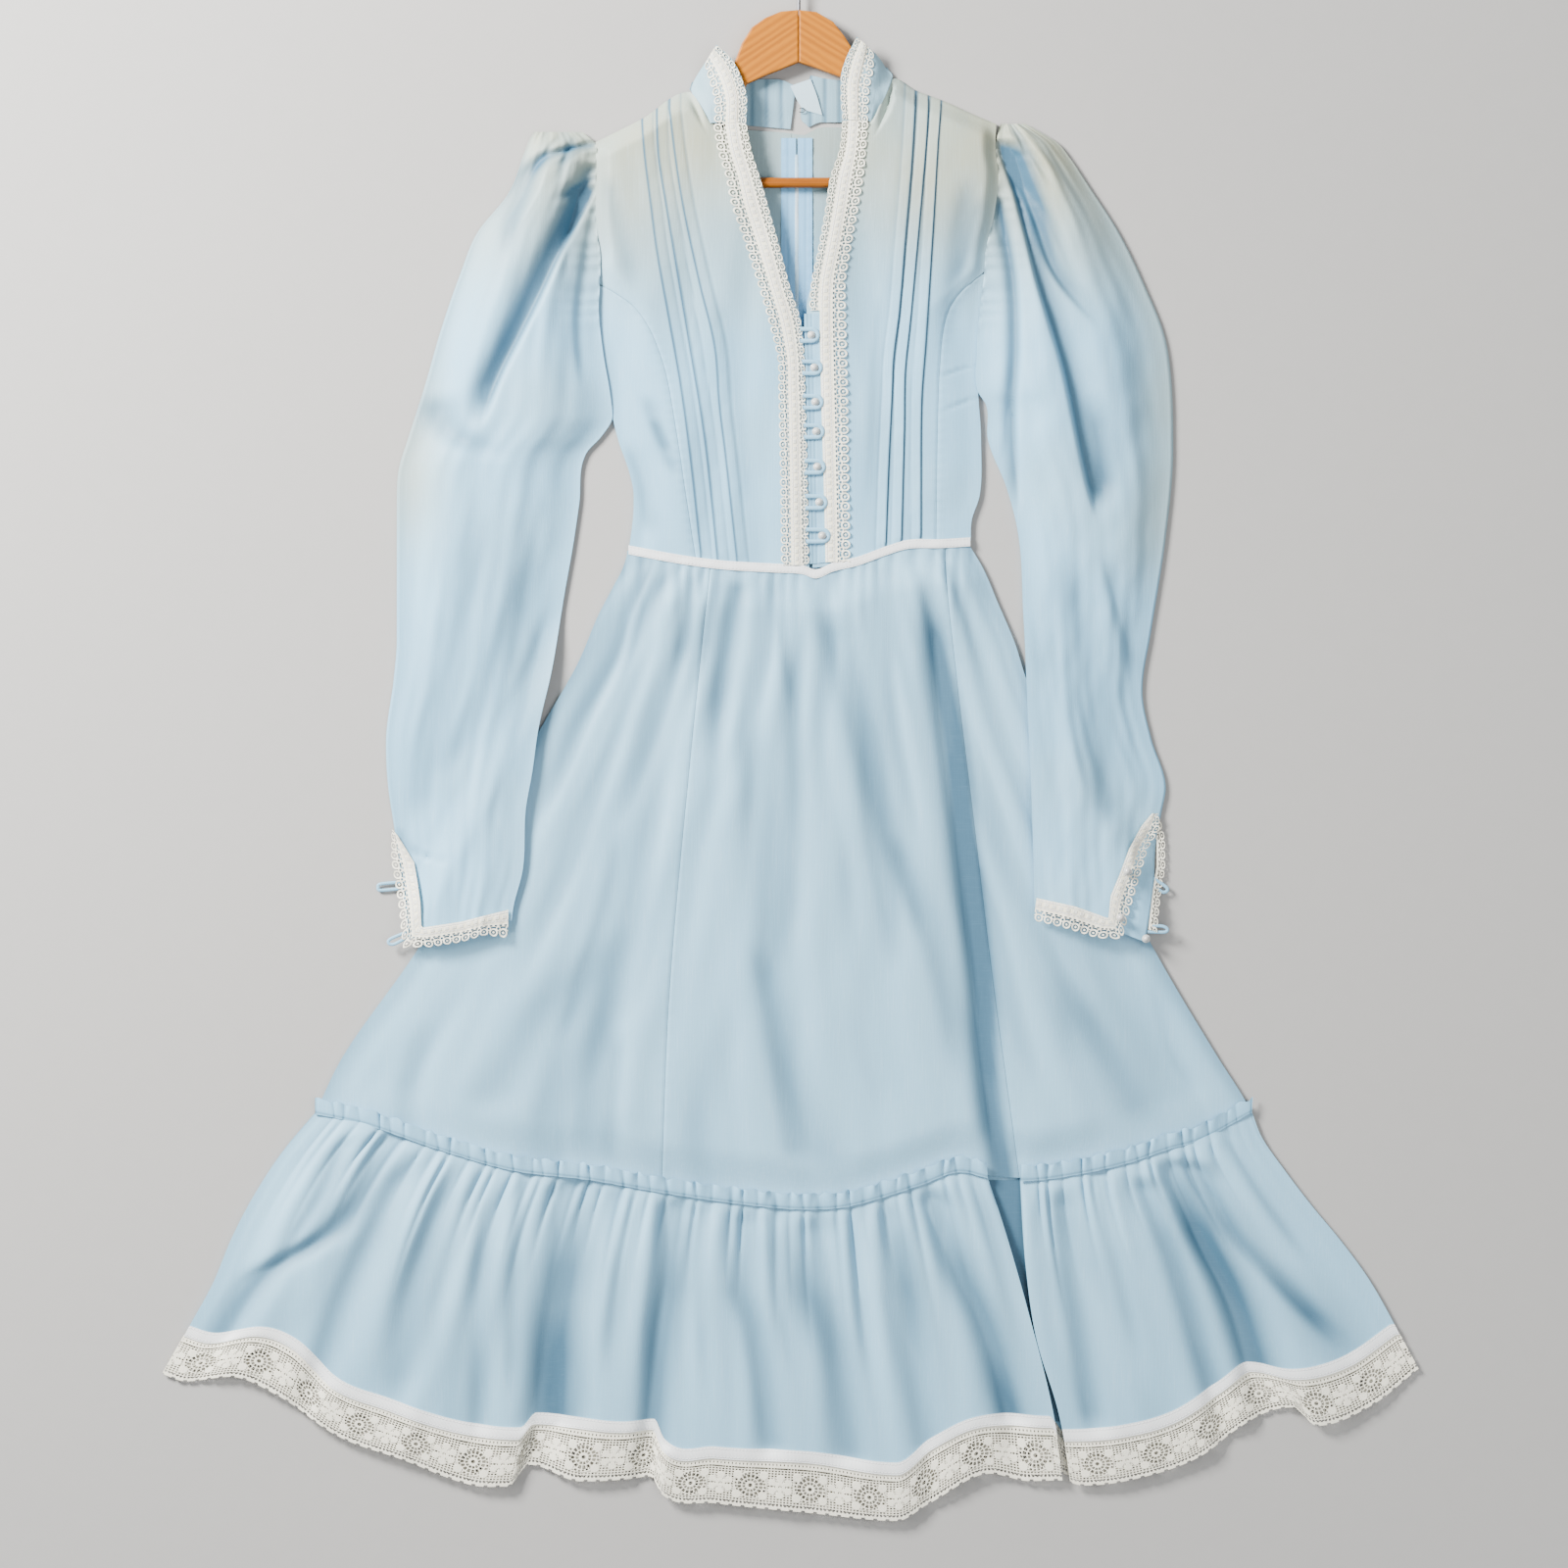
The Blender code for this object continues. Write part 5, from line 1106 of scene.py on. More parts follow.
@dataclass
class Bodice:
    """Fronts with pin tucks, side fronts, backs with the zip, and the ribbon on the waist.

    Attributes:
        tailor: makes the pieces.
        drape: height of the fronts over the hanger, by place down.
        tuck_rise: height of a tuck's fold.
        tuck_wide: width of a tuck in grid steps.
        zip_blue: colour of the zip's tapes.
        armhole_foot: place down where the sleeves let go of the fronts.
        held: share of the drape that is left at the armhole.
        neck_ends: places across where the collar starts.
    """

    tailor: Tailor
    drape: Line = BODICE_DRAPE
    tuck_rise: float = 0.0013
    tuck_wide: float = 10.5
    zip_blue: tuple[float, float, float] = (0.20, 0.47, 0.74)
    armhole_foot: float = 268.0
    held: float = 0.28
    neck_ends: tuple[float, float] = (698.0, 916.0)

    @staticmethod
    def inset(across: Array, down: Array) -> Array:
        """How far inside the armholes and side seams each place is."""
        return np.minimum(across - ARMHOLE_L(down), ARMHOLE_R(down) - across)

    def lift(self, across: Array, down: Array) -> Array:
        """Height of the fronts above where they would lie flat."""
        near = self.inset(across, down)
        low = ease((down - self.armhole_foot) / 60.0)
        held = self.held * (1 - low)
        side = held + (1 - held) * ease(near / (15.0 + 45.0 * low))
        neck = ease((across - self.neck_ends[0]) / 24.0) * ease((self.neck_ends[1] - across) / 24.0)
        shoulder = ease((down - BACK_NECK(across)) / 22.0)
        full = self.drape(down) * side * np.maximum(shoulder, neck)
        above = ease((WAIST(across) - down) / 60.0)
        return above * full + (1 - above) * WAIST_LIFT(across)

    def tucks(self, lines: Sequence[Line], outward: int, across: Array, down: Array) -> Array:
        """Height of the folded tucks, with the groove of their stitching.

        Args:
            lines: the tucks' folds.
            outward: 1 where the sleeve is to the left, -1 where it is to the right.
            across: places across.
            down: places down.

        Returns:
            Height at each place.
        """
        fade = ease((down - BACK_NECK(across)) / 8.0) * ease((WAIST(across) - down - 3) / 8.0)
        rise = np.zeros_like(across)
        for line in lines:
            inward = (across - line(down)) * outward
            on = (inward >= -0.05) & (inward < self.tuck_wide)
            rise = np.where(on, np.maximum(rise, self.tuck_rise * (1 - inward / self.tuck_wide) ** 0.8), rise)
            rise = rise - 0.00035 * dip(inward - self.tuck_wide, 1.1)
            beside = (inward > 0) & (inward < self.tuck_wide)
            rise = rise + np.where(beside, 0.00018 * wander(across * 0.5, down, 14, 31), 0.0)
        return rise * fade

    def top(self, across: Array, down: Array) -> Array:
        """Upper side of the fronts without their tucks."""
        slack = ease((self.inset(across, down) - 2) / 12.0)
        soft = 0.0008 * wander(across, down * 0.35, 52, 3) + 0.0003 * wander(across, down * 0.5, 19, 4)
        return RISE + self.lift(across, down) + slack * (soft - fold_sum(BODICE_FOLDS, across, down))

    def seam(self, line: Line, across: Array, down: Array) -> Array:
        """Puckered dip beside a seam."""
        off = np.abs(across - line(down))
        return -0.0005 * dip(off, 1.8) + 0.00022 * np.sin(down * 0.62) * dip(off, 7.0)

    def shade(self, lattice: Lattice, extra: Value = 0.0) -> tuple[Array, Array]:
        """How much shade is painted on a piece, in its folds and hollows, and how faded it is."""
        # Painted shade in the folds and in the hollows of the soft waves, plus what the caller adds.
        crease = np.clip(fold_sum(BODICE_FOLDS, lattice.across, lattice.down) / 0.003, 0, 1) * 0.7 + extra
        crease = crease + 0.22 * np.clip(-wander(lattice.across, lattice.down * 0.35, 52, 3), 0, 1)
        return np.clip(crease, 0, 1), faded(lattice.across, lattice.down)

    def fronts(self) -> None:
        """The two centre fronts with three tucks each."""
        left: list[tuple[Line, int]] = [(self.outer_left, 22)]
        for tuck in TUCKS_L:
            left += [(moved(tuck, -3.4), 4), (moved(tuck, -0.5), 1), (tuck, 8)]
        left += [(moved(TUCKS_L[2], self.tuck_wide), 14), (TRIM_OUT_L, 12), (TRIM_IN_L, 0)]
        right: list[tuple[Line, int]] = [(TRIM_IN_R, 14), (TRIM_OUT_R, 14), (moved(TUCKS_R[0], -self.tuck_wide), 6)]
        for tuck in TUCKS_R:
            right += [(tuck, 1), (moved(tuck, 0.5), 4), (moved(tuck, 3.4), 8)]
        right[-1] = (right[-1][0], 22)
        right.append((self.outer_right, 0))
        for name, stops, tucks, outward, seam in (
            ("front_left", left, TUCKS_L, 1, PRINCESS_L),
            ("front_right", right, TUCKS_R, -1, PRINCESS_R),
        ):
            lattice = Lattice.between_lines(stops, SHOULDER, moved(WAIST, -0.8), 140)
            rise = self.tucks(tucks, outward, lattice.across, lattice.down)
            height = self.top(lattice.across, lattice.down) + rise
            height += np.where(lattice.down > 292, self.seam(seam, lattice.across, lattice.down), 0.0)
            height += self.rolled(lattice)
            # Painted shade in the crevice beside each tuck's fold and in the groove of its stitching.
            inward = [(lattice.across - line(lattice.down)) * outward for line in tucks]
            step = np.maximum.reduce([dip(off + 0.7, 1.25) * (off < 0.3) for off in inward])
            stitched = np.maximum.reduce([dip(off - self.tuck_wide, 0.9) for off in inward])
            self.tailor.cloth(name, lattice, height, self.shade(lattice, step + 0.4 * stitched), "laid", BACKS, 1.15)

    def rolled(self, lattice: Lattice) -> Array:
        """Roll of the cloth over the shoulder seam."""
        return -0.0012 * dip(lattice.down - SHOULDER(lattice.across), 2.2)

    @staticmethod
    def outer_left(down: Array) -> Array:
        """Armhole, then the left princess seam."""
        return np.where(np.asarray(down) < 291, ARMHOLE_L(down), PRINCESS_L(down))

    @staticmethod
    def outer_right(down: Array) -> Array:
        """Armhole, then the right princess seam."""
        return np.where(np.asarray(down) < 279, ARMHOLE_R(down), PRINCESS_R(down))

    def sides(self) -> None:
        """The side fronts between the princess seams and the side seams."""
        for name, first, second, start in (
            ("side_front_left", ARMHOLE_L, PRINCESS_L, 292.0),
            ("side_front_right", PRINCESS_R, ARMHOLE_R, 280.0),
        ):
            lattice = Lattice.between_lines([(first, 26), (second, 0)], level(start), moved(WAIST, -0.8), 110)
            seam = PRINCESS_L if first is ARMHOLE_L else PRINCESS_R
            height = self.top(lattice.across, lattice.down) + self.seam(seam, lattice.across, lattice.down)
            self.tailor.cloth(name, lattice, height, self.shade(lattice), "laid", BACKS)

    def backs(self) -> None:
        """The two backs on the surface, the zip between them and its stitching."""
        for name, stops in (
            ("back_left", [(moved(ARMHOLE_L, 2), 30), (BACK_CENTRE, 0)]),
            ("back_right", [(BACK_CENTRE, 30), (moved(ARMHOLE_R, -2), 0)]),
        ):
            lattice = Lattice.between_lines(stops, moved(BACK_NECK, 1), moved(BACK_WAIST, -1), 80)
            height = WALL + 0.00035 * (1 + wander(lattice.across, lattice.down * 0.4, 40, 8)) * ease(
                (lattice.down - BACK_NECK(lattice.across) - 2) / 12.0) * (
                1 - np.exp(-(((lattice.across - ZIP_CENTRE) / 18.0) ** 4)))
            # Even painted shade over the backs, which lie in shadow inside the neck and under the fronts.
            shade = (0.24, faded(lattice.across, lattice.down) * 0.8)
            self.tailor.cloth(name, lattice, height, shade, "laid", (), leaf=WALL)
        for name, first, second in (("zip_tape_left", -16.0, -0.8), ("zip_tape_right", 0.8, 16.0)):
            stops = [(level(ZIP_CENTRE + first), 12), (level(ZIP_CENTRE + second), 0)]
            lattice = Lattice.between_lines(stops, level(141.0), level(480.0), 100)
            toward = np.abs(lattice.across - ZIP_CENTRE)
            height = 0.0027 + 0.0002 * np.sin(lattice.down * 0.5) * ease((toward - 8) / 6)
            height = height - 0.0003 * dip(toward - 9, 0.9) + 0.0004 * dip(lattice.down - 150, 7.0)
            # Painted shade along the tapes beside the teeth.
            shade = (0.25 * dip(toward - 9, 1.2), 0.0)
            self.tailor.cloth(name, lattice, height, shade, "laid", BACKS, leaf=0.0008,
                              finish=CottonFinish(self.zip_blue), nodes=["back_zip"])
        stops = [(level(ZIP_CENTRE - 2), 4), (level(ZIP_CENTRE + 2), 0)]
        lattice = Lattice.between_lines(stops, level(158.0), level(478.0), 700)
        turn = np.sign(lattice.across - ZIP_CENTRE) * 0.5
        teeth = np.abs(np.sin((lattice.down + turn) * 3.4))
        height = 0.0026 + 0.0008 * teeth * dip(lattice.across - ZIP_CENTRE, 1.7)
        piece = self.tailor.shell("zip_teeth", lattice, height, SatinFinish((0.40, 0.60, 0.74)), COTTON, (),
                                  RIBBON_LEAF, {"lay": lattice.lay() * np.array([0.0, 1.0])})
        self.tailor.declare(piece, "laid", ["back_zip"], 1.0, 0.30)

    def ribbon(self) -> None:
        """Satin ribbon over the waist seam, with a point at the middle."""
        marks = np.linspace(641.5, 990.0, 260)
        edges = [np.stack([marks, RIBBON_LINE(marks) + offset], axis=1) for offset in (-4.6, 4.6)]
        lattice = Lattice.along_path(edges[0], edges[1], 260, 9)
        height = RISE + WAIST_LIFT(lattice.across) + 0.0009 + 0.0005 * crown(9)
        height = height + 0.00025 * wander(lattice.across, lattice.down, 16, 12)
        self.tailor.strip("waist_ribbon", lattice, height, SatinFinish(), ["waist_ribbon"], "laid", FRONTS, 1.0)

    def build(self) -> None:
        """Makes every piece of the bodice."""
        self.backs()
        self.fronts()
        self.sides()
        self.ribbon()


@dataclass
class Skirt:
    """Three front gores with their folds, and the flat back.

    Attributes:
        tailor: makes the pieces.
        full: height of the cloth away from its edges.
        pleat_across: where the ruffle's deep pleat meets the skirt.
        least: height to which its folds sink.
    """

    tailor: Tailor
    full: float = 0.0100
    pleat_across: float = 1026.0
    least: float = 0.0012

    def heading_lift(self, across: Array) -> Array:
        """Height of the ruffle's gathers, lower towards the side seams."""
        return 0.0048 * ease(np.minimum(across - GATHER_ENDS[0], GATHER_ENDS[1] - across) / 100.0)

    @staticmethod
    def inset(across: Array, down: Array) -> Array:
        """How far inside the side seams each place is."""
        return np.minimum(across - SKIRT_L(down), SKIRT_R(down) - across)

    @staticmethod
    def gathers(across: Array) -> Array:
        """Uneven gathers at the waist, from -1 in their hollows to 1 on their crests."""
        return np.sin(across * 0.39 + 2.1 * np.sin(across * 0.071))

    def top(self, across: Array, down: Array) -> Array:
        """Upper side of the front gores."""
        edge = self.inset(across, down)
        shape = self.full * ease(edge / (30.0 + 190.0 * ease((down - 560) / 250.0)))
        shape = shape - fold_sum(SKIRT_FOLDS, across, down)
        loose = ease(edge / 40.0)
        shape = shape + loose * self.ripple(across, down)
        shape = settled(shape, self.least)
        shape = shape * ease(edge / 8.0)
        below = down - WAIST(across)
        waist = ease((below - 6) / 40.0)
        foot = ease((GATHER_LINE(across) - 15.0 - down) / 40.0)
        pleat = 1 - 0.8 * np.exp(-(((across - self.pleat_across) / 17.0) ** 4))
        hem = self.heading_lift(across) * pleat
        height = (1 - waist) * WAIST_LIFT(across) + waist * (foot * shape + (1 - foot) * hem)
        pulled = 0.0010 * self.gathers(across) * np.exp(-np.maximum(below, 0) / 30.0)
        return RISE + height + pulled * ease((below - 3) / 8.0) * loose

    def ripple(self, across: Array, down: Array) -> Array:
        """Small folds that fan out with the skirt."""
        fan = 620.0 * (across - SKIRT_L(down)) / (SKIRT_R(down) - SKIRT_L(down))
        return 0.0016 * wander(fan, down * 0.10, 40, 21) + 0.0006 * wander(fan, down * 0.14, 19, 22)

    def seam(self, line: Line, across: Array, down: Array) -> Array:
        """Dip and slight pucker of a gore seam."""
        off = np.abs(across - line(down))
        return -0.0006 * dip(off, 1.6) + 0.00012 * np.sin(down * 0.35) * dip(off, 6.0)

    def gores(self) -> None:
        """The three front gores."""
        for name, stops in (
            ("skirt_gore_left", [(SKIRT_L, 82), (moved(GORE_L, -6), 5), (GORE_L, 0)]),
            ("skirt_gore_centre", [(GORE_L, 5), (moved(GORE_L, 6), 74), (moved(GORE_R, -6), 5), (GORE_R, 0)]),
            ("skirt_gore_right", [(GORE_R, 5), (moved(GORE_R, 6), 60), (SKIRT_R, 0)]),
        ):
            lattice = Lattice.between_lines(stops, moved(WAIST, 0.8), moved(GATHER_LINE, -1.5), 150)
            height = self.top(lattice.across, lattice.down)
            height += self.seam(GORE_L, lattice.across, lattice.down) + self.seam(GORE_R, lattice.across, lattice.down)
            folds = fold_sum(SKIRT_FOLDS, lattice.across, lattice.down)
            edge = self.inset(lattice.across, lattice.down)
            # Painted shade in the folds, along the side edges and in the hollows of the small folds and waist gathers.
            crease = np.clip(folds / 0.0095, 0, 1) * 0.95 + 0.30 * (1 - ease(edge / 26.0))
            crease += 0.36 * np.clip(-self.ripple(lattice.across, lattice.down) / 0.0016, 0, 1)
            hollow = np.clip(-self.gathers(lattice.across), 0, 1)
            crease += 0.45 * hollow * np.exp(-(lattice.down - WAIST(lattice.across)) / 24.0)
            self.tailor.cloth(name, lattice, height, (np.clip(crease, 0, 1), 0.10), "laid", ["skirt_back"], 1.05)

    def back(self) -> None:
        """The back of the skirt, flat on the surface."""
        lattice = Lattice.between_lines([(moved(SKIRT_L, 2), 60), (moved(SKIRT_R, -2), 0)], moved(BACK_WAIST, 1),
                                        moved(BACK_GATHER, -1), 50)
        # Even painted shade over the back, which lies under the front gores.
        self.tailor.cloth("skirt_back", lattice, np.full_like(lattice.across, WALL), (0.3, 0.0), "laid", (),
                          leaf=WALL)

    def build(self) -> None:
        """Makes the gores and the back."""
        self.back()
        self.gores()


@dataclass
class Stretch:
    """One stretch of the front ruffle, from one side seam or pleat to the next.

    Attributes:
        name: left or right.
        first: its first edge, and the places down at its top and foot.
        last: its other edge.
        lace_ends: places across of the lace's foot at its two ends.
        gathers: number of gathers.
        open_side: which side is a side seam.
    """

    name: str
    first: tuple[Line, float, float]
    last: tuple[Line, float, float]
    lace_ends: tuple[float, float]
    gathers: int
    open_side: Side

    def lattice(self, falls: Array, shares: Array) -> Lattice:
        """Places for shares of the fall and of the width."""
        edges = []
        for fall in (0.0, falls[:, None], 1.0):
            ends = [line(start + (foot - start) * fall) for line, start, foot in (self.first, self.last)]
            edges.append((1 - shares) * ends[0] + shares * ends[1])
        start, foot = GATHER_LINE(edges[0]), HEM(edges[2])
        down = start + (foot - start) * falls[:, None]
        return Lattice(edges[1] + 0 * down, down)

    def edge(self, shares: Array) -> Array:
        """How full the ruffle is towards its two ends."""
        span = self.gathers * 16.0
        near = shares if self.open_side is Side.LEFT else 1 - shares
        return ease(near * span / 60.0) * (0.75 + 0.25 * ease((1 - near) * span / 30.0))


@dataclass
class Ruffle:
    """Gathered ruffle with its heading, hem ribbon and lace, at the front and flat at the back.

    Attributes:
        tailor: makes the pieces.
        skirt: carries the heading.
        gather_depth: height of a gather to each side.
        heading_tall: height of the heading in grid steps.
        gather_wide: width of a gather's cloth in grid steps.
        least: height to which its folds sink.
        stretches: the front's two stretches, beside the deep pleat.
    """

    tailor: Tailor
    skirt: Skirt
    gather_depth: float = 0.0019
    heading_tall: float = 14.0
    gather_wide: float = 17.0
    least: float = 0.0016
    stretches: tuple[Stretch, ...] = field(default_factory=lambda: (
        Stretch("left", (RUFFLE_L, 1135, 1362), (PLEAT_L, 1200, 1457), (164.5, 1084), 44, Side.LEFT),
        Stretch("right", (PLEAT_R, 1203, 1469), (RUFFLE_R, 1134, 1361), (1092, 1448), 16, Side.RIGHT),
    ))

    def pinch(self, stretch: Stretch, shares: Array, seed: int) -> Array:
        """Gathers across a stretch, from -1 in their narrow hollows to 1 on their crests."""
        turn = stretch.gathers * shares + 0.17 * np.sin(shares * stretch.gathers * 1.9 + seed)
        turn = turn + 0.10 * np.sin(shares * stretch.gathers * 4.3 + 2 * seed)
        strong = 0.72 + 0.28 * np.sin(shares * stretch.gathers * 2.7 + seed)
        return (2 * np.abs(np.sin(math.pi * turn)) ** 0.7 - 1) * strong

    def waves(self, stretch: Stretch, fall: Array, shares: Array) -> Array:
        """Soft waves that fan out with the ruffle."""
        flare = shares * stretch.gathers * self.gather_wide
        return wander(flare + 0 * fall, fall * 60.0, 46, 50)

    def lift(self, stretch: Stretch, falls: Array, shares: Array, lattice: Lattice) -> Array:
        """Height of the ruffle: its swell less its folds, with the gathers near the top.

        Args:
            stretch: the stretch.
            falls: share of the fall of each row.
            shares: share of the width of each column.
            lattice: its places.

        Returns:
            Height at each place.
        """
        fall = falls[:, None]
        dice = np.random.default_rng(40 + stretch.gathers)
        knots = np.linspace(0, 1, stretch.gathers + 1)
        long = np.interp(shares, knots, dice.uniform(0.22, 0.78, stretch.gathers + 1))
        fullness = stretch.edge(shares)
        swell = RUFFLE_SWELL(fall) * fullness - fold_sum(RUFFLE_FOLDS, lattice.across, lattice.down)
        swell = settled(swell, self.least)
        zig = 1.3 * self.gather_depth * self.pinch(stretch, shares, 3) * (1 - ease(fall / long)) ** 1.3
        wide = stretch.gathers / 2.4
        mid = 0.0016 * np.sin(2 * math.pi * wide * shares + 2.2 * np.sin(shares * wide * 1.3)) * ease(
            fall / 0.15) * (1 - ease((fall - 0.45) / 0.5))
        flare = shares * stretch.gathers * self.gather_wide
        fine = (0.0012 * self.waves(stretch, fall, shares)
                + 0.0005 * wander(flare + 0 * fall, fall * 40.0, 20, 51)) * ease(fall / 0.25)
        zig = zig * (1 - 0.75 * ease((0.05 - fall) / 0.05))
        return np.maximum(swell * ease(fullness / 0.1) + (zig + mid + fine) * fullness, 0.0)

    def front(self, stretch: Stretch) -> None:
        """One stretch with its ribbon, heading and lace."""
        shares = np.linspace(0, 1, stretch.gathers * 9 + 1)
        falls = np.concatenate([np.linspace(0, 0.94, 62), np.linspace(0.955, 1, 4)])
        lattice = stretch.lattice(falls, shares)
        lift = self.lift(stretch, falls, shares, lattice)
        folds = fold_sum(RUFFLE_FOLDS, lattice.across, lattice.down)
        zig = self.pinch(stretch, shares, 3) * (1 - ease(falls[:, None] / 0.4))
        # Painted shade in the folds and in the hollows of the gathers and soft waves.
        crease = np.clip(folds / 0.0078, 0, 1) * (0.25 + 0.55 * ease(falls[:, None] / 0.4))
        crease += 0.75 * np.clip(-zig, 0, 1) ** 1.5
        hollow = np.clip(-self.waves(stretch, falls[:, None], shares), 0, 1)
        crease += 0.30 * hollow * ease(falls[:, None] / 0.2)
        self.tailor.cloth("ruffle_" + stretch.name, lattice, RISE + lift, (np.clip(crease, 0, 1), 0.08), "gathered",
                          ["ruffle_back"], 1.3)
        self.ribbon(stretch, shares)
        self.heading(stretch)
        self.lace(stretch)

    def ribbon(self, stretch: Stretch, shares: Array) -> None:
        """Satin ribbon over the hem, in short lengths that follow the waves."""
        falls = np.linspace(0.955, 1.002, 6)
        lattice = stretch.lattice(falls, shares)
        lift = self.lift(stretch, falls, shares, lattice)
        name = "hem_ribbon_" + stretch.name
        self.tailor.strip(name, lattice, RISE + lift + 0.0006 + 0.0004 * crown(6), SatinFinish(), [name], "gathered",
                          ["ruffle_" + stretch.name], 1.1)

    def heading(self, stretch: Stretch) -> None:
        """Ruched frill that stands above the gathers."""
        shares = np.linspace(0, 1, stretch.gathers * 12 + 1)
        gathers = stretch.lattice(np.array([0.0]), shares)
        rise = np.linspace(-0.14, 1.0, 9)[:, None]
        ruche = self.pinch(stretch, shares, 3)
        curl = self.pinch(stretch, shares, 9)
        ragged = 1.3 * np.sin(shares * stretch.gathers * 5.1) + 0.9 * np.sin(shares * stretch.gathers * 8.3 + 1)
        lean = 1.6 * np.sin(shares * stretch.gathers * 3.7) * rise
        down = gathers.down - 0.6 - (self.heading_tall + 0.8 * ragged) * rise
        lattice = Lattice(gathers.across + lean, down)
        fullness = stretch.edge(shares) * 0.7 + 0.3
        height = RISE + 0.0022 + self.skirt.heading_lift(gathers.across)
        swing = 0.35 + 0.65 * rise
        height = height + fullness * (self.gather_depth * (0.8 * ruche * swing + 0.5 * curl * rise ** 2)
                                      + 0.0004 * np.sin(np.clip(rise, 0, 1) * math.pi) + 0.0010 * rise)
        # Painted shade in the hollows of the ruche and curls and along the heading's foot.
        crease = 0.95 * np.clip(-ruche, 0, 1) * (1 - 0.35 * rise) + 0.55 * dip(rise, 0.10)
        crease = crease + 0.3 * np.clip(-curl, 0, 1) * np.clip(rise, 0, 1)
        self.tailor.cloth("ruffle_heading_" + stretch.name, lattice, height, (np.clip(crease, 0, 1), 0.0), "gathered",
                          ["skirt_gore_centre"], 1.3, length=lattice.length())

    def lace(self, stretch: Stretch) -> None:
        """Deep lace below the hem, which follows the hem's waves."""
        shares = np.linspace(0, 1, stretch.gathers * 9 + 1)
        hem = stretch.lattice(np.array([1.0]), shares)
        lift = self.lift(stretch, np.array([1.0]), shares, hem)
        depth = np.linspace(0.0, 1.0, 14)[:, None]
        foot = (1 - shares) * stretch.lace_ends[0] + shares * stretch.lace_ends[1]
        across = hem.across + (foot - hem.across) * depth
        down = hem.down - 1.0 + (LACE_EDGE(foot) - hem.down + 1.0) * depth
        lattice = Lattice(across, down)
        loose = 0.0006 * wander(across, down * 0.4, 30, 71) * depth
        height = 0.0018 + 0.0008 + lift * (1 - 0.45 * depth) + loose + 0.0004
        name = "hem_lace_" + stretch.name
        self.tailor.strip(name, lattice, height, LaceFinish(LaceKind.FLOWERS), [name], "gathered",
                          ["hem_lace_back"], 1.1)

    def back(self) -> None:
        """Back ruffle and its lace, flat on the surface, and the pleat's hidden fold."""
        shares, falls = np.linspace(0, 1, 160), np.linspace(0, 1, 16)[:, None]
        left, right = RUFFLE_L(1137 + 225 * falls) + 3, RUFFLE_R(1137 + 224 * falls) - 3
        top, foot = BACK_GATHER(325 + 948 * shares) + 1, HEM(189 + 1232 * shares) - 6
        lattice = Lattice((1 - shares) * left + shares * right, top + (foot - top) * falls)
        # Even painted shade over the back ruffle.
        self.tailor.cloth("ruffle_back", lattice, WALL + 0 * lattice.across, (0.35, 0.0), "laid", (), 1.3, WALL)
        depth = np.linspace(0, 1, 12)[:, None]
        foot_across = 167 + 1278 * shares
        across = lattice.across[-1] + (foot_across - lattice.across[-1]) * depth
        start = lattice.down[-1] + 0.4
        lace = Lattice(across, start + (LACE_EDGE(foot_across) - 6 - start) * depth)
        lay = lace.lay() * np.array([1.0, 0.93]) + np.array([0.019, 0.07])
        # The back lace's thread is painted dark grey: painted shade, as it is seen through the front lace and lies in
        # its shadow.
        piece = self.tailor.shell("hem_lace_back", lace, 0.0010 + 0 * lace.across,
                                  LaceFinish(LaceKind.FLOWERS, (0.40, 0.38, 0.31)), LACE, ["hem_lace_back"],
                                  0.0006, {"lay": lay})
        self.tailor.declare(piece, "laid", [], 1.2, lace.length())
        downs = np.linspace(1204, 1450, 60)
        edges = [np.stack([line(downs) + offset, downs], axis=1) for line, offset in ((PLEAT_L, -12), (PLEAT_R, 12))]
        pleat = Lattice.along_path(edges[0], edges[1], 60, 12)
        # The pleat's hidden fold is painted fully dark: painted shade inside the pleat.
        self.tailor.cloth("ruffle_pleat", pleat, 0.0026 + 0 * pleat.across, (1.0, 0.0), "folded", ["ruffle_back"],
                          leaf=0.0005)

    def build(self) -> None:
        """Makes the whole ruffle."""
        self.back()
        for stretch in self.stretches:
            self.front(stretch)


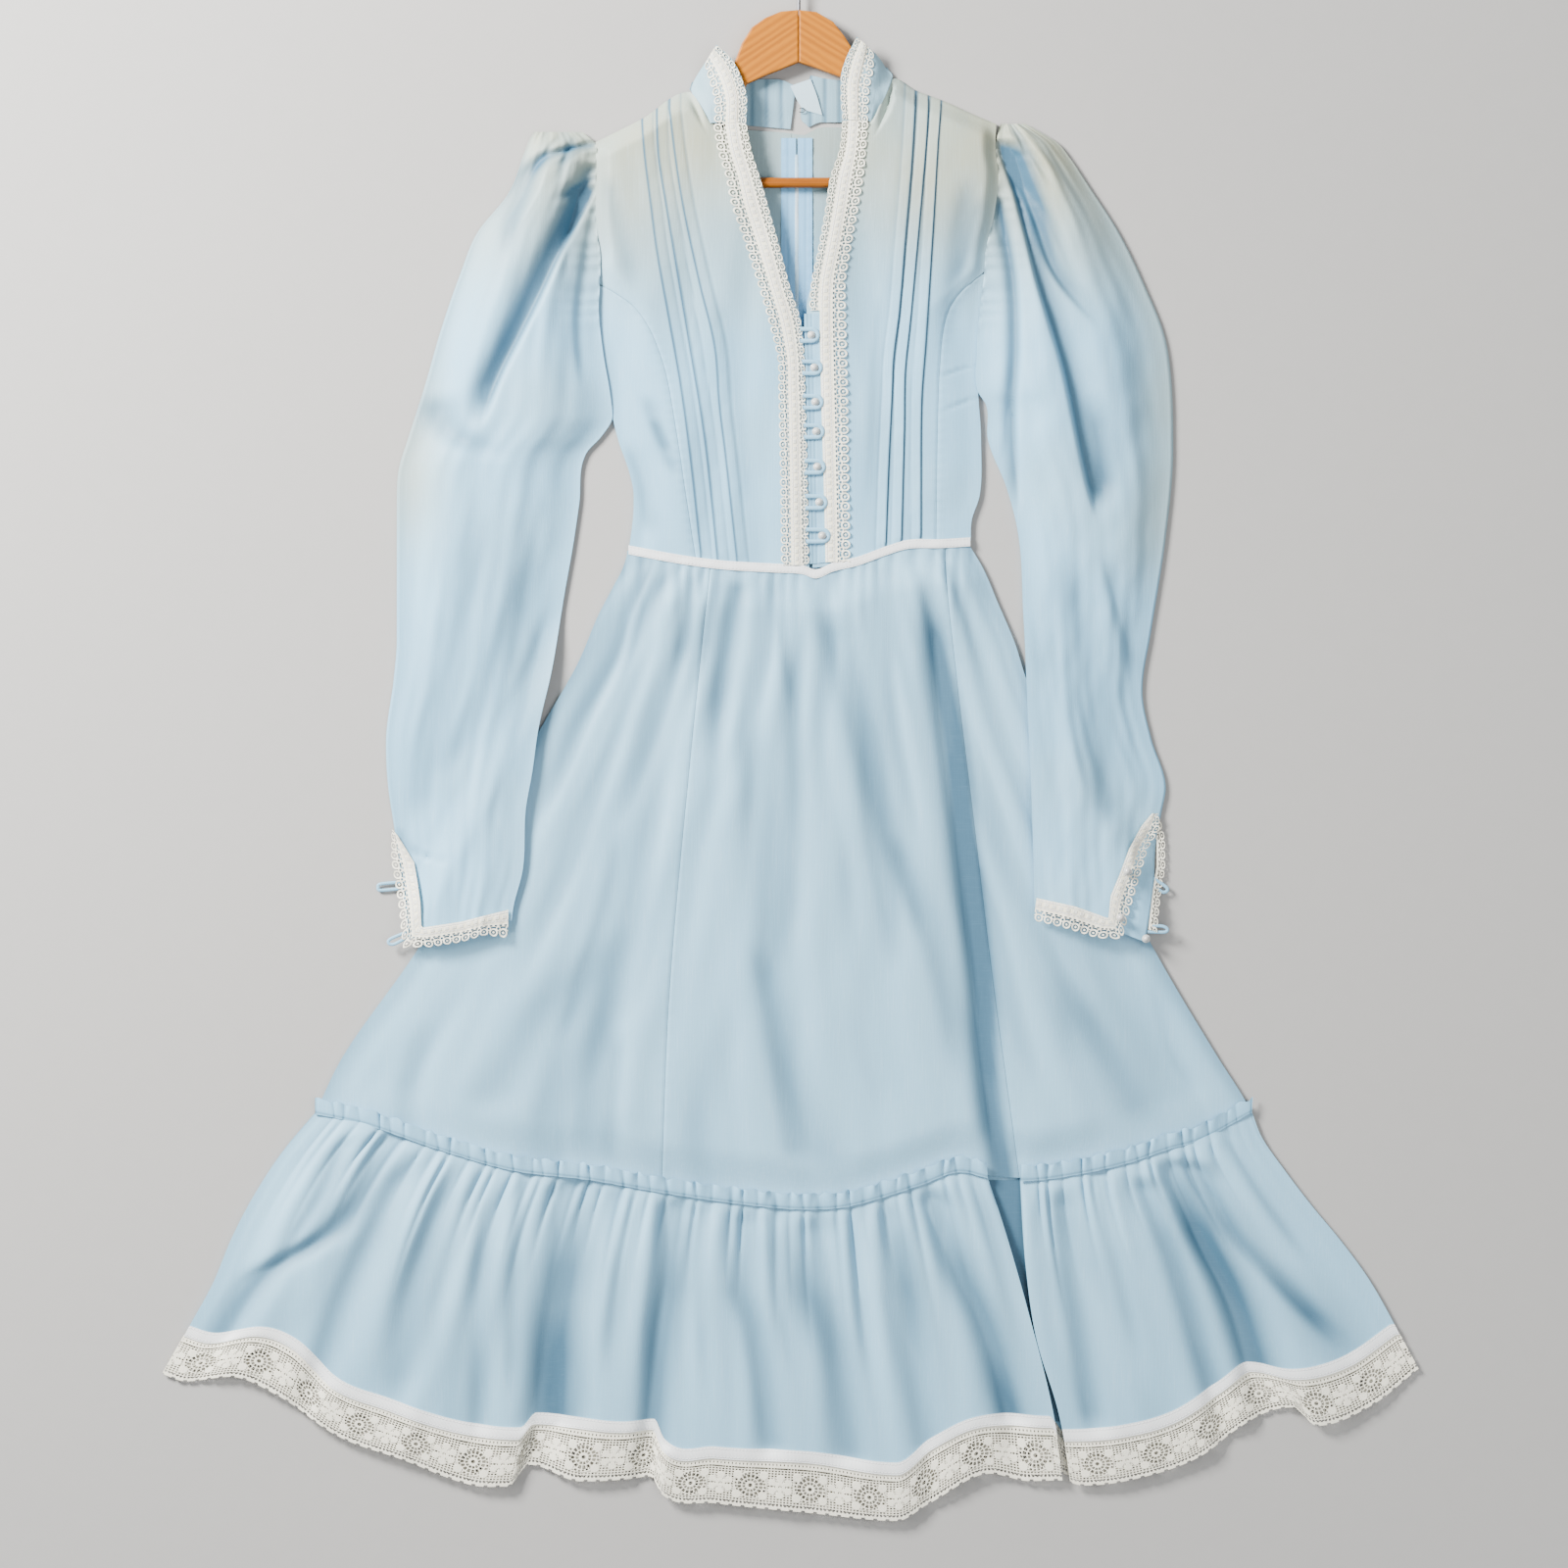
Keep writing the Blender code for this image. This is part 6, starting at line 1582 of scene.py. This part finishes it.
@dataclass
class Trims:
    """Lace and ribbon along the neck, down the front, on the collar and round the cuffs.

    Attributes:
        tailor: makes the pieces.
        bodice: carries the neck trims.
        cream: colour of the ribbon between the laces.
        outer: shares of a band's width that its outer lace covers.
        ribbon: shares that its ribbon covers.
        inner: shares that its inner lace covers.
        ruche: pace of the lace's small waves, in radians a metre.
    """

    tailor: Tailor
    bodice: Bodice
    cream: SatinFinish = SatinFinish((0.97, 0.92, 0.72), True)
    outer: tuple[float, float] = (0.47, 0.0)
    ribbon: tuple[float, float] = (0.41, 0.71)
    inner: tuple[float, float] = (0.69, 1.0)
    ruche: float = 785.0

    def strip(self, name: str, path: tuple[Array, Array], span: tuple[float, float], surface: Surface,
              columns: int, nodes: Sequence[str], is_lace: bool = True) -> None:
        """One lace or ribbon on a surface.

        Args:
            name: its name.
            path: knots of the band's two edges.
            span: shares of the band's width between which it runs.
            surface: height that it lies on.
            columns: number of places along it.
            nodes: the frame's nodes that it stands for.
            is_lace: whether it is lace, else ribbon.
        """
        edges = [path[0] + (path[1] - path[0]) * share for share in span]
        rows = 8 if is_lace else 9
        lattice = Lattice.along_path(edges[0], edges[1], columns, rows)
        share = np.linspace(0, 1, rows)[:, None]
        lay = lattice.lay()
        height = surface(lattice.across, lattice.down)
        if is_lace:
            height = height + 0.0006 + 0.0005 * np.sin(lay[:, :, 0] * self.ruche) * share + 0.0004 * wander(
                lattice.across, lattice.down, 9, 61) * share
        else:
            height = height + 0.0007 + 0.0005 * np.sin(math.pi * share) ** 0.5
        finish = LaceFinish(LaceKind.EDGING) if is_lace else self.cream
        self.tailor.strip(name, lattice, height, finish, nodes, "laid", ["front_left"], 1.2)

    def band(self, name: str, path: tuple[Array, Array], surface: Surface, columns: int,
             nodes: Sequence[str], has_inner: bool = True) -> None:
        """Outer lace, ribbon and inner lace along one band."""
        self.strip(name + "_lace", path, self.outer, surface, columns, nodes)
        self.strip(name + "_ribbon", path, self.ribbon, surface, columns, (), False)
        if has_inner:
            self.strip(name + "_frill", path, self.inner, surface, columns, ())

    def neck(self) -> None:
        """Both neck bands; the right one loses its inner lace below the neck opening."""
        def on_front(across: Array, down: Array) -> Array:
            """Just above the fronts."""
            return self.bodice.top(across, down) + 0.0008

        for name, outer, inner, start, end, has_inner in (
            ("neck_trim_left", TRIM_OUT_L, TRIM_IN_L, 127.9, 577.0, True),
            ("neck_trim_right", TRIM_OUT_R, TRIM_FOOT_R, 125.2, 318.0, True),
            ("front_trim_right", TRIM_OUT_R, TRIM_FOOT_R, 318.0, 574.0, False),
        ):
            downs = np.linspace(start, end, 90)
            path = tuple(np.stack([line(downs), downs], axis=1) for line in (outer, inner))
            nodes = [name] if name.startswith("neck") else ()
            self.band(name, path, on_front, int((end - start) * 1.1), nodes, has_inner)

    def collar(self, name: str, rows: Sequence[Sequence[tuple[float, float, float]]]) -> None:
        """The same three strips on one side of the collar."""
        columns = 90
        for part, span, is_lace in (("_lace", self.outer, True), ("_ribbon", self.ribbon, False),
                                    ("_frill", self.inner, True)):
            shares = np.linspace(span[0], span[1], 8)
            lattice, height = woven([row[1:] for row in rows], np.linspace(0, 1, columns), shares)
            lattice, height = Lattice(lattice.across.T, lattice.down.T), height.T
            lay = lattice.lay()
            share = np.linspace(0, 1, 8)[:, None]
            rise = 0.0004 * np.sin(lay[:, :, 0] * self.ruche) * share if is_lace else 0.0006 + 0.0005 * np.sin(
                math.pi * share) ** 0.5
            finish = LaceFinish(LaceKind.EDGING) if is_lace else self.cream
            nodes = ["collar_trim_" + name] if part == "_lace" else ()
            self.tailor.strip("collar_trim_" + name + part, lattice, height + 0.0009 + rise, finish, nodes, "laid",
                              ["collar_" + name], 1.2)


def woven(rows: Sequence[Sequence[tuple[float, float, float]]], falls: Array,
          shares: Array) -> tuple[Lattice, Array]:
    """Smooth sheet through rows of (across, down, height in millimetres) knots.

    Args:
        rows: the knots.
        falls: shares of the way from the first row to the last.
        shares: shares of the way along the rows.

    Returns:
        Its places and their heights in metres.
    """
    knots = np.array(rows, float)
    marks = np.linspace(0, 1, knots.shape[1])
    wide = np.array([[curve(*zip(marks, row[:, axis]))(shares) for axis in range(3)] for row in knots])
    steps = np.linspace(0, 1, len(knots))
    sheet = np.array([[curve(*zip(steps, wide[:, axis, i]))(falls) for i in range(len(shares))]
                      for axis in range(3)]).transpose(0, 2, 1)
    return Lattice(sheet[0], sheet[1]), 0.001 * sheet[2]


@dataclass
class Collar:
    """Stand collar that leans in over the hanger at both sides, with its back, tab and trims.

    Attributes:
        tailor: makes the pieces.
        trims: makes the lace on it.
        left: knots of the left side, outer edge to neck edge.
        right: knots of the right side.
        tab: knots of the button tab at the back.
        tab_blue: colour of its lining.
    """

    tailor: Tailor
    trims: Trims
    left: tuple = (
        ((711.5, 77, 3.6), (719, 67, 12.5), (731.5, 48, 16.3)),
        ((708, 83.5, 3.5), (722, 80, 13.5), (747, 63, 16.6)),
        ((705.3, 91.5, 3.5), (727, 97, 15.2), (757, 82, 16.8)),
        ((711.2, 106.4, 10.0), (729, 112, 16.0), (762.5, 105, 16.8)),
        ((725.6, 129.0, 14.8), (728.6, 127.4, 16.1), (761.5, 128.2, 16.2)),
    )
    right: tuple = (
        ((899, 62, 3.6), (891.5, 55, 12.5), (874, 40, 16.3)),
        ((904, 70, 3.5), (891.5, 71, 13.5), (863, 62, 16.6)),
        ((910.5, 79, 3.5), (887.5, 92, 15.2), (857.5, 84, 16.8)),
        ((902.6, 100.6, 12.4), (886.5, 107, 17.0), (857.5, 104, 17.2)),
        ((888.4, 127.4, 15.0), (885.4, 126.0, 16.4), (859.5, 124.2, 16.4)),
    )
    tab: tuple = (
        ((806.5, 88, 2.6), (827, 81, 3.0)),
        ((812, 100, 3.0), (833, 97, 3.4)),
        ((819, 112, 2.8), (839, 118, 3.0)),
    )
    tab_blue: tuple[float, float, float] = (0.46, 0.63, 0.72)

    def side(self, name: str, rows: tuple) -> None:
        """One leaning side with its trims."""
        lattice, height = woven(rows, np.linspace(0, 1, 50), np.linspace(0, 1, 44))
        height = height + 0.00025 * wander(lattice.across, lattice.down, 11, 81)
        # Even painted shade over the collar's side.
        self.tailor.cloth("collar_" + name, lattice, height, (0.18, 0.35), "laid", ["front_" + name])
        self.trims.collar(name, rows)

    def back(self) -> None:
        """The two halves of the collar's back, its tab, and the hook over the slit."""
        halves = (
            ("collar_back_left", (((706, 84), (722, 83), (745, 82), (790, 81), (812, 88)),
                                  ((704.6, 89), (722, 100), (745, 105), (775, 106), (809, 112)),
                                  ((703.4, 91), (722, 114), (745, 125), (762, 128), (806.5, 132)))),
            ("collar_back_right", (((827, 77), (840, 80), (858, 82), (884, 77), (905, 69)),
                                   ((817, 117), (838, 104), (859, 103), (885, 96), (908, 73)),
                                   ((825, 130), (838.5, 125), (859, 125), (885.5, 115), (911, 76.5)))),
        )
        for name, rows in halves:
            knots = [[(a, d, 1.5) for a, d in row] for row in rows]
            lattice, height = woven(knots, np.linspace(0, 1, 30), np.linspace(0, 1, 60))
            folds = np.sin((lattice.across - 700) * 0.21) ** 8
            height = height + 0.0005 * (1 + wander(lattice.across, lattice.down, 18, 83)) * 0.5 - 0.0005 * folds
            # Painted shade over the halves, darker in their folds.
            self.tailor.cloth(name, lattice, height, (0.25 + 0.5 * folds, 0.3), "laid", (), leaf=0.0013)
        lattice, height = woven(self.tab, np.linspace(0, 1, 24), np.linspace(0, 1, 18))
        self.tailor.cloth("collar_tab", lattice, height, (0.0, 0.0), "laid", ["collar_back_right"],
                          finish=CottonFinish(self.tab_blue), nodes=())
        turn = np.linspace(-2.4, 2.4, 30)
        path = np.stack([818 + 3.2 * np.cos(turn), 113 + 2.2 * np.sin(turn)], axis=1)
        points, faces = tube(np.array([spot(a, d, 0.0038) for a, d in path]), 0.0004, 0.0004, 8)
        self.tailor.mesh("collar_hook", points, faces, WireFinish(), "dark_steel", (), {})

    def build(self) -> None:
        """Makes the whole collar."""
        self.back()
        self.side("left", self.left)
        self.side("right", self.right)


@dataclass(frozen=True)
class Cut:
    """Outline, height and folds of one sleeve.

    Attributes:
        name: left or right.
        side: which side it is on.
        outer: its folded outer edge.
        inner: its inner edge.
        start: place down where it starts.
        foot: its cuff edge.
        puff: its height by place down.
        folds: its folds.
        skirt: the skirt's edge, which it lies over.
    """

    name: str
    side: Side
    outer: Line
    inner: Line
    start: float
    foot: Line
    puff: Line
    folds: tuple[Fold, ...]
    skirt: Line

    def raised(self, across: Array, down: Array) -> Array:
        """Height at which the sleeve lies, over the skirt towards its cuff."""
        inside = (self.skirt(down) - across) * self.side.value
        return 0.0088 * ease((inside + 52) / 44.0) * ease((down - 610) / 60.0)

    def share(self, across: Array, down: Array) -> Array:
        """Share of the sleeve's width, from its outer edge to its inner one."""
        return np.clip((across - self.outer(down)) / (self.inner(down) - self.outer(down)), 0, 1)

    @staticmethod
    def waves(share: Array, down: Array) -> Array:
        """Soft waves along the sleeve."""
        return wander(share * 150.0, down * 0.16, 40, 91)

    def top(self, across: Array, down: Array) -> Array:
        """Upper side of the sleeve."""
        share = self.share(across, down)
        seam = (0.20 - 0.09 * ease((down - 290) / 60.0)) * (1 - ease((down - 395) / 50.0))
        shape = ease(share / 0.35) * (1 - (1 - seam) * ease((share - 0.62) / 0.38))
        loose = ease(share / 0.2)
        puff = self.puff(down) * shape - fold_sum(self.folds, across, down) * loose
        fine = 0.0014 * self.waves(share, down) + 0.0005 * wander(share * 150.0, down * 0.3, 17, 92)
        puff += loose * (1 - ease((share - 0.8) / 0.2)) * fine
        inside = np.abs(self.inner(down) - across)
        pucker = 0.0012 * np.sin(down * 0.42 + 1.6 * np.sin(down * 0.12)) * np.exp(-inside / 17.0)
        puff += pucker * (1 - ease((down - 300) / 60.0)) * ease(inside / 1.5)
        return RISE + self.raised(across, down) + np.maximum(puff, 0.0)

    def clear(self, across: Array, down: Array) -> Array:
        """Height that clears the folds beside each place."""
        return np.maximum.reduce([self.top(across + 5 * i, down + 9 * j) for i in (-1, 0, 1) for j in (-1, 0, 1)])


@dataclass
class Sleeves:
    """Both sleeves, each one folded sheet, with ribbon, lace and button loops at the cuffs.

    Attributes:
        tailor: makes the pieces.
        trims: makes the bands.
        left: the left sleeve.
        right: the right sleeve.
        left_path: inner and outer places of its cuff's band.
        right_path: the same for the right.
        underlap_path: the same for the lace on the opening's lower edge.
        steps: number of steps across a sleeve's upper layer.
        rows: number of rows down it.
        under: which of the steps its under layer uses.
    """

    tailor: Tailor
    trims: Trims
    left: Cut = Cut("left", Side.LEFT, SLEEVE_OUT_L, moved(SLEEVE_IN_L, 1.1), 135.0, CUFF_L, PUFF_LEFT,
                    SLEEVE_FOLDS_LEFT, SKIRT_L)
    right: Cut = Cut("right", Side.RIGHT, SLEEVE_OUT_R, moved(SLEEVE_IN_R, -0.9), 127.0, CUFF_R, PUFF_RIGHT,
                     SLEEVE_FOLDS_RIGHT, SKIRT_R)
    left_path: tuple = (
        ((519.5, 928), (519, 957)), ((495, 934), (495, 954)), ((472, 940), (472, 961)), ((433, 946), (440, 966)),
        ((431, 944), (412, 967)), ((430, 921), (408, 930)), ((427, 902), (404, 905)), ((423, 880), (399, 876)),
        ((406, 852), (400, 846)),
    )
    right_path: tuple = (
        ((1057, 916), (1054, 939)), ((1096, 924.5), (1090, 948)), ((1128, 936), (1118, 957)),
        ((1130, 936), (1144, 958)), ((1132, 914), (1153, 925)), ((1140, 895), (1161, 898)),
        ((1151, 866), (1171, 866)), ((1164, 843), (1184, 845)), ((1175, 830), (1182, 830)),
    )
    underlap_path: tuple = (
        ((1174, 842), (1184, 836)), ((1180, 858), (1189, 856)), ((1180, 885), (1189, 887)),
        ((1175, 912), (1184, 914)), ((1171, 948), (1180, 951)),
    )
    steps: int = 96
    rows: int = 220
    under: tuple[int, ...] = (96, 78, 60, 44, 28, 12, 4)

    def sleeve(self, cut: Cut) -> None:
        """One sleeve: its under layer, the fold and its upper layer in one closed sheet."""
        lattice = Lattice.between_lines([(cut.outer, self.steps), (cut.inner, 0)], level(cut.start), cut.foot,
                                        self.rows, 0.07 * cut.side.value * -1, 1.3)
        low = cut.raised(lattice.across, lattice.down)
        high = cut.top(lattice.across, lattice.down)
        under = list(self.under)
        columns = under + list(range(self.steps + 1))
        across, down = lattice.across[:, columns], lattice.down[:, columns]
        height = np.concatenate([low[:, under], low[:, :1] + 0.00165, high[:, 1:]], axis=1)
        shift = np.zeros((*height.shape, 3))
        shift[:, :len(under), 2] = LEAF
        shift[:, len(under), 0] = -cut.side.value * LEAF
        shift[:, len(under) + 1:, 2] = -LEAF
        folds = fold_sum(cut.folds, across, down)
        share = cut.share(across, down)
        # Painted shade in the folds, along the turned outer edge and in the hollows of the soft waves.
        crease = np.clip(folds / 0.0085, 0, 1) * 0.85 + 0.22 * (1 - ease(share / 0.12))
        crease += 0.30 * np.clip(-cut.waves(share, down), 0, 1) * ease(share / 0.15)
        self.tailor.cloth("sleeve_" + cut.name, Lattice(across, down), height,
                          (np.clip(crease, 0, 1), faded(across, down)), "laid", ["skirt_gore_" + cut.name], 1.05,
                          shift=shift)

    def cuff(self, cut: Cut, path: tuple) -> None:
        """Ribbon and lace along the cuff and up its opening."""
        def over(across: Array, down: Array) -> Array:
            """Just above the sleeve and clear of the folds beside."""
            return cut.clear(across, down) + 0.0008

        edges = tuple(np.array([pair[index] for pair in path], float) for index in (0, 1))
        name = "cuff_trim_" + cut.name
        self.trims.strip(name + "_lace", edges, (0.36, 1.0), over, 240, [name])
        self.trims.strip(name + "_ribbon", edges, (0.0, 0.44), over, 240, (), False)

    def underlap(self) -> None:
        """Lace along the lower edge of the right cuff's opening."""
        def low(across: Array, down: Array) -> Array:
            """Just above the sleeve's under layer."""
            return self.right.raised(across, down) + 0.0022

        edges = tuple(np.array(self.underlap_path, float)[:, index] for index in (0, 1))
        self.trims.strip("cuff_underlap_lace", edges, (0.0, 1.0), low, 90, ())

    def loops(self) -> None:
        """Narrow cloth loops that stand out of the cuffs."""
        for name, cut, ends in (
            ("cuff_loop_1", self.left, ((410.4, 900), (389, 902), (386, 905), (389, 908.5), (411.4, 906.5))),
            ("cuff_loop_2", self.left, ((415.3, 951), (400, 957.5), (397, 961), (401, 963.5), (416, 956.5))),
            ("cuff_loop_3", self.right, ((1176.7, 896), (1189, 904.5), (1191, 908), (1187, 910.5), (1176.3, 902.5))),
            ("cuff_loop_4", self.right, ((1171.4, 944), (1186, 945), (1190.5, 948.5), (1186, 951), (1170.2, 950.5))),
        ):
            low = float(cut.raised(np.float64(ends[0][0]), np.float64(ends[0][1])))
            marks, steps = np.linspace(0, 1, len(ends)), np.linspace(0, 1, 40)
            path = [curve(*zip(marks, [end[axis] for end in ends]))(steps) for axis in (0, 1)]
            self.tailor.loop(name, [spot(a, d, low + 0.0019) for a, d in zip(*path)], 0.0014, 0.0006, 0.15,
                             "sleeve_" + cut.name)

    def build(self) -> None:
        """Makes both sleeves."""
        for cut, path in ((self.left, self.left_path), (self.right, self.right_path)):
            self.sleeve(cut)
            self.cuff(cut, path)
        self.underlap()
        self.loops()


@dataclass
class Closure:
    """Pearl buttons with cloth loops down the front, the placket under them, and the cuff buttons.

    Attributes:
        tailor: makes the pieces.
        bodice: carries the front buttons.
        sleeves: carry the cuff buttons.
        front: places of the front buttons.
        cuff: places of the cuff buttons.
        lower_pearl: place of the pearl on the right cuff's underlap.
        profile: (radius, height) of a button in millimetres.
        reach: how far a loop goes round its button, in grid steps.
        over_trim: height of a cuff button above the sleeve.
    """

    tailor: Tailor
    bodice: Bodice
    sleeves: Sleeves
    front: tuple = ((828, 343), (831, 376), (832, 411), (833, 441), (834, 477), (836, 513), (839, 547))
    cuff: tuple = ((1149, 889), (1142, 936))
    lower_pearl: tuple = (1168.5, 957.5)
    profile: tuple = ((3.2, 0.3), (3.8, 0.8), (3.75, 1.5), (3.3, 1.95), (3.0, 1.95), (2.9, 2.5), (2.6, 3.4),
                      (2.0, 4.2), (1.1, 4.8), (0.3, 5.0))
    reach: float = 6.6
    over_trim: float = 0.0034

    def button(self, name: str, across: float, down: float, base: float, nodes: Sequence[str] = ()) -> None:
        """Domed pearl in a rim."""
        sides = 32
        turn = np.linspace(0, 2 * math.pi, sides, endpoint=False)
        centre = np.array(spot(across, down, base))
        rings = [centre + 0.001 * np.stack([radius * np.cos(turn), radius * np.sin(turn), turn * 0 + height], axis=1)
                 for radius, height in self.profile]
        self.tailor.mesh(name, np.concatenate(rings), ring_faces(len(rings), sides), PearlFinish(), "pearl", nodes, {})

    def base(self, across: float, down: float) -> float:
        """Height of the front at a place."""
        return float(self.bodice.top(np.array([float(across)]), np.array([float(down)]))[0])

    def loop(self, name: str, across: float, down: float, base: float) -> None:
        """Cloth loop that comes from under the left band and goes round a button."""
        start = float(TRIM_IN_L(down)) - 3.0
        turn = np.linspace(-0.5 * math.pi, 0.5 * math.pi, 15)
        path = [(start, down - self.reach * 0.92)]
        path += [(across + self.reach * math.cos(t), down + self.reach * 0.92 * math.sin(t)) for t in turn]
        path += [(start, down + self.reach * 0.92)]
        self.tailor.loop(name, [spot(a, d, base + 0.0017) for a, d in path], 0.0019, 0.0009, 0.1, "front_right")

    def placket(self) -> None:
        """Edge of the right front below the buttons, with its stitched line."""
        lattice = Lattice.between_lines([(moved(TRIM_IN_R, -2.6), 26), (moved(PLACKET_R, 1.0), 0)], level(321.0),
                                        moved(WAIST, -5.0), 150)
        inward = lattice.across - TRIM_IN_R(lattice.down)
        height = self.bodice.top(lattice.across, lattice.down) + 0.0007
        height += 0.0003 * wander(lattice.across, lattice.down, 14, 33) - 0.0004 * dip(inward - 5, 0.9)
        # Painted shadow of the left front's edge, painted shade in the groove of the stitched line, and a little even
        # painted shade.
        crease = 0.5 * dip(inward - 0.5, 1.4) + 0.30 * dip(inward - 5, 1.0) + 0.12
        self.tailor.cloth("placket", lattice, height, (np.clip(crease, 0, 1), 0.0), "laid", ["front_right"],
                          leaf=0.0006, nodes=())

    def build(self) -> None:
        """Makes the placket, buttons and loops."""
        self.placket()
        for index, (across, down) in enumerate(self.front):
            base = self.base(across, down) + 0.0007
            self.button(f"front_button_{index + 1}", across, down, base, [f"front_button_{index + 1}"])
            self.loop(f"front_loop_{index + 1}", across, down, base)
        cut = self.sleeves.right
        for index, (across, down) in enumerate(self.cuff):
            name = f"cuff_button_{index + 1}"
            base = float(cut.clear(np.array([float(across)]), np.array([float(down)]))[0]) + self.over_trim
            self.button(name, across, down, base, [name])
        across, down = self.lower_pearl
        base = float(cut.raised(np.float64(across), np.float64(down))) + self.over_trim
        self.button("cuff_pearl_low", across, down, base)


@dataclass
class Hanger:
    """Finishes for the wooden arms, the bar and the wire hook, which keep the frame's shapes.

    Attributes:
        tailor: makes the finishes.
        grain: direction of the grain in each arm, in degrees.
    """

    tailor: Tailor
    grain: tuple[float, float] = (34.0, -32.0)

    def build(self) -> None:
        """Dresses the frame's own pieces."""
        bar = WoodFinish((0.30, 0.085, 0.001), (0.13, 0.028, 0.0005), 0.0)
        for name, finish in (
            ("hanger_arm_left", WoodFinish(turn=self.grain[0])),
            ("hanger_arm_right", WoodFinish(turn=self.grain[1])),
            ("hanger_bar", bar),
            ("hanger_hook", WireFinish()),
        ):
            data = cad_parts[name].data
            data.materials.clear()
            data.materials.append(self.tailor.finish(finish))
            LOG.info("%s: %s", name, type(finish).__name__)


@dataclass
class Studio:
    """Pale floor, soft lights and the camera that looks straight down.

    Attributes:
        floor: colour of the floor.
        high: height of the camera in metres.
        seen: width that the camera sees at the floor.
        centre: place on the layout grid that it looks at.
        sensor: width of its sensor in millimetres.
        half: half the width of the floor in metres.
    """

    floor: tuple[float, float, float] = (0.40, 0.39, 0.375)
    high: float = 5.0
    seen: float = 1600 * GRID
    centre: tuple[float, float] = (800.0, 800.0)
    sensor: float = 36.0
    half: float = 4.0

    def ground(self) -> None:
        """Plain pale floor under the garment."""
        net = Net("floor")
        grain = net.noise((1.0, 1.0, 1.0), 60.0, 2.0)
        net.feed(Base_Color=net.mix(self.floor, tuple(0.96 * value for value in self.floor), grain), Roughness=0.9)
        data = bpy.data.meshes.new("floor")
        corners = [(-self.half, -self.half), (self.half, -self.half), (self.half, self.half), (-self.half, self.half)]
        data.from_pydata([(x, y, -0.0006) for x, y in corners], [], [(0, 1, 2, 3)])
        data.materials.append(net.material)
        made = bpy.data.objects.new("floor", data)
        bpy.context.scene.collection.objects.link(made)

    def lamp(self, name: str, place: tuple[float, float, float], size: float, power: float,
             colour: tuple[float, float, float]) -> None:
        """Square soft light that points at the garment."""
        data = bpy.data.lights.new(name, "AREA")
        data.size, data.energy, data.color = size, power, colour
        made = bpy.data.objects.new(name, data)
        made.location = place
        made.rotation_euler = (Vector((0.0, -0.05, 0.0)) - Vector(place)).to_track_quat("-Z", "Y").to_euler()
        bpy.context.scene.collection.objects.link(made)

    def build(self) -> None:
        """Makes the floor, the lights, the world and the camera."""
        self.ground()
        self.lamp("window", (-1.9, 1.5, 1.5), 0.9, 345.0, (1.0, 0.99, 0.97))
        self.lamp("ceiling", (1.2, -0.4, 2.6), 2.2, 48.0, (0.97, 0.985, 1.0))
        world = bpy.data.worlds.new("room")
        world.use_nodes = True
        world.node_tree.nodes["Background"].inputs["Color"].default_value = (0.93, 0.96, 1.0, 1.0)
        world.node_tree.nodes["Background"].inputs["Strength"].default_value = 0.46
        bpy.context.scene.world = world
        data = bpy.data.cameras.new("camera")
        data.sensor_width = self.sensor
        data.lens = self.sensor * self.high / self.seen
        made = bpy.data.objects.new("camera", data)
        made.location = spot(self.centre[0], self.centre[1], self.high)
        bpy.context.scene.collection.objects.link(made)
        bpy.context.scene.camera = made
        LOG.info("camera: lens %.1f mm", data.lens)


def main() -> None:
    """Builds the dress on its hanger, then the studio."""
    logging.basicConfig(level=logging.INFO, format="%(name)s: %(message)s")
    tailor = Tailor()
    bodice = Bodice(tailor)
    trims = Trims(tailor, bodice)
    skirt = Skirt(tailor)
    sleeves = Sleeves(tailor, trims)
    bodice.build()
    trims.neck()
    Collar(tailor, trims).build()
    skirt.build()
    Ruffle(tailor, skirt).build()
    sleeves.build()
    Closure(tailor, bodice, sleeves).build()
    Hanger(tailor).build()
    Studio().build()


if __name__ == "__main__":
    main()
